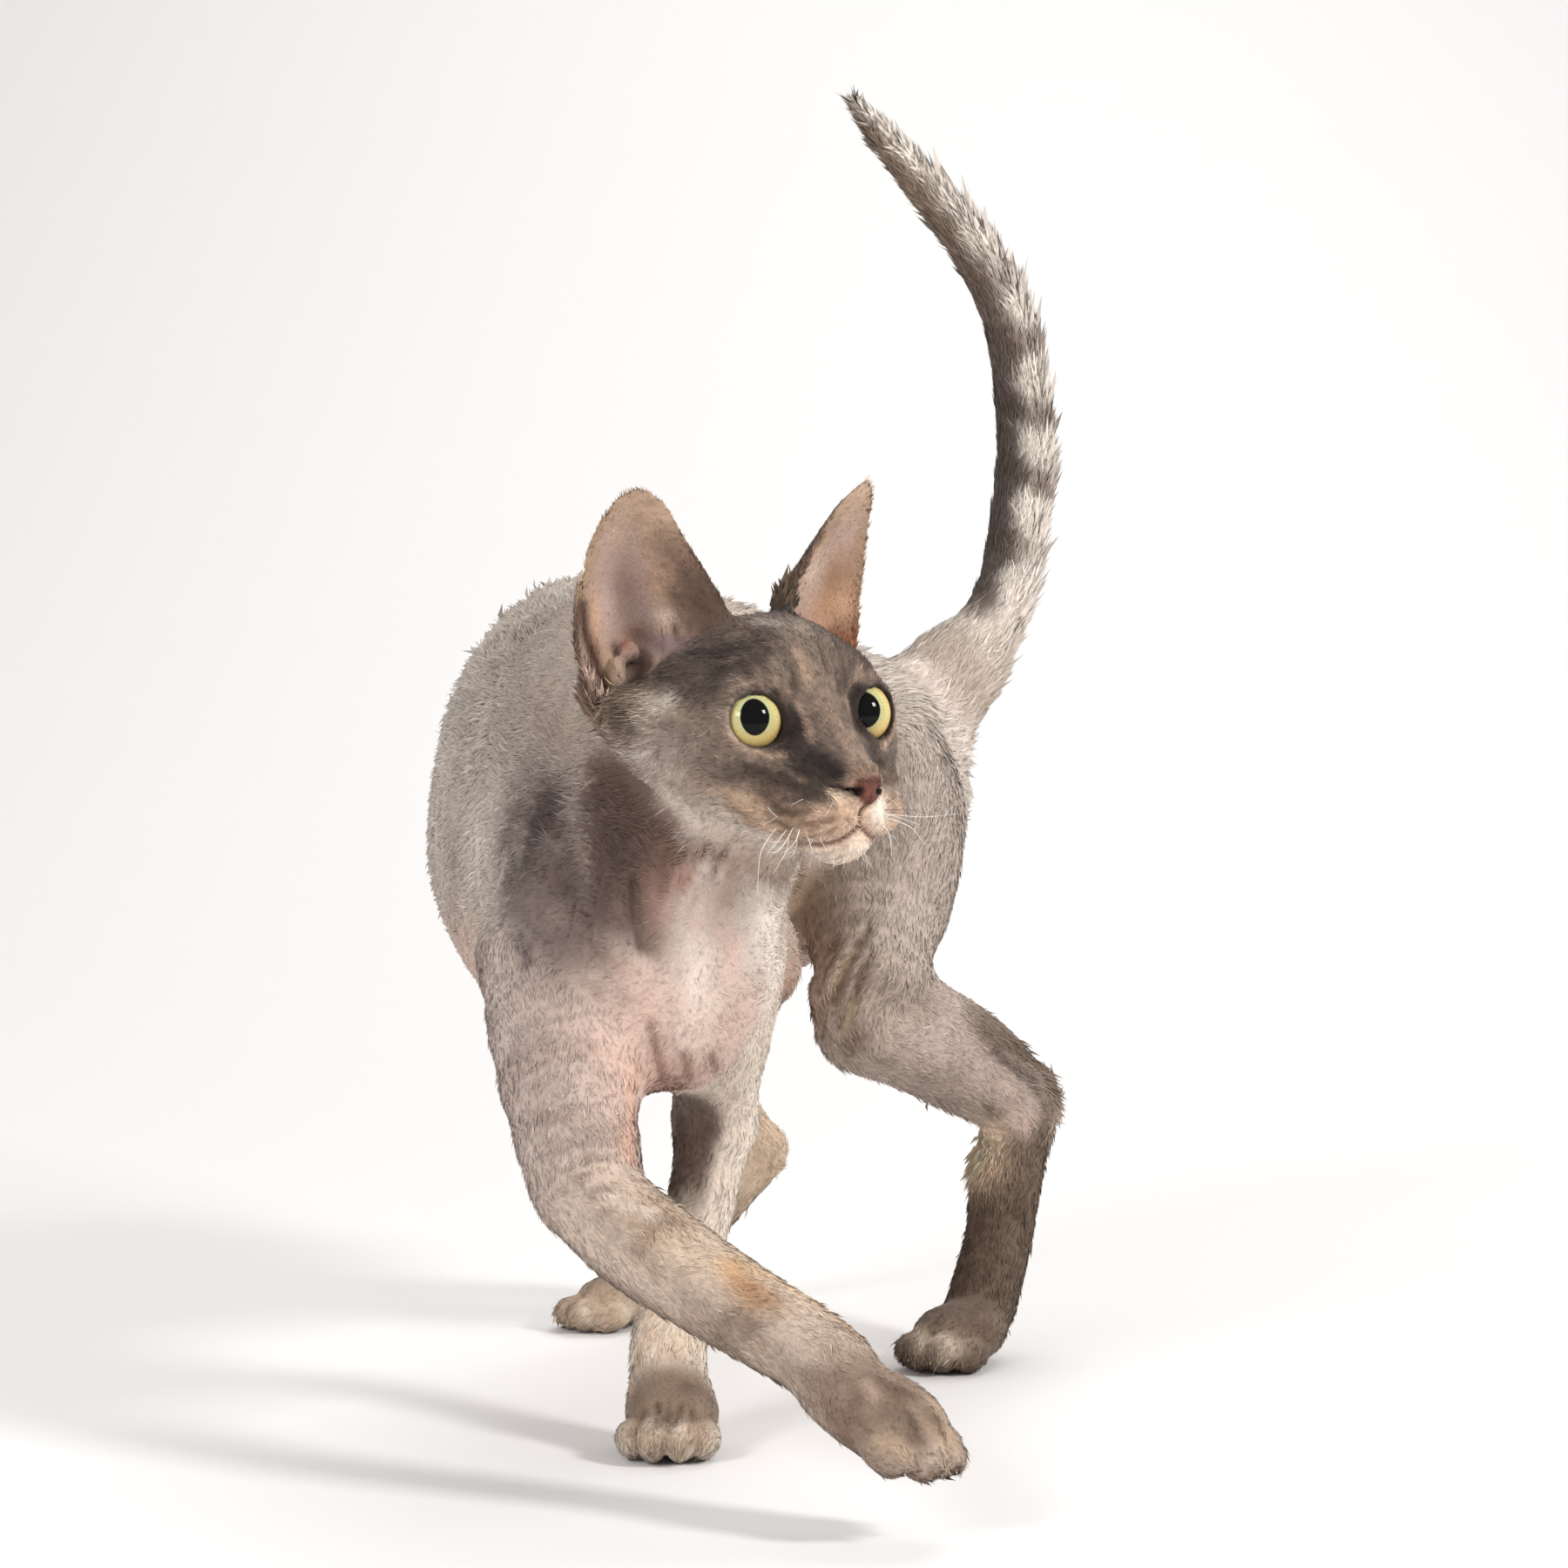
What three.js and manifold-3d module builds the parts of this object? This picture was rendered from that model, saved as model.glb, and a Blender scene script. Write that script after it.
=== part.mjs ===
// Devon rex cat, life size, walking with one forepaw lifted, tail raised, head turned.
// Millimetres, +Z up, the floor at z = 0, the cat facing -Y.
// The body is one smooth solid, blended from bulges and tapered lengths round the bones,
// and parted with thin straight cuts where a person would name its parts.
import * as THREE from 'three';
import Module from 'manifold-3d';

// ------------------------------------------------------------------ sizes
// middle of the head
const HEAD_CENTRE = [-5, -36, 227];
// head turned to its left, chin a little up, tilted
const HEAD_TURN = [36, 2, -2.5];
// middle of the right eyeball in head axes, and its radius
const EYE = [20, 17.3, 1.5, 11];
// degrees each eye looks outward
const EYE_OUT = 13;
// lengths round the bones: name, blend, steps, coat, then rows of x, y, z, half width, half height above, below
const CHAINS = [
  ["trunk", 0, 8, 3.0, [
      [-33, -20, 170, 29, 46, 44],
      [-42, 14, 180, 40, 69, 63],
      [-53, 46, 185, 47, 79, 72],
      [-61, 84, 186, 54, 84, 73],
      [-63, 120, 187, 57.5, 87, 68],
      [-52, 162, 192, 54, 82, 67],
      [-21, 204, 195, 47, 71, 59],
      [14, 231, 194, 41, 59, 54],
      [36, 249, 197, 33, 47, 44],
    ]],
  ["neck", 22, 4, 2.2, [
      [-47, 34, 214, 37, 46, 52],
      [-34, 6, 211, 33, 42, 50],
      [-20, -17, 212, 29, 36, 40],
      [-10, -33, 216, 27, 30, 32],
    ]],
  ["tail", 12, 3, 6.0, [
      [40, 246, 216, 24, 24, 24],
      [60, 262, 238, 21, 21, 21],
      [73, 270, 254, 15, 15, 15],
      [82, 278, 271, 13, 13, 13],
      [87, 286, 294, 12.8, 12.8, 12.8],
      [90.5, 296, 322, 12.8, 12.8, 12.8],
      [89, 302, 349, 12, 12, 12],
      [83, 300, 377, 10.8, 10.8, 10.8],
      [69, 291, 402, 9.6, 9.6, 9.6],
      [48, 276, 426.5, 8, 8, 8],
      [33, 259, 442, 6, 6, 6],
      [27, 251, 449, 2.6, 2.6, 2.6],
    ]],
  ["foreleg_right_upper", 16, 3, 2.2, [[-71, 4, 152, 25, 25, 25], [-67, -22, 126, 23, 23, 23], [-61, -50, 98, 19, 19, 20]]],
  ["foreleg_right_lower", 8, 3, 2.0, [
      [-59, -58, 88, 16, 16, 15.5],
      [-42, -75, 75, 16.5, 16.5, 15.5],
      [-16, -93, 60.5, 14.8, 15, 14.2],
      [5, -106, 50, 13.4, 14, 13.4],
      [13, -113, 45, 13.4, 14, 13.4],
    ]],
  ["foreleg_left_upper", 12, 3, 2.2, [[-20, 4, 150, 19, 22, 22], [-21, 26, 122, 16, 19, 19], [-22, 43, 100, 13.5, 15.5, 15.5]]],
  ["foreleg_left_lower", 8, 3, 2.0, [
      [-22, 44, 98, 13, 14, 14],
      [-26, 35, 75, 12, 12, 12],
      [-32, 22, 50, 11.5, 11.5, 11.5],
      [-36, 11, 32, 13, 13, 13],
      [-36, 2, 20, 13, 13, 13],
    ]],
  ["hindleg_left_upper", 16, 3, 2.4, [[37, 208, 188, 27, 33, 33], [33, 186, 158, 25, 29, 29], [29, 160, 132, 19, 21, 21]]],
  ["hindleg_left_lower", 12, 3, 2.4, [
      [27, 152, 121, 17, 20, 20],
      [47, 168, 113, 16, 22, 20.5],
      [68, 189, 101, 14, 20, 20],
      [86.5, 207, 85, 11.5, 13.5, 15],
    ]],
  ["hindleg_left_foot", 8, 3, 2.4, [
      [86.5, 209, 84, 12, 13.5, 13.5],
      [80, 198, 59, 13.5, 14, 14],
      [76, 186, 38, 13, 13.2, 13.2],
      [70, 170, 20, 13.5, 13.5, 13.5],
    ]],
  ["hindleg_right_upper", 16, 3, 2.4, [[-16, 232, 170, 27, 32, 32], [-36, 220, 146, 22, 24, 24], [-48, 213, 127, 17, 18, 18]]],
  ["hindleg_right_lower", 12, 3, 2.2, [
      [-49, 213, 124, 15, 15, 15],
      [-37, 230, 105, 13.5, 14, 14],
      [-21, 250, 80, 12, 12, 12],
      [-11, 262, 62, 11, 11, 11],
    ]],
  ["hindleg_right_foot", 8, 3, 2.2, [
      [-10, 264, 61, 11, 11, 11],
      [-24, 258, 44, 11, 11, 11],
      [-43, 250, 26, 10.5, 10.5, 10.5],
      [-54, 243, 16, 11, 11, 11],
    ]],
];
// muscle and bone under the skin: name, middle, radii, turn, blend, coat
const BULGES = [
  ["chest", [-33, -19, 150], [26, 22, 36], [10, 0, 0], 18, 2.2],
  ["breastbone", [-33, 10, 126], [20, 26, 15], [5, 0, 0], 14, 2.0],
  ["belly", [-22, 146, 142], [27, 42, 25], [15, 0, 0], 18, 2.4],
  ["shoulder_blade_right", [-62, 40, 226], [14, 26, 36], [-8, 0, 12], 16, 2.8],
  ["shoulder_blade_left", [-30, 40, 226], [14, 26, 36], [8, 0, -12], 16, 2.8],
  ["shoulder_right", [-66, 14, 172], [19, 32, 46], [0, 0, 0], 18, 2.4],
  ["shoulder_left", [-24, 14, 160], [17, 30, 40], [0, 0, 0], 16, 2.4],
  ["thigh_left", [35, 204, 190], [23, 42, 48], [20, 0, 0], 22, 2.6],
  ["thigh_right", [-16, 226, 176], [24, 42, 48], [40, 0, 0], 22, 2.6],
];
// the same in head axes (right, forward, up); one off the middle is on both sides
const HEAD = [
  ["skull", [0, -9, 5], [30, 31, 28], 14, 1.6],
  ["forehead", [0, 8, 14], [23, 21, 17], 12, 1.6],
  ["face", [0, 2, -13], [29, 27, 19], 12, 1.6],
  ["cheekbone", [24, 9, -9], [14, 16, 13.5], 10, 1.6],
  ["orbit", [21, 13, 3], [13.5, 11.5, 12.5], 8, 1.6],
  ["brow", [15, 17, 15], [10, 7.5, 5], 8, 1.6],
  ["whisker_pad", [9.8, 34.5, -27.5], [10.6, 11.5, 8.4], 8, 1.2],
  ["cheek", [17, 23, -20], [11, 12, 10.5], 10, 1.3],
  ["nose_side", [9.5, 27, -9], [8, 9, 9], 10, 1.2],
  ["ear_base", [26, -6, 8], [11, 13, 13], 10, 1.4],
  ["ear_foot", [40, -12, 3], [7.5, 9, 10], 12, 1.2],
  ["ear_foot_low", [36, -8, -6], [7, 8, 8], 10, 1.2],
  ["nose", [0, 46, -20], [5.6, 3.8, 4.8], 3, 0.6],
  ["chin", [0, 33.5, -35.5], [8.4, 9, 6.4], 5, 1.2],
];
// tapered lengths of the face: from, to, radii at each end (sideways, up, down), blend, coat
const HEAD_BARS = [
  ["muzzle", [0, 12, -16], [0, 32, -24], [20, 14, 14], [13, 9, 10], 9, 1.4],
  ["nose_bridge", [0, 22, 6], [0, 43, -15.5], [8.5, 5.5, 9], [6.2, 4.6, 7], 9, 1.0],
  ["jaw", [0, 0, -26], [0, 30, -33], [19, 9, 8], [9, 6, 7], 8, 1.4],
];
// hollows in head axes: name, middle, radii, blend
const HOLLOWS = [["ear_canal", [37, -13, 25], [7, 8, 8], 3]];
// dish round each eye: distance out from its middle, radii, blend
const EYE_DISH = [16.2, 10.3, 10.0, 10.3, 3.0];
// up the ear: height, outer edge, inner edge, depth of the cup, lean forward, thickness
const EAR = [
  [-26, 12, -8, 13, -4, 3.0],
  [-18, 17, -15, 15, -3, 2.8],
  [-8, 22, -21, 16.5, -2, 2.6],
  [2, 24.6, -24, 17, -1, 2.5],
  [12, 25.5, -23.5, 16, 0, 2.4],
  [22, 25, -19.5, 13, 1.6, 2.3],
  [32, 22.8, -13.5, 9.5, 4.8, 2.2],
  [42, 19, -8, 6, 9, 2.1],
  [48, 15.6, -4.6, 3.6, 12.2, 2.0],
  [52, 12.2, -0.6, 2, 14.5, 1.9],
  [55, 7.4, 5.6, 1, 16, 1.8],
];
// root of the right ear in head axes
const EAR_ROOT = [30.7, -11.2, 18];
// degrees each ear is turned outward
const EAR_TURN = 25;
// paws: name, middle, turn, pitch, size, radii
const PAWS = [
  ["foreleg_left_paw", [-35, -9, 11], -4, 0, 1.06, [14.5, 18, 11]],
  ["foreleg_right_paw", [30, -129, 33], 52, -17, 1.1, [15, 22, 12]],
  ["hindleg_left_paw", [59, 149, 11], -30, 0, 1.08, [15, 19, 11]],
  ["hindleg_right_paw", [-64, 234, 10], -48, 0, 1.0, [14, 18, 10.5]],
];
// toes of one paw: right, forward, up, radius
const TOES = [[-10.5, 8, -4.0, 6.2], [-4, 13, -3.2, 6.8], [4, 13, -3.2, 6.8], [10.5, 8, -4.0, 6.2]];
// ORIGIN
const ORIGIN = [-8.8, 81.9, 0];
const CUT = 0.3;             // width of the thin cuts between the parts
const SLIVER = 0.12;         // edges shorter than this are drawn together after cutting
const GRID = { body: 8.2, head: 4.4, paw: 4.3, tail: 6.0 };       // step of the sampling
const FACETS = { body: 3100, head: 1800, paw: 330, tail: 500 };     // facets kept
// straight cuts: the part beyond each is named; at = a point of the cut, to = the way the part lies
// half = half the size of the block sideways, along "up" and the reach of the block beyond the cut
const PARTS = [
  ["head", "fine", [-16.7, -19.8, 218.3], [0.52, -0.72, 0.46], [0.81, 0.59, 0], 80, 80, 60, 112],
  ["foreleg_right_paw", "fine", [9, -109, 47.5], [0.78, -0.48, -0.39], [0.52, 0.85, 0], 40, 40, 40, 80],
  ["foreleg_left_paw", "fine", [-36, 8, 28], [0, -0.6, -0.8], [1, 0, 0], 28, 42, 30, 60],
  ["hindleg_left_paw", "fine", [69, 168, 20], [-0.24, -0.64, -0.72], [0.93, -0.35, 0], 36, 50, 24, 60],
  ["hindleg_right_paw", "fine", [-54, 244, 17], [-0.67, -0.43, -0.61], [0.54, -0.84, 0], 30, 40, 24, 60],
  ["foreleg_right_lower", "rest", [-60, -53, 94], [0.47, -0.7, -0.53], [0.83, 0.56, 0], 62, 45, 40, 130],
  ["foreleg_left_lower", "rest", [-26, 36, 99], [-0.1, 0.12, -0.99], [1, 0, 0], 32, 45, 60, 90],
  ["foreleg_right_upper", "rest", [-76, -16, 134], [0.12, -0.69, -0.71], [1, 0, 0], 30, 45, 45, 62],
  ["foreleg_left_upper", "rest", [-12, 14, 138], [-0.02, 0.5, -0.86], [1, 0, 0], 24, 42, 42, 60],
  ["hindleg_left_foot", "rest", [84, 206, 80], [0.28, 0.1, -0.955], [0.93, 0.35, 0], 34, 40, 50, 75],
  ["hindleg_left_lower", "rest", [36, 165, 128], [0.53, -0.06, -0.85], [0.1, 0.99, 0], 60, 50, 50, 80],
  ["hindleg_left_upper", "rest", [46, 178.5, 190], [0, 0, -1], [0.76, -0.65, 0], 52, 54, 54, 90],
  ["hindleg_right_foot", "rest", [-12, 262, 60], [-0.11, 0.19, -0.97], [1, 0, 0], 50, 44, 44, 70],
  ["hindleg_right_lower", "rest", [-43, 222, 125], [-0.04, 0.16, -0.99], [1, 0, 0], 44, 50, 50, 80],
  ["hindleg_right_upper", "rest", [-41, 258, 180], [0, 0, -1], [-0.76, 0.65, 0], 52, 54, 54, 80],
  ["neck", "rest", [-36, -13, 210], [0.42, -0.78, 0.42], [0.87, 0.48, 0], 62, 60, 46, 80],
  ["tail_base", "tail", [66, 266, 243], [0.62, 0.42, 0.66], [-0.56, 0.83, 0], 80, 240, 90, 260],
  ["tail_middle", "tail_base", [88.5, 291, 309], [0.15, 0.25, 0.95], [1, 0, 0], 90, 90, 90, 170],
  ["tail_upper", "tail_middle", [85, 301, 368], [-0.15, -0.05, 0.98], [1, 0, 0], 90, 90, 90, 120],
  ["tail_tip", "tail_upper", [60, 285, 413], [-0.6, -0.45, 0.66], [0.8, -0.6, 0], 60, 60, 60, 90],
  ["trunk_front", "rest", [-60, 92, 190], [0.1, -0.99, 0], [1, 0, 0], 90, 110, 110, 140],
  ["trunk_rear", "rest", [-10, 207, 195], [0.62, 0.78, 0], [0.78, -0.62, 0], 90, 110, 110, 110],
];
const COLOURS = {
  head: [0.42, 0.36, 0.33], ear: [0.60, 0.48, 0.42], eye: [0.72, 0.72, 0.36], neck: [0.44, 0.36, 0.33],
  trunk: [0.66, 0.60, 0.56], tail: [0.48, 0.42, 0.38], upper: [0.66, 0.59, 0.54], lower: [0.58, 0.49, 0.43], paw: [0.42, 0.36, 0.31],
};

// ------------------------------------------------------------------ vectors
const add = (a, b) => a.map((v, i) => v + b[i]);
const sub = (a, b) => a.map((v, i) => v - b[i]);
const mul = (a, k) => a.map((v) => v * k);
const dot = (a, b) => a[0] * b[0] + a[1] * b[1] + a[2] * b[2];
const cross = (a, b) => [a[1] * b[2] - a[2] * b[1], a[2] * b[0] - a[0] * b[2], a[0] * b[1] - a[1] * b[0]];
const unit = (a) => mul(a, 1 / Math.hypot(...a));
const rad = (d) => (d * Math.PI) / 180;
const blendMin = (a, b, k) => {
  if (k <= 0) return Math.min(a, b);
  const h = Math.max(k - Math.abs(a - b), 0) / k;
  return Math.min(a, b) - h * h * k * 0.25;
};
const blendMax = (a, b, k) => -blendMin(-a, -b, k);
// axes (side, forward, up) of something that looks along -Y, turned, pitched and rolled
function turned([yaw, pitch, roll]) {
  const a = rad(yaw), b = rad(pitch), r = rad(roll);
  const f = [Math.sin(a) * Math.cos(b), -Math.cos(a) * Math.cos(b), Math.sin(b)];
  const s = [-Math.cos(a), -Math.sin(a), 0];
  const u = cross(s, f);
  return [add(mul(s, Math.cos(r)), mul(u, Math.sin(r))), f, sub(mul(u, Math.cos(r)), mul(s, Math.sin(r)))];
}
const place = (c, A, p) => add(c, add(add(mul(A[0], p[0]), mul(A[1], p[1])), mul(A[2], p[2])));
const HEAD_AXES = turned(HEAD_TURN);
const inHead = (p) => place(HEAD_CENTRE, HEAD_AXES, p);
const headDir = (p) => place([0, 0, 0], HEAD_AXES, p);
const mirrored = (p) => (p[0] === 0 ? [p] : [p, [-p[0], p[1], p[2]]]);

// ------------------------------------------------------------------ shapes as distance functions
function bulge(c, r, A) {
  const ext = [0, 1, 2].map((k) => Math.hypot(...A.map((row, i) => row[k] * r[i])));
  const f = (p) => {
    const d = sub(p, c);
    let k0 = 0, k1 = 0;
    for (let i = 0; i < 3; i++) {
      const q = dot(d, A[i]) / r[i];
      k0 += q * q; k1 += (q / r[i]) ** 2;
    }
    k0 = Math.sqrt(k0);
    return (k0 * (k0 - 1)) / (Math.sqrt(k1) + 1e-9);
  };
  return { f, lo: sub(c, ext), hi: add(c, ext) };
}
// tapered length with an oval section: radii are [sideways, up, down] at each end
function bar(a, b, ra, rb, side) {
  const T = sub(b, a), l2 = dot(T, T), Tn = unit(T);
  let lat = side ?? cross(Tn, [0, 0, 1]);
  if (Math.hypot(...lat) < 1e-3) lat = [1, 0, 0];
  lat = unit(sub(lat, mul(Tn, dot(lat, Tn))));
  let up = cross(lat, Tn);
  if (up[2] < 0 && Math.abs(Tn[2]) < 0.95) up = mul(up, -1);
  const ma = Math.max(...ra), mb = Math.max(...rb);
  const f = (p) => {
    const d = sub(p, a);
    const h = Math.min(1, Math.max(0, dot(d, T) / l2));
    const q = sub(d, mul(T, h));
    let u = dot(q, lat), v = dot(q, up), t = dot(q, Tn);
    const w = ra[0] + h * (rb[0] - ra[0]);
    const hh = v > 0 ? ra[1] + h * (rb[1] - ra[1]) : ra[2] + h * (rb[2] - ra[2]);
    const rt = Math.min(w, hh);
    u /= w; v /= hh; t /= rt;
    const k0 = Math.sqrt(u * u + v * v + t * t), k1 = Math.sqrt((u / w) ** 2 + (v / hh) ** 2 + (t / rt) ** 2) + 1e-9;
    return (k0 * (k0 - 1)) / k1;
  };
  const lo = a.map((x, i) => Math.min(x - ma, b[i] - mb)), hi = a.map((x, i) => Math.max(x + ma, b[i] + mb));
  return { f, lo, hi };
}
// smooth curve through rows of numbers
function through(rows, n) {
  const R = [sub(mul(rows[0], 2), rows[1]), ...rows, sub(mul(rows.at(-1), 2), rows.at(-2))];
  const out = [];
  for (let i = 1; i < R.length - 2; i++) {
    for (let j = 0; j < n; j++) {
      const t = j / n, [a, b, c, d] = [R[i - 1], R[i], R[i + 1], R[i + 2]];
      out.push(a.map((_, k) => 0.5 * (2 * b[k] + (c[k] - a[k]) * t + (2 * a[k] - 5 * b[k] + 4 * c[k] - d[k]) * t * t + (3 * b[k] - 3 * c[k] + d[k] - a[k]) * t ** 3)));
    }
  }
  out.push(rows.at(-1));
  return out;
}
function tube(rows, n) {
  const P = through(rows, n), bars = [];
  for (let i = 0; i + 1 < P.length; i++) bars.push(bar(P[i].slice(0, 3), P[i + 1].slice(0, 3), P[i].slice(3), P[i + 1].slice(3)));
  const lo = [0, 1, 2].map((k) => Math.min(...bars.map((b) => b.lo[k]))), hi = [0, 1, 2].map((k) => Math.max(...bars.map((b) => b.hi[k])));
  return { f: (p) => bars.reduce((m, b) => Math.min(m, b.f(p)), 1e9), lo, hi };
}

// ------------------------------------------------------------------ the body, without the ears
const BODY = [];
const MARGIN = 14;
function join(s, blend, hollow = false) {
  BODY.push({ ...s, blend, hollow, lo: s.lo.map((v) => v - blend - MARGIN), hi: s.hi.map((v) => v + blend + MARGIN) });
}
const chain = (name) => {
  const [, blend, steps, , rows] = CHAINS.find((c) => c[0] === name);
  join(tube(rows, name === 'trunk' ? 4 : steps), blend);
};
function eyeAxis(side) { const a = rad(EYE_OUT); return [side * Math.sin(a), Math.cos(a), 0]; }
function buildBody() {
  chain('trunk');
  for (const [, c, r, t, blend] of BULGES) join(bulge(c, r, turned(t)), blend);
  chain('neck');
  for (const [, c, r, blend] of HEAD) for (const p of mirrored(c)) join(bulge(inHead(p), r, HEAD_AXES), blend);
  for (const [, a, b, ra, rb, blend] of HEAD_BARS) join(bar(inHead(a), inHead(b), ra, rb, HEAD_AXES[0]), blend);
  for (const s of [1, -1]) {
    const ax = eyeAxis(s), c = add([s * EYE[0], EYE[1], EYE[2]], mul(ax, EYE_DISH[0]));
    const A = [cross(ax, [0, 0, 1]), ax, [0, 0, 1]].map(headDir);
    join(bulge(inHead(c), EYE_DISH.slice(1, 4), A), EYE_DISH[4], true);
  }
  for (const [name] of CHAINS) if (name !== 'trunk' && name !== 'neck') chain(name);
  for (const [, c, yaw, pitch, k, r] of PAWS) {
    const A = turned([yaw, pitch, 0]);
    join(bulge(place(c, A, [0, -4, 0]), mul(r, k), A), 8);
    for (const [x, y, z, t] of TOES) join(bulge(place(c, A, mul([x, y, z], k)), [t * 0.92 * k, (t + 3) * k, t * k], A), 2.4);
  }
}
function bodyDistance(p) {
  let d = 30;
  for (const s of BODY) {
    if (p[0] < s.lo[0] || p[0] > s.hi[0] || p[1] < s.lo[1] || p[1] > s.hi[1] || p[2] < s.lo[2] || p[2] > s.hi[2]) continue;
    d = s.hollow ? blendMax(d, -s.f(p), s.blend) : blendMin(d, s.f(p), s.blend);
  }
  return d;
}

// ------------------------------------------------------------------ skin of a distance function, as a closed mesh
function skin(f, lo, hi, h, level = 0) {
  const n = [0, 1, 2].map((k) => Math.ceil((hi[k] - lo[k]) / h) + 1);
  const at = (i, j, k) => (i * n[1] + j) * n[2] + k;
  const D = new Float64Array(n[0] * n[1] * n[2]);
  for (let i = 0; i < n[0]; i++) for (let j = 0; j < n[1]; j++) for (let k = 0; k < n[2]; k++) {
    const edge = i === 0 || j === 0 || k === 0 || i === n[0] - 1 || j === n[1] - 1 || k === n[2] - 1;
    const v = f([lo[0] + i * h, lo[1] + j * h, lo[2] + k * h]) - level;
    D[at(i, j, k)] = edge ? Math.max(v, h * 0.4) : v;
  }
  const id = new Int32Array(D.length).fill(-1), pts = [];
  for (let i = 0; i < n[0] - 1; i++) for (let j = 0; j < n[1] - 1; j++) for (let k = 0; k < n[2] - 1; k++) {
    let s = [0, 0, 0], c = 0;
    for (const [ax, du, dv] of [[0, [0, 1, 0], [0, 0, 1]], [1, [1, 0, 0], [0, 0, 1]], [2, [1, 0, 0], [0, 1, 0]]])
      for (const u of [0, 1]) for (const v of [0, 1]) {
        const o = [i + u * du[0] + v * dv[0], j + u * du[1] + v * dv[1], k + u * du[2] + v * dv[2]], e = [...o]; e[ax] += 1;
        const a = D[at(...o)], b = D[at(...e)];
        if (a < 0 !== b < 0) { const q = [...o]; q[ax] += a / (a - b); s = add(s, q); c++; }
      }
    if (c) { id[at(i, j, k)] = pts.length; pts.push(s.map((v, m) => lo[m] + (v / c) * h)); }
  }
  // draw the points on to the true surface, except at the edge of the block
  const e = 0.2;
  for (let m = 0; m < pts.length; m++) {
    for (let it = 0; it < 2; it++) {
      const p = pts[m], d = f(p) - level;
      if (Math.abs(d) > h * 0.5) break;
      const g = [0, 1, 2].map((k) => { const a = [...p], b = [...p]; a[k] += e; b[k] -= e; return (f(a) - f(b)) / (2 * e); });
      const l = dot(g, g);
      if (l < 0.1) break;
      const step = mul(g, -d / l);
      if (Math.hypot(...step) > h * 0.35) break;
      pts[m] = add(p, step);
    }
  }
  const tri = [];
  const quad = (a, b, c, d, flip) => {
    const [A, B, C, E] = flip ? [d, c, b, a] : [a, b, c, d];
    const l = (x, y) => Math.hypot(...sub(pts[x], pts[y]));
    if (l(A, C) <= l(B, E)) tri.push(A, B, C, A, C, E); else tri.push(A, B, E, B, C, E);
  };
  for (let i = 0; i < n[0] - 1; i++) for (let j = 0; j < n[1] - 1; j++) for (let k = 0; k < n[2] - 1; k++) {
    const a = D[at(i, j, k)] < 0;
    if (j && k && a !== D[at(i + 1, j, k)] < 0) quad(id[at(i, j - 1, k - 1)], id[at(i, j, k - 1)], id[at(i, j, k)], id[at(i, j - 1, k)], !a);
    if (i && k && a !== D[at(i, j + 1, k)] < 0) quad(id[at(i - 1, j, k - 1)], id[at(i - 1, j, k)], id[at(i, j, k)], id[at(i, j, k - 1)], !a);
    if (i && j && a !== D[at(i, j, k + 1)] < 0) quad(id[at(i - 1, j - 1, k)], id[at(i, j - 1, k)], id[at(i, j, k)], id[at(i - 1, j, k)], !a);
  }
  return [pts, tri];
}

// edges that more than two facets meet at
const pinched = ([, tri]) => {
  const n = new Map();
  for (let i = 0; i < tri.length; i += 3) for (let j = 0; j < 3; j++) {
    const a = tri[i + j], b = tri[i + ((j + 1) % 3)], k = a < b ? `${a},${b}` : `${b},${a}`;
    n.set(k, (n.get(k) ?? 0) + 1);
  }
  return [...n.values()].filter((c) => c !== 2).length;
};
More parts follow.
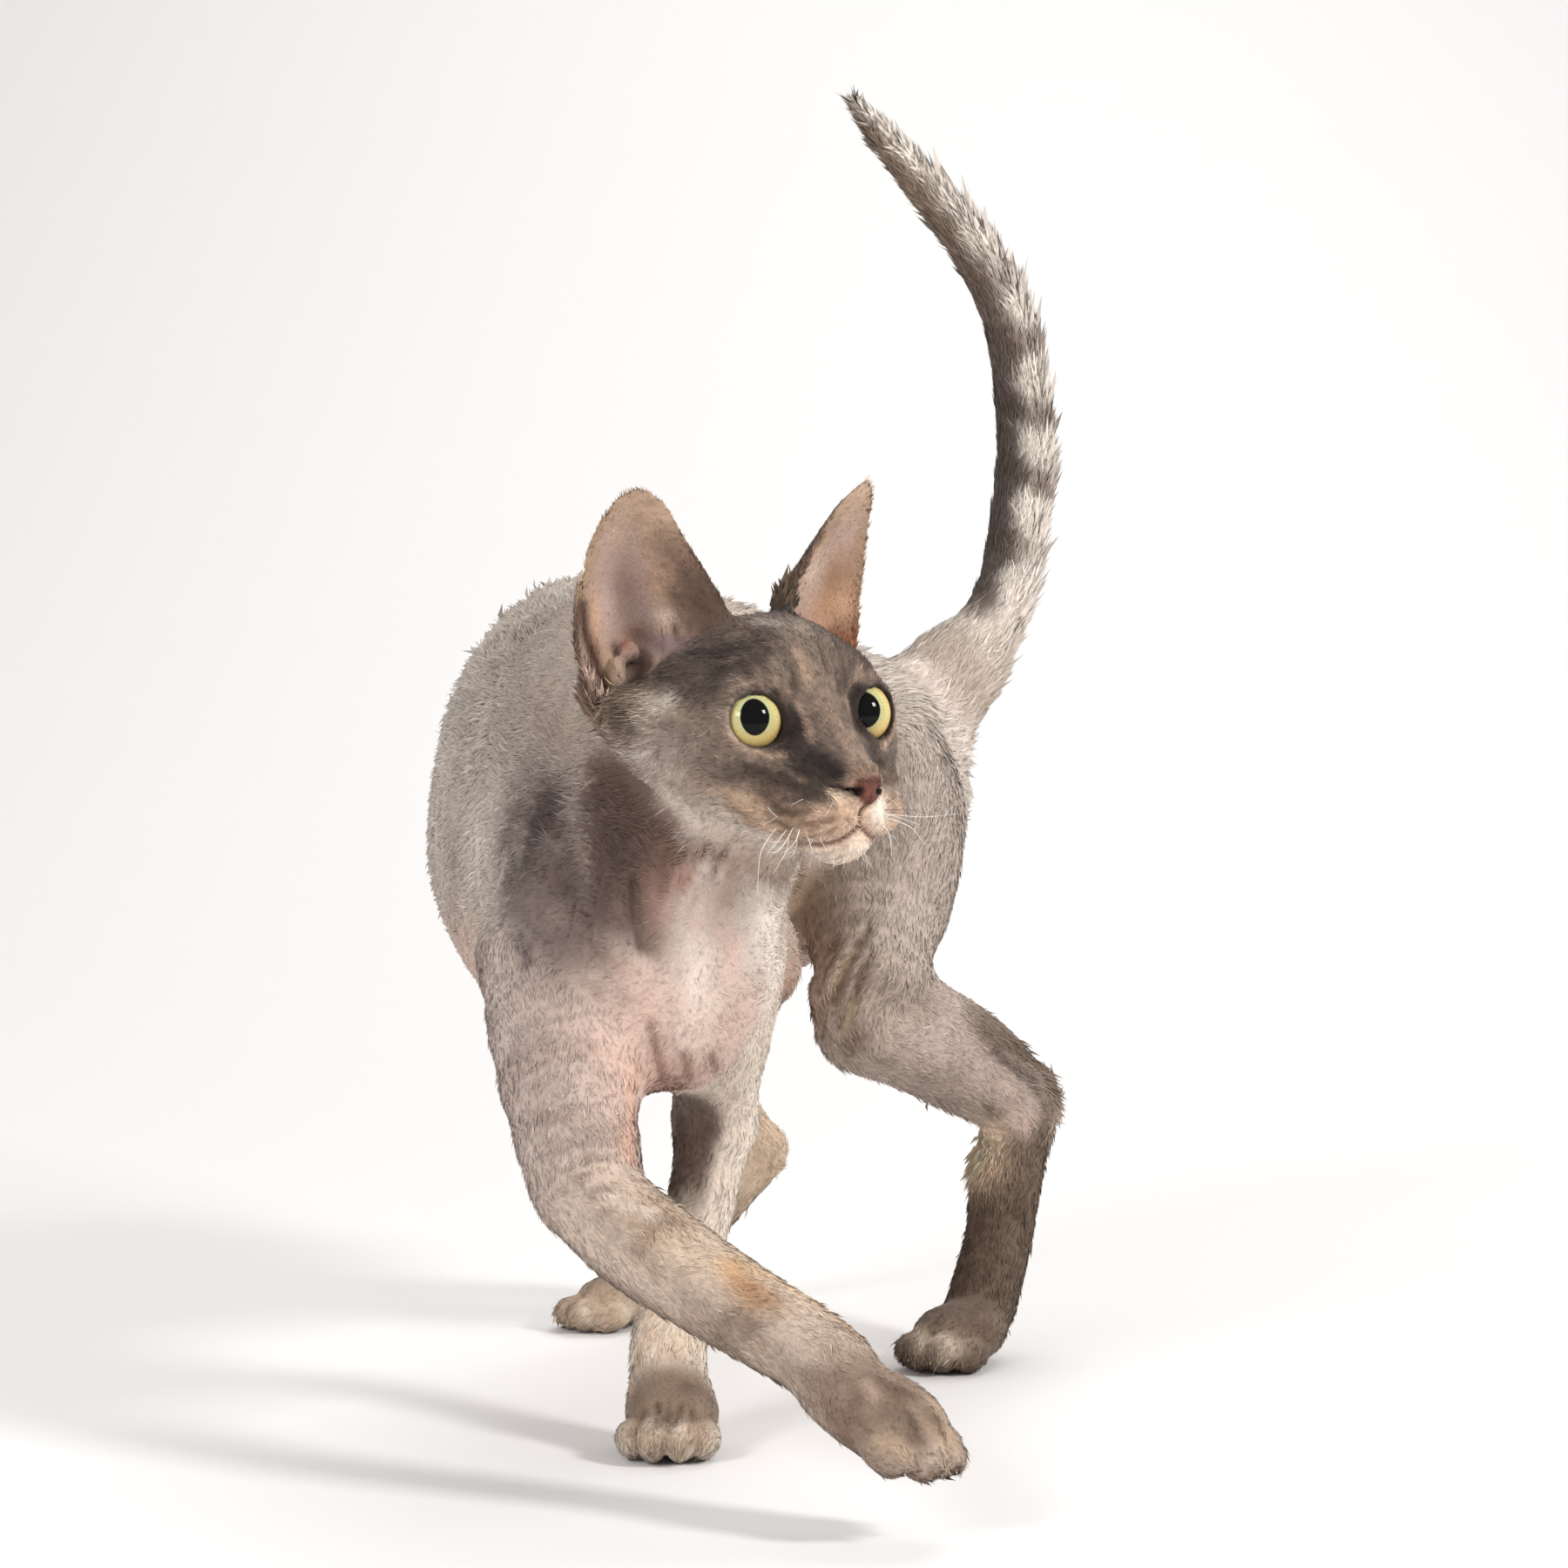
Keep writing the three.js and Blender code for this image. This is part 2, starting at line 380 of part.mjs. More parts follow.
// fewer, larger facets where the form is plain: edges are drawn together, the cheapest first
// (or, with a length, only the edges shorter than it)
function lighten([pts, tri], target, short = Infinity) {
  const P = pts.map((p) => [...p]), F = [], at = P.map(() => new Set());
  for (let i = 0; i < tri.length; i += 3) { const f = [tri[i], tri[i + 1], tri[i + 2]]; f.forEach((v) => at[v].add(F.length)); F.push(f); }
  const normal = (a, b, c) => cross(sub(b, a), sub(c, a));
  const Q = P.map(() => new Float64Array(10));
  for (const [a, b, c] of F) {
    const n = normal(P[a], P[b], P[c]), l = Math.hypot(...n);
    if (l < 1e-9) continue;
    const [x, y, z] = mul(n, 1 / l), d = -dot([x, y, z], P[a]);
    [x * x, x * y, x * z, x * d, y * y, y * z, y * d, z * z, z * d, d * d].forEach((q, k) => [a, b, c].forEach((v) => { Q[v][k] += q * l; }));
  }
  const cost = (q, [x, y, z]) => q[0] * x * x + 2 * q[1] * x * y + 2 * q[2] * x * z + 2 * q[3] * x + q[4] * y * y + 2 * q[5] * y * z + 2 * q[6] * y + q[7] * z * z + 2 * q[8] * z + q[9];
  const best = (a, b) => {
    const q = Q[a].map((v, k) => v + Q[b][k]), mid = mul(add(P[a], P[b]), 0.5);
    const c = [[q[0], q[1], q[2]], [q[1], q[4], q[5]], [q[2], q[5], q[7]]], det = dot(c[0], cross(c[1], c[2]));
    let options = [mid, P[a], P[b]];
    if (Math.abs(det) > 1e-3) {
      const r = [-q[3], -q[6], -q[8]];
      const v = [dot(r, cross(c[1], c[2])) / det, dot(r, cross(c[2], c[0])) / det, dot(r, cross(c[0], c[1])) / det];
      if (Math.hypot(...sub(v, mid)) < Math.hypot(...sub(P[a], P[b]))) options = [v, ...options];
    }
    const l2 = dot(sub(P[a], P[b]), sub(P[a], P[b]));
    return options.map((p) => [cost(q, p) + 0.004 * l2 * l2, p]).sort((s, t) => s[0] - t[0])[0];
  };
  const round = (v) => { const s = new Set(); for (const f of at[v]) for (const w of F[f]) if (w !== v) s.add(w); return s; };
  const heap = [], stamp = new Int32Array(P.length);
  const push = (e) => { heap.push(e); let i = heap.length - 1; while (i > 0) { const p = (i - 1) >> 1; if (heap[p][0] <= heap[i][0]) break; [heap[p], heap[i]] = [heap[i], heap[p]]; i = p; } };
  const pop = () => {
    const top = heap[0], last = heap.pop();
    if (heap.length) { heap[0] = last; for (let i = 0; ;) { let m = i; for (const c of [2 * i + 1, 2 * i + 2]) if (c < heap.length && heap[c][0] < heap[m][0]) m = c; if (m === i) break; [heap[m], heap[i]] = [heap[i], heap[m]]; i = m; } }
    return top;
  };
  const offer = (a, b) => { if (Math.hypot(...sub(P[a], P[b])) > short) return; const [c, p] = best(a, b); push([c, a, b, p, stamp[a], stamp[b]]); };
  for (let v = 0; v < P.length; v++) for (const w of round(v)) if (v < w) offer(v, w);
  let left = F.length;
  const gone = new Uint8Array(F.length);
  while (left > target && heap.length) {
    const [, a, b, p, sa, sb] = pop();
    if (sa !== stamp[a] || sb !== stamp[b]) continue;
    const ra = round(a), rb = round(b);
    let common = 0; for (const v of ra) if (rb.has(v)) common++;
    if (common !== 2) continue;
    let ok = true;
    for (const [v, other] of [[a, b], [b, a]]) for (const f of at[v]) {
      if (F[f].includes(other) || short < 1) continue;
      const n0 = normal(...F[f].map((k) => P[k])), n1 = normal(...F[f].map((k) => (k === v ? p : P[k])));
      if (dot(n0, n1) < 0.3 * Math.hypot(...n0) * Math.hypot(...n1) || Math.hypot(...n1) < 0.3) { ok = false; break; }
    }
    if (!ok) continue;
    P[a] = p; for (let k = 0; k < 10; k++) Q[a][k] += Q[b][k];
    for (const f of at[b]) {
      if (F[f].includes(a)) { gone[f] = 1; left--; for (const v of F[f]) if (v !== b) at[v].delete(f); } else { F[f] = F[f].map((v) => (v === b ? a : v)); at[a].add(f); }
    }
    at[b].clear(); stamp[a]++; stamp[b]++;
    for (const v of round(a)) offer(a, v);
  }
  const id = new Map(), outP = [], outT = [];
  F.forEach((f, i) => { if (!gone[i]) for (const v of f) { if (!id.has(v)) { id.set(v, outP.length); outP.push(P[v]); } outT.push(id.get(v)); } });
  return [outP, outT];
}

// the skin sampled from a start that leaves nothing pinched, then lightened
function cleanSkin(lo, hi, h, facets, level = 0) {
  for (let k = 0; k < 8; k++) {
    const s = skin(bodyDistance, lo.map((v, i) => v - [0.31, 0.17, 0.23][i] * h * k), hi, h, level);
    if (pinched(s) === 0) return solid(lighten(s, facets));
  }
  throw new Error('the skin is pinched');
}

// ------------------------------------------------------------------ ears: cupped shells, closed all round
function earShell(side) {
  const o = inHead([side * EAR_ROOT[0], EAR_ROOT[1], EAR_ROOT[2]]), a = rad(EAR_TURN);
  const n = headDir([side * Math.sin(a), Math.cos(a), 0]), w = headDir([side * Math.cos(a), -Math.sin(a), 0]), b = headDir([0, 0, 1]);
  const rows = EAR.slice(1), COLS = 6, pts = [], tri = [];
  for (const face of [0.5, -0.5]) for (const [h, outer, inner, depth, lean, thick] of rows) for (let j = 0; j <= COLS; j++) {
    const q = -1 + (2 * j) / COLS, mid = (outer + inner) / 2, half = (outer - inner) / 2;
    const taper = 1 - 0.45 * q * q;
    const c = lean - depth * (1 - q * q) + face * thick * taper * Math.hypot(1, (2 * depth * q) / half * 0.6);
    pts.push(add(o, add(add(mul(w, mid + half * q), mul(b, h)), mul(n, c))));
  }
  const R = rows.length, S = COLS + 1, at = (f, i, j) => f * R * S + i * S + j;
  const flip = side < 0;
  const quad = (x, y, z, t) => (flip ? tri.push(x, z, y, x, t, z) : tri.push(x, y, z, x, z, t));
  for (let i = 0; i + 1 < R; i++) for (let j = 0; j < COLS; j++) {
    quad(at(0, i, j), at(0, i + 1, j), at(0, i + 1, j + 1), at(0, i, j + 1));
    quad(at(1, i, j), at(1, i, j + 1), at(1, i + 1, j + 1), at(1, i + 1, j));
  }
  for (let i = 0; i + 1 < R; i++) {
    quad(at(0, i, 0), at(1, i, 0), at(1, i + 1, 0), at(0, i + 1, 0));
    quad(at(0, i, COLS), at(0, i + 1, COLS), at(1, i + 1, COLS), at(1, i, COLS));
  }
  for (let j = 0; j < COLS; j++) {
    quad(at(0, 0, j), at(0, 0, j + 1), at(1, 0, j + 1), at(1, 0, j));
    quad(at(0, R - 1, j), at(1, R - 1, j), at(1, R - 1, j + 1), at(0, R - 1, j + 1));
  }
  return [pts, tri];
}

// ------------------------------------------------------------------ joining and cutting
const wasm = await Module();
wasm.setup();
function solid([pts, tri]) {
  const v = new Float32Array(pts.length * 3);
  pts.forEach((p, i) => v.set(p, i * 3));
  return new wasm.Manifold(new wasm.Mesh({ numProp: 3, vertProperties: v, triVerts: Uint32Array.from(tri) }));
}
// a block beyond the cut through "at": it reaches "reach" along "to", is 2 x wide sideways and from -down to +up across
function block(at, to, side, wide, up, down, reach, grow = 0) {
  const t = unit(to), s = unit(sub(side, mul(t, dot(side, t)))), u = cross(s, t);
  const U = u[2] < 0 ? mul(u, -1) : u;
  const g = new THREE.BoxGeometry(1, 1, 1).toNonIndexed(), P = g.getAttribute('position');
  const key = new Map(), pts = [], tri = [];
  for (let i = 0; i < P.count; i++) {
    const x = P.getX(i) * 2, y = P.getY(i) * 2, z = P.getZ(i) * 2;
    const k = `${x},${y},${z}`;
    if (!key.has(k)) {
      key.set(k, pts.length);
      const S = x * (wide + grow), A = y > 0 ? up + grow : -down - grow, T = z > 0 ? reach + grow : -grow;
      pts.push(add(at, add(add(mul(s, S), mul(U, A)), mul(t, T))));
    }
    tri.push(key.get(k));
  }
  const right = dot(cross(s, U), t) > 0;
  if (!right) for (let i = 0; i < tri.length; i += 3) [tri[i + 1], tri[i + 2]] = [tri[i + 2], tri[i + 1]];
  return solid([pts, tri]);
}
function largest(m) {
  const parts = m.decompose();
  parts.sort((a, b) => b.volume() - a.volume());
  return parts[0];
}
function toMesh(name, man, colour, roughness) {
  const m = man.getMesh(), np = m.numProp, raw = [];
  for (let i = 0; i < m.vertProperties.length; i += np) raw.push([0, 1, 2].map((k) => m.vertProperties[i + k] - ORIGIN[k]));
  const [pts, tri] = lighten([raw, [...m.triVerts]], 0, SLIVER);
  const g = new THREE.BufferGeometry();
  g.setAttribute('position', new THREE.BufferAttribute(Float32Array.from(pts.flat()), 3));
  g.setIndex(new THREE.BufferAttribute(Uint32Array.from(tri), 1));
  const mesh = new THREE.Mesh(g, new THREE.MeshStandardMaterial({ color: new THREE.Color(...colour), roughness, metalness: 0 }));
  mesh.name = name;
  return mesh;
}

// ------------------------------------------------------------------ the whole cat
buildBody();
const cat = new THREE.Group();
cat.name = 'devon_rex_cat';
const FLOOR = block([0, 80, 0], [0, 0, -1], [1, 0, 0], 260, 400, 400, 60);
const fine = {
  head: cleanSkin([-80, -112, 160], [52, 40, 280], GRID.head, FACETS.head),
  foreleg_left_paw: cleanSkin([-66, -50, -8], [-8, 34, 52], GRID.paw, FACETS.paw),
  foreleg_right_paw: cleanSkin([-12, -172, -2], [66, -82, 76], GRID.paw, FACETS.paw),
  hindleg_left_paw: cleanSkin([22, 106, -8], [98, 204, 50], GRID.paw, FACETS.paw),
  hindleg_right_paw: cleanSkin([-106, 194, -8], [-26, 268, 46], GRID.paw, FACETS.paw),
};
let rest = cleanSkin([-136, -170, -12], [120, 306, 282], GRID.body, FACETS.body);
const tailSkin = cleanSkin([22, 226, 196], [112, 322, 462], GRID.tail, FACETS.tail);
const made = {};
for (const [name, from, at, to, side, wide, up, down, reach] of PARTS) {
  const b = block(at, to, side, wide, up, down, reach), bg = block(at, to, side, wide, up, down, reach, CUT);
  if (from === 'fine') { made[name] = largest(fine[name].intersect(b)); rest = rest.subtract(bg); }
  else if (from === 'tail') { made[name] = largest(tailSkin.intersect(b)); rest = rest.subtract(bg); made.tail_all = made.tail_all ?? null; }
  else if (from === 'rest') { made[name] = largest(rest.intersect(b)); rest = rest.subtract(bg); }
  else { const src = made[from]; made[name] = largest(src.intersect(b)); made[from] = largest(src.subtract(bg)); }
}
delete made.tail_all;
made.trunk_middle = largest(rest);
// what stands on the floor is cut off flat there
for (const k of Object.keys(made)) if (/paw|foot/.test(k) && k !== 'foreleg_right_paw') made[k] = largest(made[k].subtract(FLOOR));
// eyes, in sockets a hair wider than they are
const ball = (c, r, n) => {
  const g = new THREE.IcosahedronGeometry(r, n), P = g.getAttribute('position'), key = new Map(), pts = [], tri = [];
  for (let i = 0; i < P.count; i++) {
    const k = [P.getX(i), P.getY(i), P.getZ(i)].map((v) => v.toFixed(3)).join();
    if (!key.has(k)) { key.set(k, pts.length); pts.push(add(c, [P.getX(i), P.getY(i), P.getZ(i)])); }
    tri.push(key.get(k));
  }
  return solid([pts, tri]);
};
for (const [name, s] of [['eye_right', 1], ['eye_left', -1]]) {
  const c = inHead([s * EYE[0], EYE[1], EYE[2]]);
  made[name] = ball(c, EYE[3], 2);
  made.head = largest(made.head.subtract(ball(c, EYE[3] + 2 * CUT, 2)));
}
const headGrown = cleanSkin([-80, -112, 160], [52, 60, 280], GRID.head, 2 * FACETS.head, CUT + 0.5);
const neckGrown = cleanSkin([-80, -60, 160], [52, 60, 280], GRID.body, 2000, CUT + 1.2).subtract(block(...PARTS[0].slice(2), -CUT));
for (const [name, s] of [['ear_right', 1], ['ear_left', -1]]) made[name] = largest(solid(earShell(s)).subtract(headGrown).subtract(neckGrown));
const tint = (n) => COLOURS[Object.keys(COLOURS).find((k) => n.includes(k) && k !== 'head') ?? 'head'] ?? COLOURS.trunk;
for (const [name, man] of Object.entries(made)) cat.add(toMesh(name, man, tint(name), /eye/.test(name) ? 0.1 : 0.85));
export default cat;
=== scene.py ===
import bpy
import numpy as np
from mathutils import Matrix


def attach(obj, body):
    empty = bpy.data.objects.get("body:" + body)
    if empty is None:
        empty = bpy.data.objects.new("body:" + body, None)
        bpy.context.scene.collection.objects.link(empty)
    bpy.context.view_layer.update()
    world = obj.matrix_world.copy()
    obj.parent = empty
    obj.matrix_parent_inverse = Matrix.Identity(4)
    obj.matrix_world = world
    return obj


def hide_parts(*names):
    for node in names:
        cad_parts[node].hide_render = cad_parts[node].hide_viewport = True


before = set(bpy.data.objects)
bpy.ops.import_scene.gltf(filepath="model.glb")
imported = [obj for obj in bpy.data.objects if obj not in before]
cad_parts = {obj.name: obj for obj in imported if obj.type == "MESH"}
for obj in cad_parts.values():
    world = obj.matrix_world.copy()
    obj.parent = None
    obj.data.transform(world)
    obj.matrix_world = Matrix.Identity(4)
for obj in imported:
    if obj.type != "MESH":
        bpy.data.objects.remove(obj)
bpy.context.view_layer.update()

# A walking cat, life size. The sizes are in mm in the camera's own frame; ORIGIN takes them to the row frame.
# ---------------------------------------------------------------- sizes, the same as the solids'
HEAD_CENTRE = [-5, -36, 227]
HEAD_TURN = [36, 2, -2.5]
EYE = [20, 17.3, 1.5, 11]
EYE_OUT = 13
# name, blend, steps, coat, then rows of x y z half-width up down
CHAINS = [
    ['trunk', 0, 8, 3.0, [
        [-33, -20, 170, 29, 46, 44], [-42, 14, 180, 40, 69, 63], [-53, 46, 185, 47, 79, 72],
        [-61, 84, 186, 54, 84, 73], [-63, 120, 187, 57.5, 87, 68], [-52, 162, 192, 54, 82, 67],
        [-21, 204, 195, 47, 71, 59], [14, 231, 194, 41, 59, 54], [36, 249, 197, 33, 47, 44]]],
    ['neck', 22, 4, 2.2, [
        [-47, 34, 214, 37, 46, 52], [-34, 6, 211, 33, 42, 50], [-20, -17, 212, 29, 36, 40],
        [-10, -33, 216, 27, 30, 32]]],
    ['tail', 12, 3, 6.0, [
        [40, 246, 216, 24, 24, 24], [60, 262, 238, 21, 21, 21], [73, 270, 254, 15, 15, 15],
        [82, 278, 271, 13, 13, 13], [87, 286, 294, 12.8, 12.8, 12.8], [90.5, 296, 322, 12.8, 12.8, 12.8],
        [89, 302, 349, 12, 12, 12], [83, 300, 377, 10.8, 10.8, 10.8], [69, 291, 402, 9.6, 9.6, 9.6],
        [48, 276, 426.5, 8, 8, 8], [33, 259, 442, 6, 6, 6], [27, 251, 449, 2.6, 2.6, 2.6]]],
    ['foreleg_right_upper', 16, 3, 2.2, [
        [-71, 4, 152, 25, 25, 25], [-67, -22, 126, 23, 23, 23], [-61, -50, 98, 19, 19, 20]]],
    ['foreleg_right_lower', 8, 3, 2.0, [
        [-59, -58, 88, 16, 16, 15.5], [-42, -75, 75, 16.5, 16.5, 15.5], [-16, -93, 60.5, 14.8, 15, 14.2],
        [5, -106, 50, 13.4, 14, 13.4], [13, -113, 45, 13.4, 14, 13.4]]],
    ['foreleg_left_upper', 12, 3, 2.2, [
        [-20, 4, 150, 19, 22, 22], [-21, 26, 122, 16, 19, 19], [-22, 43, 100, 13.5, 15.5, 15.5]]],
    ['foreleg_left_lower', 8, 3, 2.0, [
        [-22, 44, 98, 13, 14, 14], [-26, 35, 75, 12, 12, 12], [-32, 22, 50, 11.5, 11.5, 11.5],
        [-36, 11, 32, 13, 13, 13], [-36, 2, 20, 13, 13, 13]]],
    ['hindleg_left_upper', 16, 3, 2.4, [
        [37, 208, 188, 27, 33, 33], [33, 186, 158, 25, 29, 29], [29, 160, 132, 19, 21, 21]]],
    ['hindleg_left_lower', 12, 3, 2.4, [
        [27, 152, 121, 17, 20, 20], [47, 168, 113, 16, 22, 20.5], [68, 189, 101, 14, 20, 20],
        [86.5, 207, 85, 11.5, 13.5, 15]]],
    ['hindleg_left_foot', 8, 3, 2.4, [
        [86.5, 209, 84, 12, 13.5, 13.5], [80, 198, 59, 13.5, 14, 14], [76, 186, 38, 13, 13.2, 13.2],
        [70, 170, 20, 13.5, 13.5, 13.5]]],
    ['hindleg_right_upper', 16, 3, 2.4, [
        [-16, 232, 170, 27, 32, 32], [-36, 220, 146, 22, 24, 24], [-48, 213, 127, 17, 18, 18]]],
    ['hindleg_right_lower', 12, 3, 2.2, [
        [-49, 213, 124, 15, 15, 15], [-37, 230, 105, 13.5, 14, 14], [-21, 250, 80, 12, 12, 12],
        [-11, 262, 62, 11, 11, 11]]],
    ['hindleg_right_foot', 8, 3, 2.2, [
        [-10, 264, 61, 11, 11, 11], [-24, 258, 44, 11, 11, 11], [-43, 250, 26, 10.5, 10.5, 10.5],
        [-54, 243, 16, 11, 11, 11]]],
]
BULGES = [
    ['chest', [-33, -19, 150], [26, 22, 36], [10, 0, 0], 18, 2.2],
    ['breastbone', [-33, 10, 126], [20, 26, 15], [5, 0, 0], 14, 2.0],
    ['belly', [-22, 146, 142], [27, 42, 25], [15, 0, 0], 18, 2.4],
    ['shoulder_blade_right', [-62, 40, 226], [14, 26, 36], [-8, 0, 12], 16, 2.8],
    ['shoulder_blade_left', [-30, 40, 226], [14, 26, 36], [8, 0, -12], 16, 2.8],
    ['shoulder_right', [-66, 14, 172], [19, 32, 46], [0, 0, 0], 18, 2.4],
    ['shoulder_left', [-24, 14, 160], [17, 30, 40], [0, 0, 0], 16, 2.4],
    ['thigh_left', [35, 204, 190], [23, 42, 48], [20, 0, 0], 22, 2.6],
    ['thigh_right', [-16, 226, 176], [24, 42, 48], [40, 0, 0], 22, 2.6],
]
HEAD = [
    ['skull', [0, -9, 5], [30, 31, 28], 14, 1.6],
    ['forehead', [0, 8, 14], [23, 21, 17], 12, 1.6],
    ['face', [0, 2, -13], [29, 27, 19], 12, 1.6],
    ['cheekbone', [24, 9, -9], [14, 16, 13.5], 10, 1.6],
    ['orbit', [21, 13, 3], [13.5, 11.5, 12.5], 8, 1.6],
    ['brow', [15, 17, 15], [10, 7.5, 5], 8, 1.6],
    ['whisker_pad', [9.8, 34.5, -27.5], [10.6, 11.5, 8.4], 8, 1.2],
    ['cheek', [17, 23, -20], [11, 12, 10.5], 10, 1.3],
    ['nose_side', [9.5, 27, -9], [8, 9, 9], 10, 1.2],
    ['ear_base', [26, -6, 8], [11, 13, 13], 10, 1.4],
    ['ear_foot', [40, -12, 3], [7.5, 9, 10], 12, 1.2],
    ['ear_foot_low', [36, -8, -6], [7, 8, 8], 10, 1.2],
    ['nose', [0, 46, -20], [5.6, 3.8, 4.8], 3, 0.6],
    ['chin', [0, 33.5, -35.5], [8.4, 9, 6.4], 5, 1.2],
]
HEAD_BARS = [
    ['muzzle', [0, 12, -16], [0, 32, -24], [20, 14, 14], [13, 9, 10], 9, 1.4],
    ['nose_bridge', [0, 22, 6], [0, 43, -15.5], [8.5, 5.5, 9], [6.2, 4.6, 7], 9, 1.0],
    ['jaw', [0, 0, -26], [0, 30, -33], [19, 9, 8], [9, 6, 7], 8, 1.4],
]
HOLLOWS = [
    ['ear_canal', [37, -13, 25], [7, 8, 8], 3],
]
EYE_DISH = [16.2, 10.3, 10.0, 10.3, 3.0]
EAR = [
    [-26, 12, -8, 13, -4, 3.0],
    [-18, 17, -15, 15, -3, 2.8],
    [-8, 22, -21, 16.5, -2, 2.6],
    [2, 24.6, -24, 17, -1, 2.5],
    [12, 25.5, -23.5, 16, 0, 2.4],
    [22, 25, -19.5, 13, 1.6, 2.3],
    [32, 22.8, -13.5, 9.5, 4.8, 2.2],
    [42, 19, -8, 6, 9, 2.1],
    [48, 15.6, -4.6, 3.6, 12.2, 2.0],
    [52, 12.2, -0.6, 2, 14.5, 1.9],
    [55, 7.4, 5.6, 1, 16, 1.8],
]
EAR_ROOT = [30.7, -11.2, 18]
EAR_TURN = 25
PAWS = [
    ['foreleg_left_paw', [-35, -9, 11], -4, 0, 1.06, [14.5, 18, 11]],
    ['foreleg_right_paw', [30, -129, 33], 52, -17, 1.1, [15, 22, 12]],
    ['hindleg_left_paw', [59, 149, 11], -30, 0, 1.08, [15, 19, 11]],
    ['hindleg_right_paw', [-64, 234, 10], -48, 0, 1.0, [14, 18, 10.5]],
]
TOES = [
    [-10.5, 8, -4.0, 6.2],
    [-4, 13, -3.2, 6.8],
    [4, 13, -3.2, 6.8],
    [10.5, 8, -4.0, 6.2],
]
ORIGIN = [-8.8, 81.9, 0]
WORLD_LIGHT, KEY_LIGHT, FILL_LIGHT, BACK_LIGHT = 0.56, 20.5, 13.0, 38.0
GAZE = {'eye_right': (14, 8), 'eye_left': (19, 8)}

# ---------------------------------------------------------------- sizes of what only shows close up
COAT_SHARE = 0.58                  # the coat lies close: the skin is this share of the table's depth inside
LID = 1.3                          # the lids' thickness over the eye
LID_OPENING = (8.15, 7.5, 0.06)    # half its width, half its height, its slant
EAR_SWELL = 1.7                    # the ears are sampled this much thicker, then drawn in to their true thickness
# name, centre, radii, blend, joined (1) or cut (-1)
FACE_DETAIL = [
    ["nostril", [3.6, 49.0, -20.9], [1.4, 2.2, 1.1], 0.7, -1],
    ["nostril_slit", [5.8, 46.6, -19.9], [2.0, 1.8, 0.6], 0.7, -1],
    ["philtrum", [0, 48.0, -26.6], [0.6, 2.2, 3.4], 1.2, -1],
]
EAR_DETAIL = [
    ["tragus", [31.6, -25.0, 23.6], [3.0, 2.6, 3.6], 1.6, 1],
    ["tan_column", [36.6, -24.5, 14.0], [2.6, 2.6, 9.0], 3.0, 1],
    ["cup_edge", [20.5, -20.0, 27.0], [2.2, 2.2, 6.0], 3.0, 1],
]
# pads under each paw: right, forward, up, radii
PADS = [[0, -1.5, -9.0, 7.5, 5.0, 2.6], [-10.2, 9.5, -8.2, 2.7, 3.6, 2.2], [-3.8, 14.5, -8.0, 2.9, 3.8, 2.2],
        [3.8, 14.5, -8.0, 2.9, 3.8, 2.2], [10.2, 9.5, -8.2, 2.7, 3.6, 2.2]]
# sample steps of the skin: x, y, z
AXES = [([-124, -62, -24, 34, 48, 106], [3.1, 1.75, 1.0, 1.75, 3.1]),
        ([-154, -84, -24, 22, 242, 266, 318], [3.1, 1.0, 1.75, 3.1, 1.6, 3.1]),
        ([-4, 45, 175, 185, 242, 305, 412, 454], [2.2, 3.1, 1.75, 1.0, 1.75, 3.1, 1.3])]
# tufts of coat in all (4 triangles a tuft) and the most in one piece; how far to either side a tuft reaches (mm)
TUFTS_ALL = 368000
TUFTS_MOST = 49500
SIDES = (-122.0, 115.5)

# ---------------------------------------------------------------- the body as one field of distances (mm)
f32 = np.float32
BIG = f32(30)
REACH = 7.0


def unit(v):
    v = np.asarray(v, float)
    return v / np.linalg.norm(v)


def smin(a, b, k):
    if k <= 0:
        return np.minimum(a, b)
    h = np.maximum(k - np.abs(a - b), 0) / k
    return np.minimum(a, b) - h * h * k * 0.25


def smax(a, b, k):
    return -smin(-a, -b, k)


def ell(c, r, ax=None):
    """an ellipsoid: centre, radii, axes as rows"""
    c = np.asarray(c, float)
    r = np.asarray(r, float)
    A = np.eye(3) if ax is None else np.asarray(ax, float)
    ext = np.sqrt(((A * r[:, None]) ** 2).sum(0))
    B = A.astype(f32)

    def fn(X, Y, Z):
        x, y, z = X - f32(c[0]), Y - f32(c[1]), Z - f32(c[2])
        k0 = k1 = 0
        for i in range(3):
            q = (x * B[i, 0] + y * B[i, 1] + z * B[i, 2]) * f32(1 / r[i])
            k0 = k0 + q * q
            k1 = k1 + (q * f32(1 / r[i])) ** 2
        k0 = np.sqrt(k0)
        return k0 * (k0 - 1) / (np.sqrt(k1) + f32(1e-9))
    return fn, c - ext, c + ext


